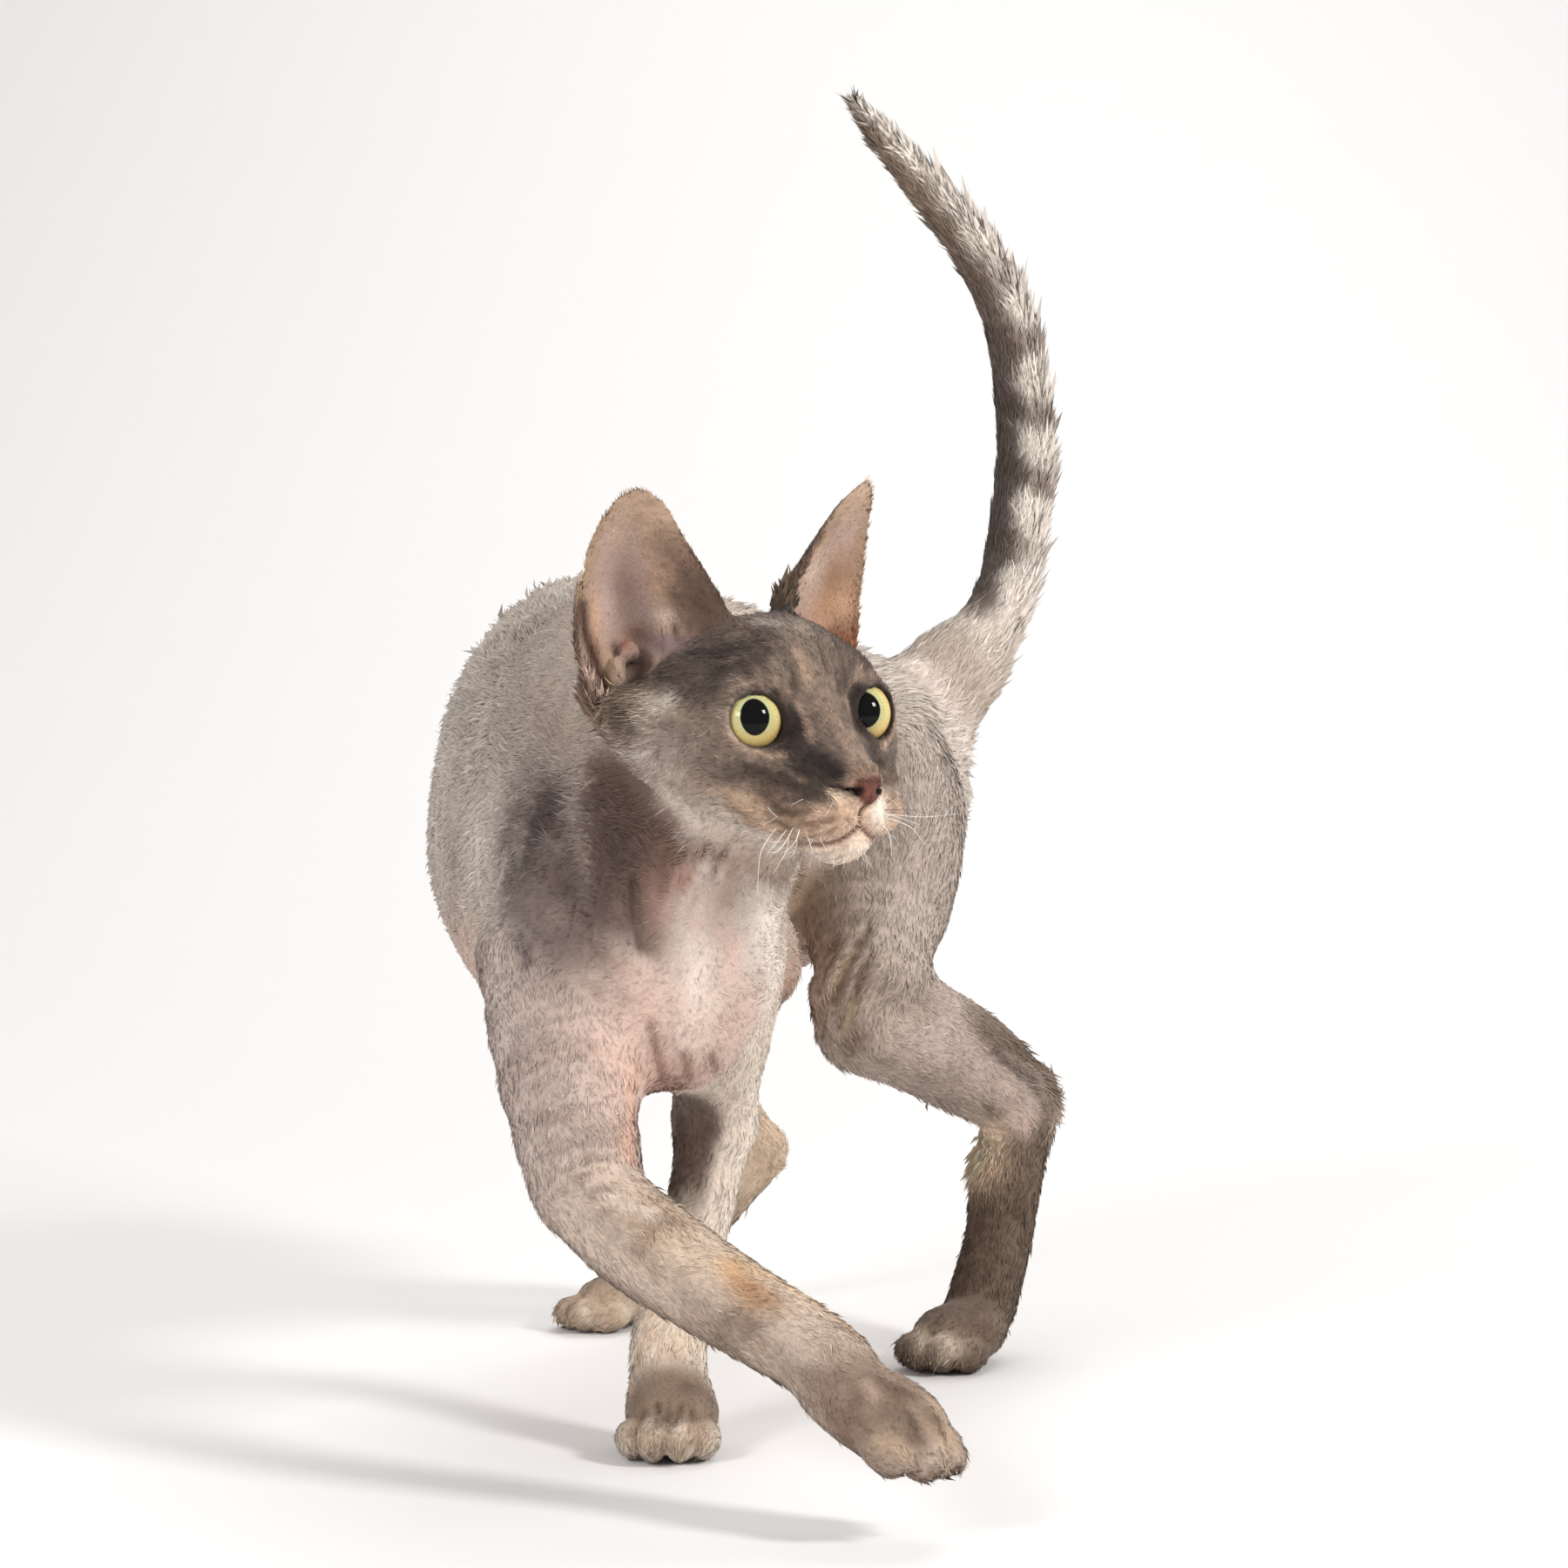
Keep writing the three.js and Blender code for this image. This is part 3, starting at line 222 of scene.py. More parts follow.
def seg(a, b, ra, rb, lat=None):
    """a tapered length between a and b; radii (sideways, up, down) at each end"""
    a, b = np.asarray(a, float), np.asarray(b, float)
    ra, rb = np.array(ra, float), np.array(rb, float)
    T = b - a
    l2 = T @ T
    Tn = T / np.sqrt(l2)
    iso = np.allclose(ra, ra[0]) and np.allclose(rb, rb[0])
    if lat is None:
        lat = np.cross(Tn, [0, 0, 1])
        if np.linalg.norm(lat) < 1e-3:
            lat = np.array([1.0, 0, 0])
    lat = unit(lat - np.dot(lat, Tn) * Tn)
    up = np.cross(lat, Tn)
    if up[2] < 0 and abs(Tn[2]) < 0.95:
        up = -up
    lo = np.minimum(a - ra.max(), b - rb.max())
    hi = np.maximum(a + ra.max(), b + rb.max())

    def fn(X, Y, Z):
        x, y, z = X - f32(a[0]), Y - f32(a[1]), Z - f32(a[2])
        h = np.clip((x * f32(T[0]) + y * f32(T[1]) + z * f32(T[2])) * f32(1 / l2), 0, 1)
        qx, qy, qz = x - h * f32(T[0]), y - h * f32(T[1]), z - h * f32(T[2])
        if iso:
            return np.sqrt(qx * qx + qy * qy + qz * qz) - (f32(ra[0]) + h * f32(rb[0] - ra[0]))
        u = qx * f32(lat[0]) + qy * f32(lat[1]) + qz * f32(lat[2])
        v = qx * f32(up[0]) + qy * f32(up[1]) + qz * f32(up[2])
        t = qx * f32(Tn[0]) + qy * f32(Tn[1]) + qz * f32(Tn[2])
        w = f32(ra[0]) + h * f32(rb[0] - ra[0])
        hh = np.where(v > 0, f32(ra[1]) + h * f32(rb[1] - ra[1]), f32(ra[2]) + h * f32(rb[2] - ra[2]))
        rt = np.minimum(w, hh)
        u, v, t = u / w, v / hh, t / rt
        k0 = np.sqrt(u * u + v * v + t * t)
        k1 = np.sqrt((u / w) ** 2 + (v / hh) ** 2 + (t / rt) ** 2) + f32(1e-9)
        return k0 * (k0 - 1) / k1
    return fn, lo, hi


def spline(rows, n):
    """a smooth run through rows of any width, n points to a span"""
    R = np.asarray(rows, float)
    P = np.vstack([2 * R[0] - R[1], R, 2 * R[-1] - R[-2]])
    out = []
    for i in range(len(R) - 1):
        p0, p1, p2, p3 = P[i], P[i + 1], P[i + 2], P[i + 3]
        for j in range(n):
            t = j / n
            out.append(0.5 * ((2 * p1) + (p2 - p0) * t + (2 * p0 - 5 * p1 + 4 * p2 - p3) * t * t + (3 * p1 - 3 * p2 + p3 - p0) * t ** 3))
    out.append(R[-1])
    return np.array(out)


class Slabs:
    """a grid of samples, cut down to the box that a shape can reach"""
    def __init__(s, X, Y, Z):
        s.X, s.Y, s.Z = X, Y, Z
        s.ax = [X.ravel(), Y.ravel(), Z.ravel()]

    def __call__(s, lo, hi):
        r = []
        for a, l, h in zip(s.ax, lo, hi):
            i, j = int(np.searchsorted(a, l)), int(np.searchsorted(a, h))
            if j <= i:
                return None
            r.append(slice(i, j))
        return s.X[r[0]], s.Y[:, r[1]], s.Z[:, :, r[2]], tuple(r)

    def sub(s, q):
        return Slabs(q[0], q[1], q[2])


class Spots:
    """loose points, cut down in the same way"""
    def __init__(s, X, Y, Z):
        s.X, s.Y, s.Z = X, Y, Z

    def __call__(s, lo, hi):
        m = (s.X > lo[0]) & (s.X < hi[0]) & (s.Y > lo[1]) & (s.Y < hi[1]) & (s.Z > lo[2]) & (s.Z < hi[2])
        i = np.nonzero(m)[0]
        return None if len(i) == 0 else (s.X[i], s.Y[i], s.Z[i], i)

    def sub(s, q):
        return Spots(q[0], q[1], q[2])


def apply_items(items, D, S):
    for fn, lo, hi, k, op, coat in items:
        q = S(lo - k - REACH, hi + k + REACH)
        if q is None:
            continue
        x, y, z, at = q
        if isinstance(fn, list):
            acc = np.full(D[at].shape, BIG, f32)
            sub = S.sub(q)
            for g, l, h in fn:
                w = sub(l - k - REACH, h + k + REACH)
                if w is not None:
                    acc[w[3]] = np.minimum(acc[w[3]], g(w[0], w[1], w[2]))
            D[at] = smin(D[at], acc + f32(coat), f32(k))
        elif op > 0:
            D[at] = smin(D[at], fn(x, y, z) + f32(coat), f32(k))
        else:
            D[at] = smax(D[at], -fn(x, y, z), f32(k))
    return D


def at_points(items, P):
    X, Y, Z = (np.ascontiguousarray(P[:, i], f32) for i in range(3))
    return apply_items(items, np.full(len(P), BIG, f32), Spots(X, Y, Z))


# ---------------------------------------------------------------- the head's own axes, the ears, the eyes
def turned(yaw, pitch=0, roll=0):
    """rows: right, forward, up; forward is -Y turned by yaw towards +X"""
    a, b, r = np.radians([yaw, pitch, roll])
    f = np.array([np.sin(a) * np.cos(b), -np.cos(a) * np.cos(b), np.sin(b)])
    s = np.array([-np.cos(a), -np.sin(a), 0])
    u = np.cross(s, f)
    return np.array([s * np.cos(r) + u * np.sin(r), f, u * np.cos(r) - s * np.sin(r)])


HC = np.array(HEAD_CENTRE, float)
HA = turned(*HEAD_TURN)


def H(x, y, z):
    return HC + np.array([x, y, z], float) @ HA


def to_head(P):
    return (P - HC) @ HA.T


def eased(T, step=0.5):
    """a table made smooth without overshoot"""
    x = T[:, 0]
    h = np.diff(x)
    xs = np.arange(x[0], x[-1] + 1e-6, step)
    i = np.clip(np.searchsorted(x, xs, side='right') - 1, 0, len(x) - 2)
    t = (xs - x[i]) / h[i]
    res = [xs]
    for c in range(1, T.shape[1]):
        y = T[:, c]
        d = np.diff(y) / h
        m = np.zeros(len(x))
        m[0], m[-1] = d[0], d[-1]
        for j in range(1, len(x) - 1):
            if d[j - 1] * d[j] > 0:
                w1, w2 = 2 * h[j] + h[j - 1], h[j] + 2 * h[j - 1]
                m[j] = (w1 + w2) / (w1 / d[j - 1] + w2 / d[j])
        res.append((2 * t ** 3 - 3 * t ** 2 + 1) * y[i] + (t ** 3 - 2 * t ** 2 + t) * h[i] * m[i]
                   + (-2 * t ** 3 + 3 * t ** 2) * y[i + 1] + (t ** 3 - t ** 2) * h[i] * m[i + 1])
    return np.array(res).T


EARF = eased(np.array(EAR, float))
EARG = np.gradient(EARF, EARF[:, 0], axis=0)


def ear_axes(side):
    """where the ear stands, then its outward, upward and forward directions"""
    an = np.radians(EAR_TURN)
    o = H(side * EAR_ROOT[0], EAR_ROOT[1], EAR_ROOT[2])
    w = np.array([side * np.cos(an), -np.sin(an), 0.0]) @ HA
    n = np.array([side * np.sin(an), np.cos(an), 0.0]) @ HA
    return o, w, np.array([0, 0, 1.0]) @ HA, n


def ear_shape(side, P):
    """across (-1 inner edge, 1 outer edge), up, and how far before the cup's middle sheet"""
    o, w, b, n = ear_axes(side)
    q = P - o
    A, B, C = q @ w, q @ b, q @ n
    i = np.clip((B - EARF[0, 0]) / 0.5, 0, len(EARF) - 1.001)
    i0 = i.astype(int)
    T = EARF[i0] * (1 - (i - i0))[:, None] + EARF[i0 + 1] * (i - i0)[:, None]
    a = (A - (T[:, 1] + T[:, 2]) / 2) / ((T[:, 1] - T[:, 2]) / 2)
    c = C - (T[:, 4] - T[:, 3] * (1 - np.clip(a, -1.15, 1.15) ** 2))
    return a, B, c


def ear(side, thick=0.0):
    o, w, b, n = ear_axes(side)
    pts = [o + w * p + b * q + n * r for p in (-26, 28) for q in (-28, 57) for r in (-22, 17)]

    def fn(X, Y, Z):
        x, y, z = X - f32(o[0]), Y - f32(o[1]), Z - f32(o[2])
        A = x * f32(w[0]) + y * f32(w[1]) + z * f32(w[2])
        B = x * f32(b[0]) + y * f32(b[1]) + z * f32(b[2])
        C = x * f32(n[0]) + y * f32(n[1]) + z * f32(n[2])
        i = np.clip(((B - EARF[0, 0]) / 0.5), 0, len(EARF) - 1.001)
        i0 = i.astype(np.int32)
        fr = (i - i0).astype(f32)

        def I(T, c):
            return T[i0, c].astype(f32) * (1 - fr) + T[i0 + 1, c].astype(f32) * fr
        L, M, D, Cx, T = I(EARF, 1), I(EARF, 2), I(EARF, 3), I(EARF, 4), I(EARF, 5) + f32(thick)
        am, hw = (L + M) / 2, (L - M) / 2
        q = (A - am) / hw
        qc = np.clip(q, -1.15, 1.15)
        c0 = Cx - D * (1 - qc * qc)
        sa = 2 * D * qc / hw
        sb = I(EARG, 4) - I(EARG, 3) * (1 - qc * qc)
        d1 = np.abs(C - c0) / np.sqrt(1 + sa * sa + sb * sb) - T / 2
        d2 = (np.abs(A - am) - hw) * f32(0.85)
        d = smax(d1, np.maximum(np.maximum(d2 - f32(thick * 0.3), B - f32(EARF[-1, 0] + thick * 0.5)), f32(-26) - B), f32(1.0))
        return d.astype(f32)
    return fn, np.min(pts, 0), np.max(pts, 0)


def eye_axes(side):
    """the eye's middle, then its sideways, outward-looking and upward directions"""
    a = np.radians(EYE_OUT)
    f = np.array([side * np.sin(a), np.cos(a), 0.0])
    return H(side * EYE[0], EYE[1], EYE[2]), np.array([np.cross(f, [0, 0, 1.0]), f, [0, 0, 1.0]]) @ HA


def lid_opening(side):
    """what the lids leave open: a rounded almond, seen along the eye's axis"""
    c, A = eye_axes(side)
    B = A.astype(f32)
    wide, tall, tilt = LID_OPENING

    def fn(X, Y, Z):
        x, y, z = X - f32(c[0]), Y - f32(c[1]), Z - f32(c[2])
        u = (x * B[0, 0] + y * B[0, 1] + z * B[0, 2]) * side
        t = x * B[1, 0] + y * B[1, 1] + z * B[1, 2]
        v = x * B[2, 0] + y * B[2, 1] + z * B[2, 2] - tilt * u
        q = np.sqrt((u / wide) ** 2 + (v / tall) ** 2)
        open_ = (q - 1) * f32(tall) * 0.9 - np.maximum(t - 7, 0) * f32(0.25)
        return np.maximum(open_, f32(1.0) - t)
    r = 24
    return fn, c - r, c + r


def both(c):
    return [c] if c[0] == 0 else [c, [-c[0], c[1], c[2]]]


def body(thick=0.0, steps=1.0):
    """the skin's shapes in order: (shape, low, high, blend, join or cut, coat's depth there)"""
    S = []
    ch = {c[0]: c for c in CHAINS}

    def chain(name):
        n, k, st, coat, rows = ch[name]
        P = spline(rows, max(1, int(round(st * steps))))
        P[:, 3:6] = np.maximum(P[:, 3:6] - coat * COAT_SHARE, 0.42 * P[:, 3:6])
        fs = [seg(P[i, :3], P[i + 1, :3], P[i, 3:6], P[i + 1, 3:6]) for i in range(len(P) - 1)]
        S.append((fs, np.min([f[1] for f in fs], 0), np.max([f[2] for f in fs], 0), k, 1, 0))
    chain('trunk')
    for n, c, r, t, k, coat in BULGES:
        S.append((*ell(c, r, turned(*t)), k, 1, coat * COAT_SHARE))
    chain('neck')
    for n, c, r, k, coat in HEAD:
        for p in both(c):
            S.append((*ell(H(*p), r, HA), k, 1, coat * COAT_SHARE))
    for n, a, b, ra, rb, k, coat in HEAD_BARS:
        S.append((*seg(H(*a), H(*b), ra, rb, HA[0]), k, 1, coat * COAT_SHARE))
    for s in (1, -1):
        c, A = eye_axes(s)
        S.append((*ell(c, [EYE[3] + LID] * 3), 3.0, 1, 0))
        S.append((*lid_opening(s), 1.0, -1, 0))
    for n, c, r, k, op in FACE_DETAIL:
        for p in both(c):
            S.append((*ell(H(*p), r, HA), k, op, 0))
    for n in ch:
        if n not in ('trunk', 'neck'):
            chain(n)
    for name, c, yw, pt, sc, r in PAWS:
        A = turned(yw, pt)
        c = np.array(c, float)
        S.append((*ell(c + np.array([0, -4, 0]) @ A, (r[0] * sc, r[1] * sc, r[2] * sc), A), 8, 1, 1.1))
        for x, y, z, rr in TOES:
            S.append((*ell(c + np.array([x * sc, y * sc, z * sc]) @ A, (rr * 0.92 * sc, (rr + 3) * sc, rr * sc), A), 1.6, 1, 0.8))
        for x, y, z, rx, ry, rz in PADS:
            S.append((*ell(c + np.array([x * sc, y * sc, z * sc]) @ A, (rx * sc, ry * sc, rz * sc), A), 1.6, 1, 0.4))
    for s in (1, -1):
        S.append((*ear(s, thick), 3.0, 1, 0.45))
    for n, c, r, k in HOLLOWS:
        for p in both(c):
            S.append((*ell(H(*p), r, HA), k, -1, 0))
    for n, c, r, k, op in EAR_DETAIL:
        for p in both(c):
            S.append((*ell(H(*p), r, HA), k, op, 0))
    return S


def marks(stops, size):
    """sample positions along one axis: stops and the step up to each"""
    out = [stops[0]]
    i = 0
    while out[-1] < stops[-1]:
        while i < len(size) - 1 and out[-1] >= stops[i + 1]:
            i += 1
        out.append(out[-1] + size[i])
    return np.array(out)


def skin_mesh(ax):
    """the field's zero surface on an uneven grid: points and quads"""
    X, Y, Z = ax[0].astype(f32)[:, None, None], ax[1].astype(f32)[None, :, None], ax[2].astype(f32)[None, None, :]
    D = np.full((len(ax[0]), len(ax[1]), len(ax[2])), BIG, f32)
    apply_items(body(EAR_SWELL, 0.5), D, Slabs(X, Y, Z))
    S = D < 0
    nx, ny, nz = D.shape
    c = np.zeros((nx - 1, ny - 1, nz - 1), np.int8)
    corners = [(i, j, k) for i in (0, 1) for j in (0, 1) for k in (0, 1)]
    for i, j, k in corners:
        c += S[i:nx - 1 + i, j:ny - 1 + j, k:nz - 1 + k]
    I, J, K = np.nonzero((c > 0) & (c < 8))
    idx = np.full(c.shape, -1, np.int32)
    idx[I, J, K] = np.arange(len(I))
    val = {a: D[I + a[0], J + a[1], K + a[2]].astype(float) for a in corners}
    acc = np.zeros((len(I), 3))
    cnt = np.zeros(len(I))
    for a in corners:
        for q in range(3):
            if a[q] == 0:
                b = list(a)
                b[q] = 1
                va, vb = val[a], val[tuple(b)]
                m = (va < 0) != (vb < 0)
                t = np.where(m, va / (va - vb + 1e-12), 0)
                for r in range(3):
                    acc[:, r] += np.where(m, a[r] + (t if r == q else 0), 0)
                cnt += m
    F = acc / cnt[:, None]
    cell = np.stack([I, J, K], 1)
    P = np.stack([ax[q][cell[:, q]] + F[:, q] * (ax[q][cell[:, q] + 1] - ax[q][cell[:, q]]) for q in range(3)], 1)
    quads = []
    for axis in range(3):
        u, v = [(1, 2), (2, 0), (0, 1)][axis]
        s0, s1 = [slice(None)] * 3, [slice(None)] * 3
        s0[axis], s1[axis] = slice(0, -1), slice(1, None)
        A, B = S[tuple(s0)], S[tuple(s1)]
        E = np.array(np.nonzero(A != B)).T
        ok = np.ones(len(E), bool)
        for q in (u, v):
            ok &= (E[:, q] > 0) & (E[:, q] < D.shape[q] - 1)
        E = E[ok]

        def at(du, dv):
            C = E.copy()
            C[:, u] += du
            C[:, v] += dv
            return idx[C[:, 0], C[:, 1], C[:, 2]]
        q = np.stack([at(-1, -1), at(0, -1), at(0, 0), at(-1, 0)], 1)
        inside = A[E[:, 0], E[:, 1], E[:, 2]]
        q[~inside] = q[~inside][:, ::-1]
        quads.append(q)
    Q = np.vstack(quads)
    return P, Q[(Q >= 0).all(1)]


def normals(P, Q):
    N = np.cross(P[Q[:, 2]] - P[Q[:, 0]], P[Q[:, 3]] - P[Q[:, 1]])
    out = np.zeros_like(P)
    for i in range(4):
        for c in range(3):
            out[:, c] += np.bincount(Q[:, i], N[:, c], len(P))
    return out / (np.linalg.norm(out, axis=1)[:, None] + 1e-12)


def eased_mesh(P, Q, rounds, keep=0.5):
    """each point drawn towards the middle of its neighbours"""
    A = np.vstack([Q[:, [0, 1]], Q[:, [1, 2]], Q[:, [2, 3]], Q[:, [3, 0]]])
    n = np.bincount(A.ravel(), minlength=len(P)).astype(float)
    for _ in range(rounds):
        s = np.stack([np.bincount(A[:, 0], P[A[:, 1], c], len(P)) + np.bincount(A[:, 1], P[A[:, 0], c], len(P)) for c in range(P.shape[1])], 1)
        P = P * (1 - keep) + s / n[:, None] * keep
    return P


# ---------------------------------------------------------------- soft steps and seeded noise
def step(a, b, x):
    t = np.clip((x - a) / (b - a), 0, 1)
    return t * t * (3 - 2 * t)


def bump(x, at, half):
    """1 at a place, fading to 0 half a width away"""
    return np.exp(-((x - at) / half) ** 2)


LATTICE = np.random.RandomState(7).rand(32, 32, 32).astype(f32)


def noise(P, size, shift=0.0):
    """smooth noise from -1 to 1 in cells of a size in mm"""
    q = (P + shift) / size + 100
    i = np.floor(q).astype(int)
    f = (q - i)
    f = f * f * (3 - 2 * f)
    i &= 31
    j = (i + 1) & 31
    out = 0
    for a in (0, 1):
        for b in (0, 1):
            for c in (0, 1):
                w = (f[:, 0] if a else 1 - f[:, 0]) * (f[:, 1] if b else 1 - f[:, 1]) * (f[:, 2] if c else 1 - f[:, 2])
                out = out + w * LATTICE[(j if a else i)[:, 0], (j if b else i)[:, 1], (j if c else i)[:, 2]]
    return out * 2 - 1


def rough(P, size, shift=0.0):
    return (noise(P, size, shift) + 0.5 * noise(P, size * 0.5, shift + 31) + 0.25 * noise(P, size * 0.25, shift + 77)) / 1.75


def rgb(*c):
    """a colour as the eye names it (0 to 255), made linear"""
    c = np.array(c, float) / 255
    return np.where(c <= 0.04045, c / 12.92, ((c + 0.055) / 1.055) ** 2.4)


class Paint:
    """one colour per point, laid on in coats"""
    def __init__(s, n, base):
        s.c = np.tile(rgb(*base), (n, 1))

    def coat(s, colour, w):
        w = np.clip(w, 0, 1)[:, None]
        s.c = s.c * (1 - w) + rgb(*colour) * w

    def shade(s, k):
        s.c = s.c * np.asarray(k)[:, None]


def near_line(P, pts):
    """distance to a run of points, and how far along it (0 to 1)"""
    pts = np.asarray(pts, float)
    best = np.full(len(P), 1e9)
    along = np.zeros(len(P))
    for i in range(len(pts) - 1):
        T = pts[i + 1] - pts[i]
        h = np.clip((P - pts[i]) @ T / (T @ T), 0, 1)
        d = np.linalg.norm(P - pts[i] - h[:, None] * T, axis=1)
        m = d < best
        best[m] = d[m]
        along[m] = ((i + h) / (len(pts) - 1))[m]
    return best, along


class Limb:
    """a chain's own coordinates: gap from its surface, place along (0 to 1), direction, sideways and up parts"""
    def __init__(s, P, *names):
        ch = {c[0]: c for c in CHAINS}
        rows = [r for n in names for r in ch[n][4]]
        R = spline(rows, 3)
        L = np.r_[0, np.cumsum(np.linalg.norm(np.diff(R[:, :3], axis=0), axis=1))]
        s.length = L[-1]
        n = len(P)
        s.gap = np.full(n, 1e9)
        s.s = np.zeros(n)
        s.T = np.zeros((n, 3))
        s.q = np.zeros((n, 3))
        s.rad = np.ones(n)
        for i in range(len(R) - 1):
            T = R[i + 1, :3] - R[i, :3]
            h = np.clip((P - R[i, :3]) @ T / (T @ T), 0, 1)
            q = P - R[i, :3] - h[:, None] * T
            r = R[i, 3:6].mean() * (1 - h) + R[i + 1, 3:6].mean() * h
            d = np.linalg.norm(q, axis=1)
            m = d - r < s.gap
            s.gap[m] = (d - r)[m]
            s.s[m] = ((L[i] + h * (L[i + 1] - L[i])) / L[-1])[m]
            s.T[m] = T / np.linalg.norm(T)
            s.q[m] = q[m]
            s.rad[m] = r[m]
        lat = np.cross(s.T, [0, 0, 1.0])
        lat /= np.linalg.norm(lat, axis=1)[:, None] + 1e-9
        up = np.cross(lat, s.T)
        u = s.q / (np.linalg.norm(s.q, axis=1)[:, None] + 1e-9)
        s.side = (u * lat).sum(1)
        s.up = (u * up).sum(1)
        s.turn = np.arctan2(s.side, s.up)


REGIONS = ['head', 'ears', 'neck', 'trunk', 'tail', 'foreleg_right', 'foreleg_left', 'hindleg_left', 'hindleg_right']


def fields(P, N):
    """everything that colour and coat depend on, at any points"""
    F = {'P': P, 'N': N, 'h': to_head(P), 'nh': N @ HA.T}
    F['ear'] = [ear_shape(s, P) for s in (1, -1)]
    h = F['h']
    ax = np.abs(h[:, 0])
    F['trunk'] = Limb(P, 'trunk')
    F['neck'] = Limb(P, 'neck')
    F['tail'] = Limb(P, 'tail')
    F['foreleg_right'] = Limb(P, 'foreleg_right_upper', 'foreleg_right_lower')
    F['foreleg_left'] = Limb(P, 'foreleg_left_upper', 'foreleg_left_lower')
    F['hindleg_left'] = Limb(P, 'hindleg_left_upper', 'hindleg_left_lower', 'hindleg_left_foot')
    F['hindleg_right'] = Limb(P, 'hindleg_right_upper', 'hindleg_right_lower', 'hindleg_right_foot')
    q = np.stack([ax / 31, (h[:, 1] + 9) / 31, (h[:, 2] - 5) / 28], 1)
    skull = (np.linalg.norm(q, axis=1) - 1) * 28
    m = np.stack([ax / 25, (h[:, 1] - 22) / 30, (h[:, 2] + 14) / 26], 1)
    face = (np.linalg.norm(m, axis=1) - 1) * 25
    head = np.minimum(skull, face)
    ears = np.full(len(P), 99.0)
    for s, (a, b, c) in zip((1, -1), F['ear']):
        inside = (h[:, 0] * s > 8) & (b > -24) & (b < 57) & (np.abs(a) < 1.15)
        ears = np.where(inside, np.minimum(ears, np.abs(c) - 2 - np.clip(b + 6, -30, 12) * 0.6), ears)
    G = {'head': head - 2, 'ears': ears, 'neck': F['neck'].gap, 'trunk': F['trunk'].gap + 3, 'tail': F['tail'].gap + 2}
    for n in REGIONS[5:]:
        G[n] = F[n].gap
    for name, c, yw, pt, sc, r in PAWS:
        n = name[:-4]
        d = np.linalg.norm(P - np.array(c, float), axis=1) - 17 * sc
        G[n] = np.minimum(G[n], d)
        F[n + '_paw'] = d
    D = np.stack([G[n] for n in REGIONS], 1)
    W = np.exp(-np.clip(D - D.min(1)[:, None], 0, 60) / 3.0)
    F['W'] = W / W.sum(1)[:, None]
    F['region'] = D.argmin(1)
    return F


def blob(P, c, r):
    """a soft round patch"""
    return np.exp(-(((P - np.array(c, float)) / np.array(r, float)) ** 2).sum(1))


def stroke(P, line, half):
    """a soft line seen from the front: a run of (x, z) places"""
    d, _ = near_line(P * [1, 0, 1], [(x, 0, z) for x, z in line])
    return np.exp(-(d / half) ** 2)


def mouth(h):
    """the mouth's line and the groove over it, 0 to 1"""
    ax = np.abs(h[:, 0])
    z = np.interp(ax, [0, 2.5, 6, 9.5, 12, 15, 17], [-30.8, -33, -35, -36, -35.2, -33.8, -33])
    lips = np.exp(-((h[:, 2] - z) / 0.75) ** 2) * step(21, 28, h[:, 1]) * step(16, 13, ax)
    groove = np.exp(-(ax / 0.65) ** 2) * step(-32, -30.5, h[:, 2]) * step(-24, -25.5, h[:, 2]) * step(38, 42, h[:, 1])
    return np.maximum(lips, groove)


def leather(h):
    """the nose's bare part: broad above, pointed below"""
    ax = np.abs(h[:, 0])
    half = np.interp(h[:, 2], [-26.5, -24.5, -22.5, -18.5, -16.6], [0.4, 1.8, 4.0, 5.2, 4.6])
    return step(half + 0.35, half - 0.35, ax) * step(44.6, 45.6, h[:, 1]) * step(-26.6, -26, h[:, 2]) * step(-16.4, -17.0, h[:, 2])


def eye_place(P, side):
    """in the eye's axes, as a share of the lids' opening: distance, then outward and upward parts, then depth"""
    c, A = eye_axes(side)
    q = (P - c) @ A.T
    u = q[:, 0] * side
    v = q[:, 2] - LID_OPENING[2] * u
    return np.sqrt((u / LID_OPENING[0]) ** 2 + (v / LID_OPENING[1]) ** 2), u, v, q[:, 1]


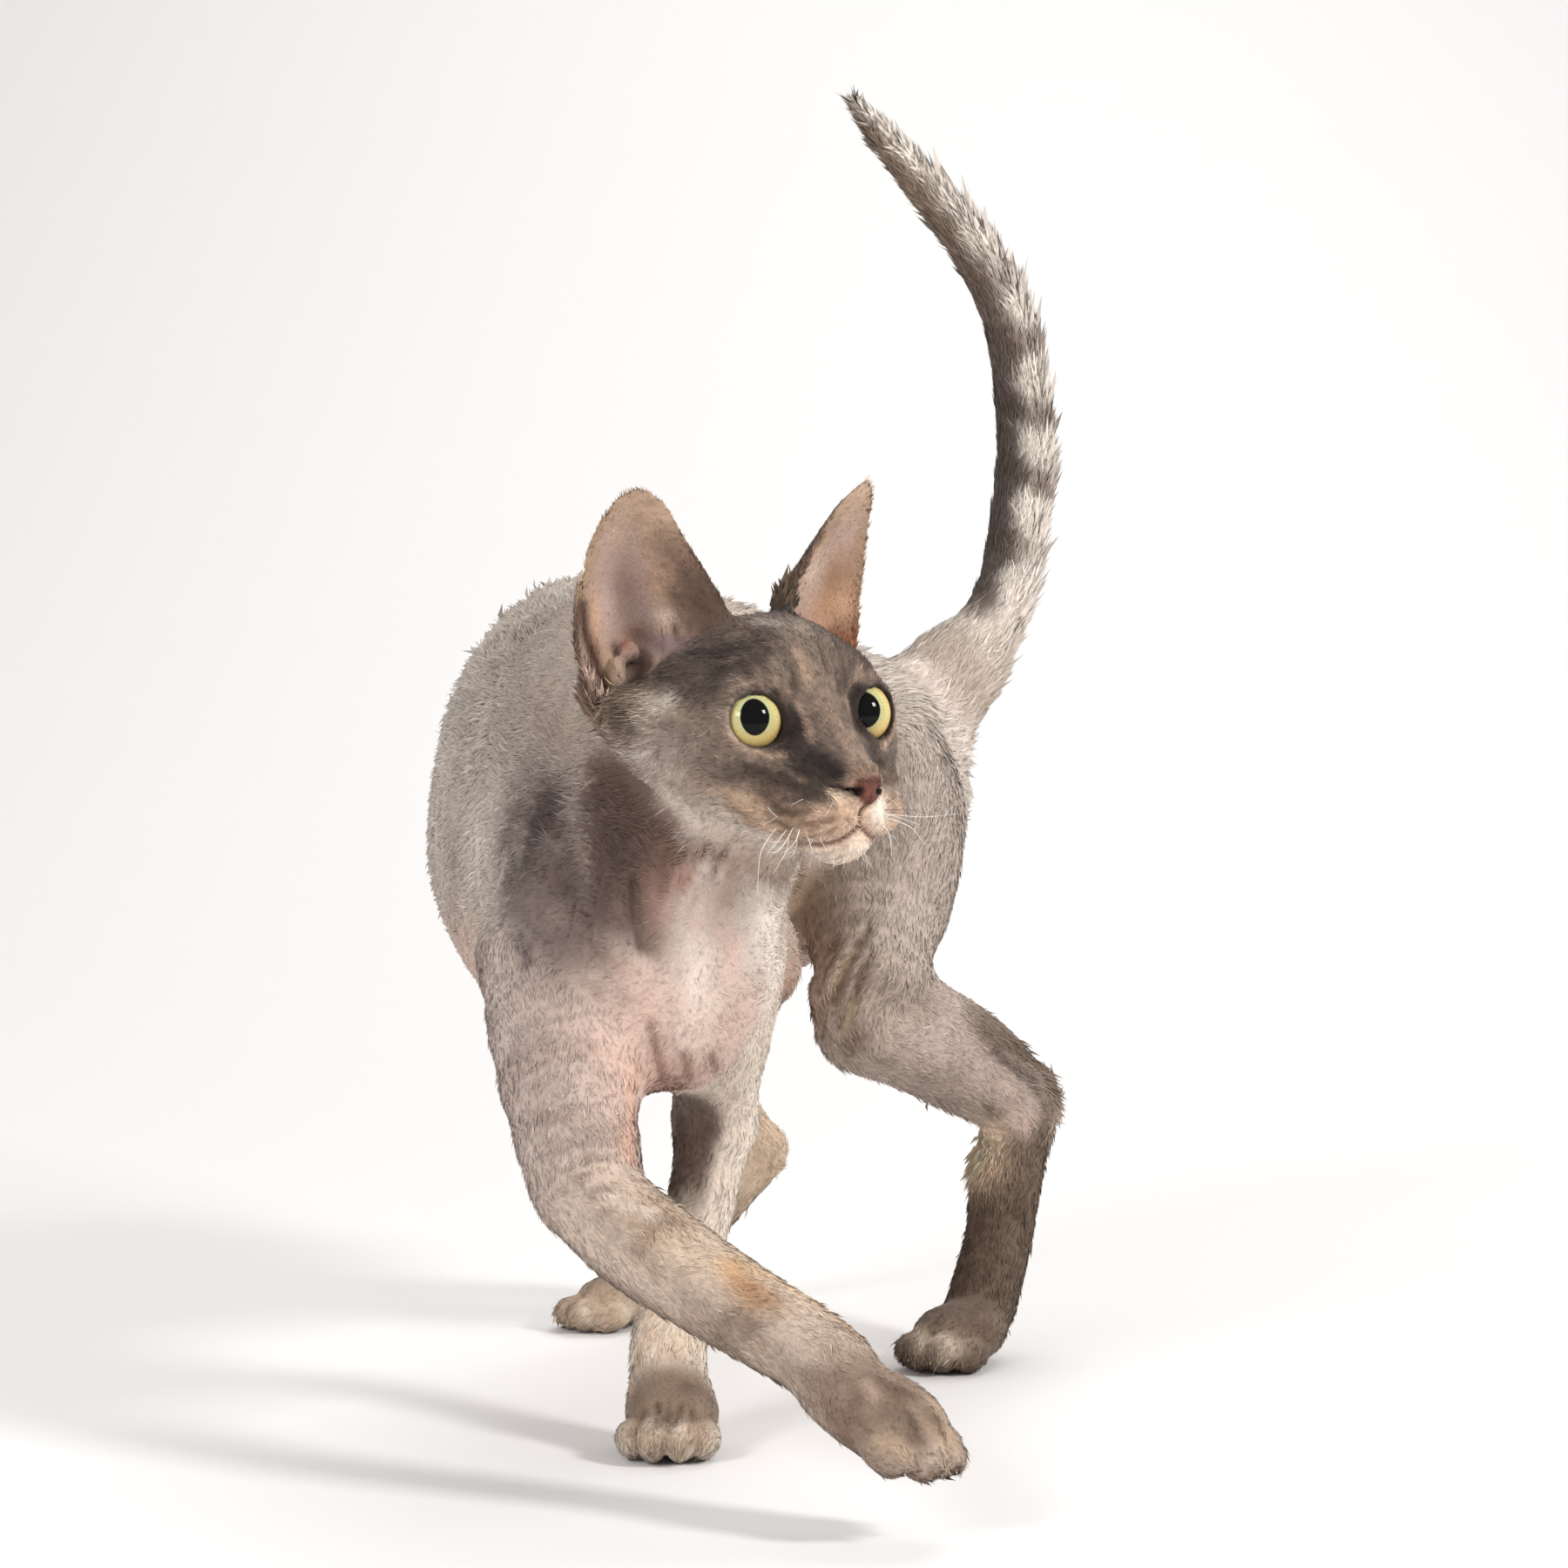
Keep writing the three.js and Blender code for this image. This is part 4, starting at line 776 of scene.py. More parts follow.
# the markings stroke by stroke: colour, half width (mm), strength, on both sides or one, and the run of places in the head's axes
FACE_MARKS = [
    ((60, 48, 44), 3.4, 0.95, 1, [(24.1, -0.4, 22.4), (20.9, 10.7, 21.8), (15.7, 18.2, 22.8)]),
    ((66, 52, 46), 3.6, 0.9, 1, [(33.3, -11.2, 16.1), (31.9, 3.2, 14.0), (29.2, 16.9, 11.2)]),
    ((74, 60, 53), 3.2, 0.8, 1, [(28.8, 1.2, 18.7), (25.8, 14.9, 16.1)]),
    ((80, 64, 57), 2.6, 0.7, 1, [(34.9, 1.3, 10.5), (32.2, 9.9, 8.8), (31.1, 18.0, 8.2)]),
    ((70, 58, 52), 2.4, 0.7, 1, [(11.7, 14.8, 26.9), (14.1, 21.8, 21.0), (14.1, 25.1, 16.4)]),
    ((146, 124, 106), 1.1, 0.7, 1, [(27.3, 21.7, 10.7), (22.1, 23.7, 12.6), (15.9, 25.1, 13.0), (11.0, 26.2, 9.5)]),
    ((88, 72, 65), 2.4, 0.75, 1, [(21.1, 21.0, 17.8), (16.7, 21.8, 19.7)]),
    ((60, 47, 42), 2.0, 0.8, 1, [(26.4, 13.9, 15.3), (24.6, 18.4, 16.5), (21.2, 22.6, 15.8)]),
    ((66, 54, 48), 1.3, 0.9, 1, [(9.2, 24.1, 20.8), (8.7, 26.7, 15.1), (8.4, 27.2, 9.8)]),
    ((164, 137, 116), 1.7, 0.8, 0, [(6.4, 25.3, 20.1), (5.7, 27.2, 15.4), (5.0, 28.2, 11.4)]),
    ((148, 126, 107), 1.2, 0.7, 0, [(2.5, 27.2, 17.3), (3.0, 28.4, 12.5)]),
    ((84, 70, 62), 0.9, 0.8, 0, [(-1.0, 23.6, 23.5), (-1.4, 27.0, 18.1), (-1.8, 28.0, 14.5)]),
    ((72, 60, 54), 1.1, 0.9, 0, [(-3.7, 23.4, 23.4), (-4.8, 26.6, 18.0), (-5.2, 28.0, 11.9), (-6.0, 28.4, 8.1)]),
    ((152, 134, 118), 0.8, 0.6, 0, [(-4.6, 25.3, 20.7), (-4.6, 27.4, 15.4)]),
    ((76, 64, 58), 1.0, 0.85, 0, [(-9.1, 23.4, 21.6), (-9.6, 26.0, 16.8), (-10.2, 26.5, 10.9)]),
    ((166, 144, 124), 2.0, 0.7, 0, [(-14.6, 24.3, 17.7), (-15.1, 25.2, 11.8)]),
    ((152, 140, 130), 2.6, 0.55, 0, [(8.6, 8.3, 30.1), (5.4, 14.3, 29.1), (-0.2, 18.9, 27.4)]),
    ((34, 26, 26), 2.6, 1.0, 1, [(15.1, 26.4, 8.6), (12.1, 26.9, 5.9), (11.9, 29.5, 0.7), (13.8, 31.8, -3.6), (16.1, 32.0, -6.7)]),
    ((52, 43, 41), 4.2, 1.0, 1, [(14.9, 33.5, -7.5), (11.7, 35.8, -9.3), (8.4, 38.3, -12.0), (7.0, 41.5, -14.6)]),
    ((36, 30, 31), 2.6, 1.0, 1, [(10.8, 36.5, -12.4), (7.6, 39.7, -14.0), (6.9, 43.7, -16.4)]),
    ((66, 55, 49), 3.6, 0.95, 1, [(22.9, 31.7, -17.4), (18.8, 34.8, -18.6), (15.0, 38.2, -20.2), (9.6, 40.6, -19.6)]),
    ((80, 67, 58), 3.4, 0.85, 1, [(30.8, 21.1, -12.8), (27.3, 25.1, -13.7), (22.3, 31.1, -15.0)]),
    ((72, 60, 52), 2.4, 0.55, 1, [(34.8, 15.3, -3.4), (35.7, 14.1, -7.8), (33.9, 16.7, -12.5)]),
    ((176, 148, 130), 1.2, 0.85, 1, [(9.1, 27.8, 5.8), (9.0, 30.4, 2.1), (9.8, 34.0, -2.5), (10.1, 35.4, -5.1)]),
    ((196, 166, 146), 0.8, 0.7, 1, [(9.2, 32.2, -0.0), (9.9, 34.5, -3.3)]),
    ((206, 174, 148), 0.8, 0.9, 1, [(23.7, 26.5, -7.9), (20.8, 29.3, -9.6), (17.2, 32.3, -9.1)]),
    ((172, 144, 126), 0.9, 0.75, 1, [(30.7, 23.0, -1.3), (28.6, 24.1, -4.5), (25.8, 25.3, -7.4)]),
    ((56, 46, 40), 3.0, 0.95, 1, [(14.6, 34.9, -12.7), (11.4, 36.8, -15.3), (9.0, 39.2, -16.9)]),
    ((84, 70, 60), 2.6, 0.8, 1, [(24.7, 27.5, -13.0), (24.1, 29.8, -16.0), (23.2, 31.9, -19.2)]),
    ((92, 76, 66), 2.4, 0.6, 1, [(36.0, 11.6, -5.5), (34.5, 16.8, -9.1)]),
    ((84, 66, 51), 2.0, 0.8, 1, [(45.9, -9.0, 4.9), (45.4, -6.4, 1.1)]),
    ((196, 184, 172), 3.2, 0.85, 1, [(40.9, -3.8, 8.3), (38.5, -1.1, 6.9), (36.2, 0.8, 8.0)]),
    ((178, 164, 150), 2.6, 0.7, 1, [(43.0, -3.2, 2.9), (42.2, -1.7, -0.8)]),
    ((152, 136, 116), 3.0, 0.65, 1, [(34.7, 4.8, 4.1), (34.5, 12.3, 1.8)]),
    ((104, 90, 84), 2.0, 0.6, 1, [(36.8, 1.9, 3.2), (36.9, 2.9, -0.5)]),
    ((152, 140, 132), 4.0, 0.55, 1, [(40.0, 0.6, -4.3), (37.0, 4.2, -6.2), (36.3, 9.8, -5.8)]),
    ((118, 102, 88), 2.6, 0.6, 1, [(35.6, 12.0, -3.2), (36.5, 10.5, -9.6)]),
    ((220, 207, 196), 3.4, 0.9, 1, [(37.1, 0.4, -12.4), (36.1, 6.1, -13.2)]),
    ((232, 221, 212), 4.6, 0.98, 1, [(43.3, -4.9, -7.3), (39.5, -7.1, -13.3), (32.7, -8.0, -19.2), (29.7, 0.7, -24.2), (24.0, 8.0, -27.7)]),
    ((210, 195, 182), 3.2, 0.85, 1, [(33.7, -1.9, -17.4), (32.1, 6.7, -20.2), (28.6, 15.0, -22.3)]),
    ((168, 144, 122), 2.6, 0.65, 1, [(34.7, 10.9, -15.8), (30.4, 17.9, -18.6), (26.9, 26.1, -20.8)]),
    ((184, 154, 130), 3.0, 0.75, 1, [(27.2, 21.8, -23.2), (24.4, 28.8, -24.6), (20.8, 34.5, -26.4)]),
    ((186, 152, 128), 2.6, 0.7, 1, [(22.8, 19.9, -28.1), (19.9, 26.4, -30.1)]),
    ((74, 58, 49), 2.1, 0.95, 1, [(20.7, 34.7, -22.4), (15.4, 40.4, -23.0), (9.4, 43.1, -22.7)]),
    ((98, 76, 62), 1.9, 0.85, 1, [(23.9, 31.3, -21.1), (21.6, 33.6, -24.0), (20.2, 35.8, -26.5)]),
    ((186, 155, 130), 1.4, 0.75, 1, [(20.0, 35.8, -27.6), (15.6, 42.5, -26.7), (7.6, 44.6, -26.3), (0.6, 43.2, -27.5)]),
    ((230, 202, 174), 2.2, 0.9, 1, [(8.2, 42.8, -21.3), (5.9, 44.9, -22.8), (2.7, 45.2, -25.1)]),
    ((104, 72, 56), 1.2, 0.8, 1, [(15.5, 42.2, -29.3), (10.9, 44.6, -28.7), (4.9, 43.8, -28.7)]),
    ((204, 174, 150), 1.8, 0.8, 1, [(16.2, 38.6, -31.9), (11.5, 43.1, -31.2), (3.5, 43.1, -30.1)]),
    ((158, 116, 98), 1.0, 0.7, 1, [(10.5, 34.7, -35.8), (6.9, 40.7, -34.0), (0.5, 42.3, -32.0)]),
    ((226, 206, 188), 2.4, 0.9, 1, [(7.5, 32.6, -38.7), (4.8, 37.4, -39.0), (0.2, 41.6, -35.8)]),
    ((202, 176, 154), 2.0, 0.8, 1, [(8.1, 23.1, -36.4), (7.2, 28.1, -38.4)]),
    ((206, 178, 154), 0.8, 0.7, 1, [(20.0, 35.8, -23.8), (16.9, 40.3, -24.7), (12.8, 43.2, -24.4)]),
    ((82, 60, 48), 1.2, 1.0, 1, [(21.1, 34.0, -26.0), (18.9, 38.3, -26.2), (15.8, 41.9, -25.6)]),
    ((96, 72, 58), 1.2, 0.95, 1, [(19.5, 34.7, -29.6), (16.5, 41.3, -28.9), (10.9, 44.7, -27.8)]),
    ((224, 196, 170), 0.7, 0.6, 1, [(18.3, 37.2, -30.2), (14.3, 42.9, -29.7), (7.6, 44.4, -28.9)]),
    ((108, 80, 64), 1.1, 0.9, 1, [(15.5, 33.1, -33.4), (14.0, 39.9, -32.6), (10.2, 43.5, -31.1)]),
    ((54, 42, 37), 2.2, 0.95, 1, [(13.7, 35.4, -13.8), (11.3, 37.1, -16.1), (9.5, 39.1, -17.4)]),
    ((60, 48, 42), 2.0, 0.9, 1, [(19.5, 33.7, -16.5), (17.1, 35.5, -18.1), (14.0, 38.3, -19.8)]),
    ((62, 50, 44), 2.0, 0.85, 1, [(17.7, 37.1, -21.4), (14.9, 39.7, -21.8), (10.1, 42.1, -21.6)]),
    ((66, 54, 47), 1.8, 0.8, 1, [(26.1, 25.8, -12.2), (23.6, 29.3, -14.1), (21.0, 32.4, -15.6)]),
    ((54, 42, 38), 1.5, 0.9, 1, [(24.9, 15.3, 17.3), (22.5, 19.3, 17.9), (18.8, 22.0, 18.4)]),
    ((62, 49, 44), 1.6, 0.85, 1, [(18.8, 22.0, 18.4), (15.7, 23.4, 18.5), (14.1, 25.2, 15.9)]),
    ((84, 66, 52), 2.4, 0.75, 1, [(45.5, -9.5, 6.9), (45.6, -7.1, 1.7), (44.0, -3.9, -0.5)]),
    ((86, 66, 54), 1.2, 0.95, 1, [(23.3, 31.7, -22.7), (21.1, 34.3, -24.1), (18.6, 38.0, -24.5)]),
    ((92, 70, 57), 1.2, 0.9, 1, [(23.3, 29.4, -26.0), (21.0, 32.5, -28.0), (19.2, 34.2, -30.2)]),
    ((150, 122, 102), 1.6, 0.6, 0, [(-1.4, 42.8, -30.1), (-3.8, 42.1, -32.3)]),
    ((176, 148, 122), 2.4, 0.8, 0, [(38.2, -27.5, 13.3), (45.0, -15.5, 6.8)]),
    ((52, 38, 34), 2.4, 0.8, 0, [(24.9, 14.6, 17.3), (23.7, 19.9, 16.4)]),
    ((150, 130, 113), 1.8, 0.6, 0, [(14.0, 24.5, 17.9), (13.8, 25.5, 13.1)]),
    ((124, 104, 90), 1.8, 0.6, 0, [(12.5, 25.9, 9.1), (12.4, 27.0, 5.9)]),
    ((134, 106, 87), 2.8, 0.7, 1, [(27.9, 16.7, -22.9), (26.2, 20.4, -24.8), (24.4, 23.7, -26.8)]),
    ((110, 92, 78), 2.4, 0.7, 0, [(45.8, -8.1, -1.4), (43.7, -3.9, -4.0)]),
    ((206, 192, 180), 2.8, 0.9, 1, [(38.2, -6.5, -14.1), (33.7, -5.2, -17.4)]),
    ((208, 188, 174), 2.6, 0.8, 0, [(32.5, 2.0, -19.8), (29.7, 5.8, -23.0)]),
    ((114, 92, 74), 2.4, 0.75, 0, [(41.1, -7.6, 11.6), (41.8, -4.5, 8.2)]),
    ((66, 50, 38), 2.6, 0.75, 0, [(45.9, -9.8, 5.4), (45.7, -7.1, 0.7)]),
    ((240, 228, 216), 2.2, 0.85, 0, [(-1.8, 48.8, -20.2), (-5.9, 44.7, -24.6), (-5.9, 44.1, -28.8)]),
    ((150, 130, 113), 2.0, 0.6, 0, [(-3.7, 12.6, 29.9), (-1.0, 20.6, 26.2)]),
    ((90, 73, 62), 1.6, 0.6, 1, [(23.0, 31.2, -24.6), (20.2, 35.9, -25.3), (16.1, 41.1, -24.6), (11.8, 43.3, -23.9)]),
    ((236, 216, 198), 2.0, 0.8, 0, [(-7.5, 44.6, -26.2), (-7.1, 42.9, -31.5)]),
    ((94, 76, 62), 2.4, 0.65, 0, [(36.2, 9.8, -5.4), (35.2, 15.3, -6.9)]),
]
# the same for the body, in the axes of the sizes above
BODY_MARKS = [
    ((60, 48, 46), 5.0, 0.85, [(-68, -17, 205), (-69, -18, 199), (-73, -15, 195)]),
    ((62, 52, 50), 4.2, 0.85, [(-74, -14, 194), (-76, -12, 188), (-77, -12, 184)]),
    ((78, 66, 62), 5.0, 0.7, [(-82, -6, 181), (-83, -6, 177)]),
    ((86, 74, 70), 4.5, 0.6, [(-80, -3, 200), (-84, 2, 191)]),
    ((84, 68, 62), 8.0, 0.85, [(-53, -34, 202), (-50, -38, 196), (-48, -42, 187)]),
    ((74, 58, 52), 5.5, 0.8, [(-54, -36, 182), (-52, -39, 178), (-55, -36, 172)]),
    ((72, 56, 52), 4.0, 0.8, [(-67, -22, 176), (-62, -26, 173)]),
    ((72, 58, 54), 5.0, 0.8, [(-47, -42, 193), (-44, -45, 187)]),
    ((100, 82, 76), 6.0, 0.7, [(-63, -27, 166), (-55, -36, 164), (-48, -43, 167)]),
    ((122, 102, 94), 4.0, 0.6, [(-70, -24, 161), (-63, -29, 158)]),
    ((88, 76, 74), 2.8, 0.75, [(-80, -18, 161), (-78, -22, 157), (-78, -24, 154)]),
    ((112, 100, 96), 4.5, 0.55, [(-84, -11, 169), (-80, -17, 164)]),
    ((150, 138, 132), 2.2, 0.8, [(-61, -25, 202), (-63, -24, 198), (-61, -26, 191)]),
    ((142, 128, 122), 2.2, 0.7, [(-71, -18, 190), (-67, -21, 188)]),
    ((128, 114, 108), 2.4, 0.6, [(-66, -22, 182), (-62, -26, 184)]),
    ((136, 122, 116), 2.0, 0.6, [(-74, -18, 172), (-69, -22, 169)]),
    ((112, 84, 74), 2.4, 0.75, [(-59, -34, 148), (-55, -37, 146)]),
    ((120, 94, 84), 2.2, 0.6, [(-49, -39, 147), (-47, -40, 144)]),
    ((160, 130, 114), 5.0, 0.6, [(-55, -36, 158), (-49, -41, 155)]),
    ((150, 122, 108), 3.0, 0.5, [(-62, -31, 154), (-58, -34, 152)]),
    ((218, 188, 174), 6.0, 0.7, [(-42, -43, 151), (-39, -42, 145), (-41, -40, 140)]),
    ((224, 208, 196), 4.6, 0.85, [(-26, -45, 161), (-26, -44, 154), (-27, -43, 148)]),
    ((222, 204, 192), 6.0, 0.8, [(-25, -40, 143), (-29, -38, 135), (-28, -36, 131)]),
    ((206, 176, 164), 4.2, 0.75, [(-19, -44, 168), (-16, -40, 159), (-17, -40, 153)]),
    ((226, 214, 204), 8.5, 0.9, [(-7, -37, 173), (-6, -31, 166), (-5, -25, 158), (-5, -15, 149)]),
    ((162, 128, 116), 4.6, 0.8, [(-38, -48, 180), (-37, -47, 173), (-38, -46, 164)]),
    ((158, 121, 108), 4.0, 0.8, [(-33, -49, 187), (-30, -49, 181)]),
    # the throat's folds: painted shade along each crease, then painted light on the ridges beside them
    ((104, 74, 66), 1.0, 0.8, [(-15.5, -52.3, 192.2), (-18.7, -49.6, 187.0), (-21.5, -48.1, 180.6)]),
    ((128, 88, 78), 0.9, 0.7, [(-22.2, -51.0, 191.1), (-26.0, -49.4, 184.1), (-29.9, -48.3, 176.7)]),
    ((110, 82, 74), 1.3, 0.6, [(-33.4, -49.3, 192.3), (-35.5, -48.5, 187.0), (-36.3, -48.1, 183.1)]),
    ((100, 78, 70), 0.9, 0.55, [(-33.9, -48.6, 182.5), (-35.8, -48.0, 179.1), (-36.9, -47.5, 175.4)]),
    ((208, 176, 160), 1.5, 0.6, [(-25.5, -48.7, 180.6), (-27.3, -47.9, 175.4), (-29.6, -47.3, 170.1)]),
    ((214, 184, 168), 2.6, 0.6, [(-23, -47, 175), (-26, -47, 169), (-27, -46, 164)]),
    # painted shadow of the jaw on the neck, laid along the jaw's lower edge over the neck's own dark hair
    ((92, 74, 66), 5.0, 0.9, [(-56, -28, 214), (-50, -35, 208), (-44, -43, 200)]),
    ((96, 78, 69), 4.0, 0.85, [(-40, -46, 197), (-34, -49, 192), (-30, -50, 188)]),
    ((130, 104, 93), 3.0, 0.8, [(-28, -50, 192), (-23, -51, 190), (-17, -50, 187)]),
    ((88, 70, 62), 5.0, 0.75, [(-48, -36, 209), (-44, -43, 196), (-43, -45, 183)]),
    ((104, 84, 75), 4.0, 0.7, [(-43, -46, 175), (-42, -46, 167), (-40, -46, 161)]),
    ((88, 72, 66), 7.0, 0.75, [(-69, -20, 182), (-63, -25, 174), (-55, -36, 170)]),
    ((100, 86, 80), 7.0, 0.75, [(-81, -12, 173), (-77, -19, 165), (-69, -25, 160)]),
    ((108, 92, 86), 6.0, 0.6, [(-66, -27, 157), (-55, -37, 158)]),
    ((84, 68, 62), 5.0, 0.7, [(-65, -22, 195), (-64, -24, 186), (-61, -27, 178)]),
    # the rump's pale hair, laid paler still as painted light where the flank's edge turns from the lamps
    ((230, 214, 204), 8.0, 0.8, [(46, 241, 241), (54, 232, 227), (61, 235, 213), (63, 203, 196), (64, 207, 187)]),
    ((196, 176, 160), 6.0, 0.8, [(96, 202, 80), (96.1, 202, 80)]),
    # painted light: a paler patch high on the right side of the back, which faces away from the lamps
    ((212, 198, 186), 12.0, 0.5, [(-90, 87, 255), (-80, 78, 261), (-71, 87, 266)]),
    ((172, 156, 142), 7.0, 0.7, [(45, 252, 245), (54, 247, 244), (62, 247, 243)]),
    ((206, 190, 178), 4.2, 0.95, [(-39, -53, 211), (-35, -51, 208), (-30, -53, 204), (-25, -54, 199)]),
    ((196, 176, 162), 3.0, 0.8, [(-21, -54, 197), (-15, -54, 194)]),
    # the throat's folds once more: painted shade in the creases and in the deep slit at the side, painted light on the
    # ridges
    ((96, 70, 60), 1.3, 0.9, [(-33.9, -49.1, 190.1), (-40.4, -46.7, 182.2), (-43.7, -45.3, 175.5), (-43.3, -44.7, 161.3)]),
    ((128, 94, 82), 1.1, 0.85, [(-22.8, -51.0, 191.1), (-29.7, -49.2, 183.4), (-33.3, -48.0, 175.4)]),
    ((134, 100, 88), 1.1, 0.8, [(-19.2, -50.7, 189.9), (-24.4, -48.8, 181.4), (-28.7, -47.2, 170.0)]),
    ((140, 108, 95), 1.1, 0.7, [(-17.7, -49.1, 185.9), (-22.9, -47.1, 175.1)]),
    ((200, 164, 150), 1.3, 0.7, [(-26.0, -50.4, 189.7), (-31.8, -48.7, 180.5), (-35.1, -47.3, 170.1)]),
    ((204, 170, 156), 1.3, 0.7, [(-20.9, -50.7, 189.7), (-26.6, -48.7, 180.4), (-30.0, -47.5, 171.2)]),
    ((58, 44, 40), 1.5, 0.95, [(-45.6, -44.2, 179.7), (-45.6, -44.4, 172.6), (-44.6, -44.6, 166.4), (-43.1, -44.7, 160.8)]),
    ((104, 80, 70), 3.2, 0.65, [(-33, -49, 195), (-36, -49, 187), (-37, -48, 179)]),
    ((160, 134, 120), 5.0, 0.7, [(-16, -48, 183), (-18, -46, 175)]),
    ((150, 124, 106), 5.0, 0.75, [(-11, -53, 192), (-5, -44, 186), (-1, -32, 180)]),
    ((150, 136, 128), 3.2, 0.5, [(-98, 40, 205), (-101, 46, 192), (-103, 51, 182)]),
    ((156, 142, 134), 3.0, 0.4, [(-93, 26, 179), (-96, 39, 164)]),
    ((216, 172, 152), 4.0, 0.85, [(-47, -40, 121), (-46, -45, 112), (-47, -56, 105), (-47, -62, 100)]),
    ((214, 184, 170), 4.5, 0.6, [(-53, -41, 130), (-49, -45, 120), (-50, -56, 111)]),
    ((148, 132, 126), 2.4, 0.55, [(-78, -41, 128), (-68, -45, 131)]),
    ((142, 126, 120), 2.4, 0.55, [(-61, -47, 127), (-67, -50, 124)]),
    ((146, 130, 124), 2.6, 0.5, [(-73, -50, 120), (-65, -54, 119)]),
    ((120, 106, 100), 1.4, 0.75, [(-54.6, -63.1, 106.7), (-59.4, -65.0, 106.0), (-64.6, -65.9, 103.7)]),
    ((102, 88, 82), 1.4, 0.85, [(-58.0, -69.1, 99.2), (-54.0, -68.6, 98.7), (-51.0, -66.7, 99.2)]),
    ((132, 116, 108), 2.0, 0.6, [(-63, -70, 96), (-60, -73, 93)]),
    ((116, 100, 92), 1.6, 0.75, [(-56.2, -77.0, 89.9), (-52.2, -77.4, 91.0), (-48.9, -78.4, 90.6)]),
    ((142, 124, 114), 2.6, 0.55, [(-54, -82, 85), (-49, -85, 84), (-47, -87, 81)]),
    ((120, 102, 92), 1.7, 0.75, [(-39.0, -88.4, 82.4), (-35.4, -87.1, 83.4), (-31.3, -87.3, 82.5)]),
    ((128, 110, 100), 2.0, 0.65, [(-39, -90, 80), (-42, -91, 78), (-45, -90, 74)]),
    ((216, 198, 186), 2.6, 0.75, [(-49, -80, 89), (-44, -83, 87), (-39, -85, 85)]),
    ((214, 188, 174), 3.0, 0.6, [(-51, -71, 96), (-45, -74, 93)]),
    ((224, 190, 152), 3.0, 0.75, [(-15, -97, 73), (-5, -98, 69), (7, -104, 62), (15, -109, 58)]),
    ((204, 162, 120), 4.0, 0.7, [(-17, -100, 72), (-13, -104, 68), (-9, -108, 64)]),
    ((140, 120, 104), 6.0, 0.6, [(-25, -102, 59), (-17, -107, 57), (-10, -111, 56)]),
    ((120, 102, 90), 3.6, 0.65, [(-15, -108, 59), (-10, -111, 57)]),
    ((156, 130, 106), 4.0, 0.6, [(-9, -108, 64), (-2, -111, 61)]),
    ((130, 110, 98), 5.0, 0.6, [(0, -116, 45), (8, -125, 44), (15, -129, 45)]),
    ((176, 138, 104), 2.8, 0.8, [(20, -113, 55), (20.1, -113, 55)]),
    ((160, 138, 120), 4.0, 0.5, [(10, -119, 55), (15, -124, 51)]),
    ((92, 74, 64), 1.6, 0.85, [(26.7, -132.8, 44.5), (31.6, -135.2, 42.6), (36.5, -136.8, 40.3)]),
    ((108, 90, 78), 2.6, 0.7, [(28, -142, 37), (33, -143, 35), (35, -145, 30)]),
    ((120, 100, 88), 2.0, 0.6, [(20, -140, 36), (24, -142, 33)]),
    ((176, 152, 136), 2.6, 0.7, [(23, -134, 44), (25, -138, 41)]),
    ((190, 165, 142), 3.2, 0.65, [(41, -135, 38), (46, -136, 32), (44, -143, 28)]),
    ((180, 154, 130), 2.6, 0.6, [(26, -146, 30), (34, -148, 27)]),
    ((156, 118, 88), 4.0, 0.7, [(-13, -105, 67), (-6, -108, 64)]),
    ((116, 96, 82), 4.0, 0.6, [(-19, -104, 53), (-15, -106, 50)]),
    # the left foreleg's inner side: its own brown, deepened as painted shade on the side turned from the light
    ((86, 68, 60), 3.6, 0.9, [(-32, 32, 100), (-33, 35, 88), (-35, 30, 77)]),
    ((220, 202, 186), 5.0, 0.7, [(-57, 222, 7), (-56.9, 222, 7)]),
    ((206, 178, 152), 4.0, 0.6, [(-42, 2, 36), (-38, -3, 32), (-32, -2, 32)]),
    ((178, 148, 122), 3.0, 0.6, [(-45, 0, 29), (-47, -1, 20)]),
    ((146, 118, 94), 1.3, 0.6, [(-45.1, -0.8, 26.6), (-40.0, -7.3, 25.2), (-29.1, -8.3, 22.5)]),
    ((140, 118, 100), 3.5, 0.5, [(-44, -16, 14), (-35, -19, 17), (-27, -15, 17)]),
    ((166, 142, 120), 5.0, 0.85, [(-46, -25, 10), (-41, -31, 8), (-36, -30, 7), (-30, -31, 8), (-26, -26, 10)]),
    ((156, 134, 114), 1.3, 0.7, [(-37.2, -27.3, 11.4), (-37.7, -30.3, 7.8)]),
    ((160, 138, 118), 1.2, 0.8, [(-32.2, -27.3, 12.9), (-32.9, -31.7, 6.3)]),
    ((150, 128, 108), 1.6, 0.6, [(-28.5, -27.1, 11.3), (-27.7, -28.5, 7.0)]),
    ((140, 118, 98), 1.8, 0.55, [(-45.2, -22.5, 11.2), (-45.6, -26.2, 7.5)]),
    # painted shade in the gaps between the toes
    ((58, 44, 36), 0.9, 0.85, [(-38.5, -17.9, 17.3), (-39.3, -28.5, 11.7), (-39.7, -31.2, 6.7)]),
    ((62, 48, 40), 0.9, 0.75, [(-31.0, -17.6, 17.2), (-33.6, -28.7, 11.8), (-35.0, -30.2, 6.0)]),
    ((186, 163, 140), 7.0, 0.7, [(-73, 222, 12), (-68, 218, 10), (-62, 220, 11)]),
    ((208, 192, 174), 2.2, 0.8, [(-73, 217, 10), (-70, 216, 5), (-67, 217, 2)]),
    ((204, 188, 170), 2.2, 0.8, [(-59, 220, 9), (-57, 223, 5)]),
    ((172, 148, 126), 2.6, 0.6, [(-67, 227, 16), (-66, 223, 13)]),
    # painted shade in the gaps between the toes
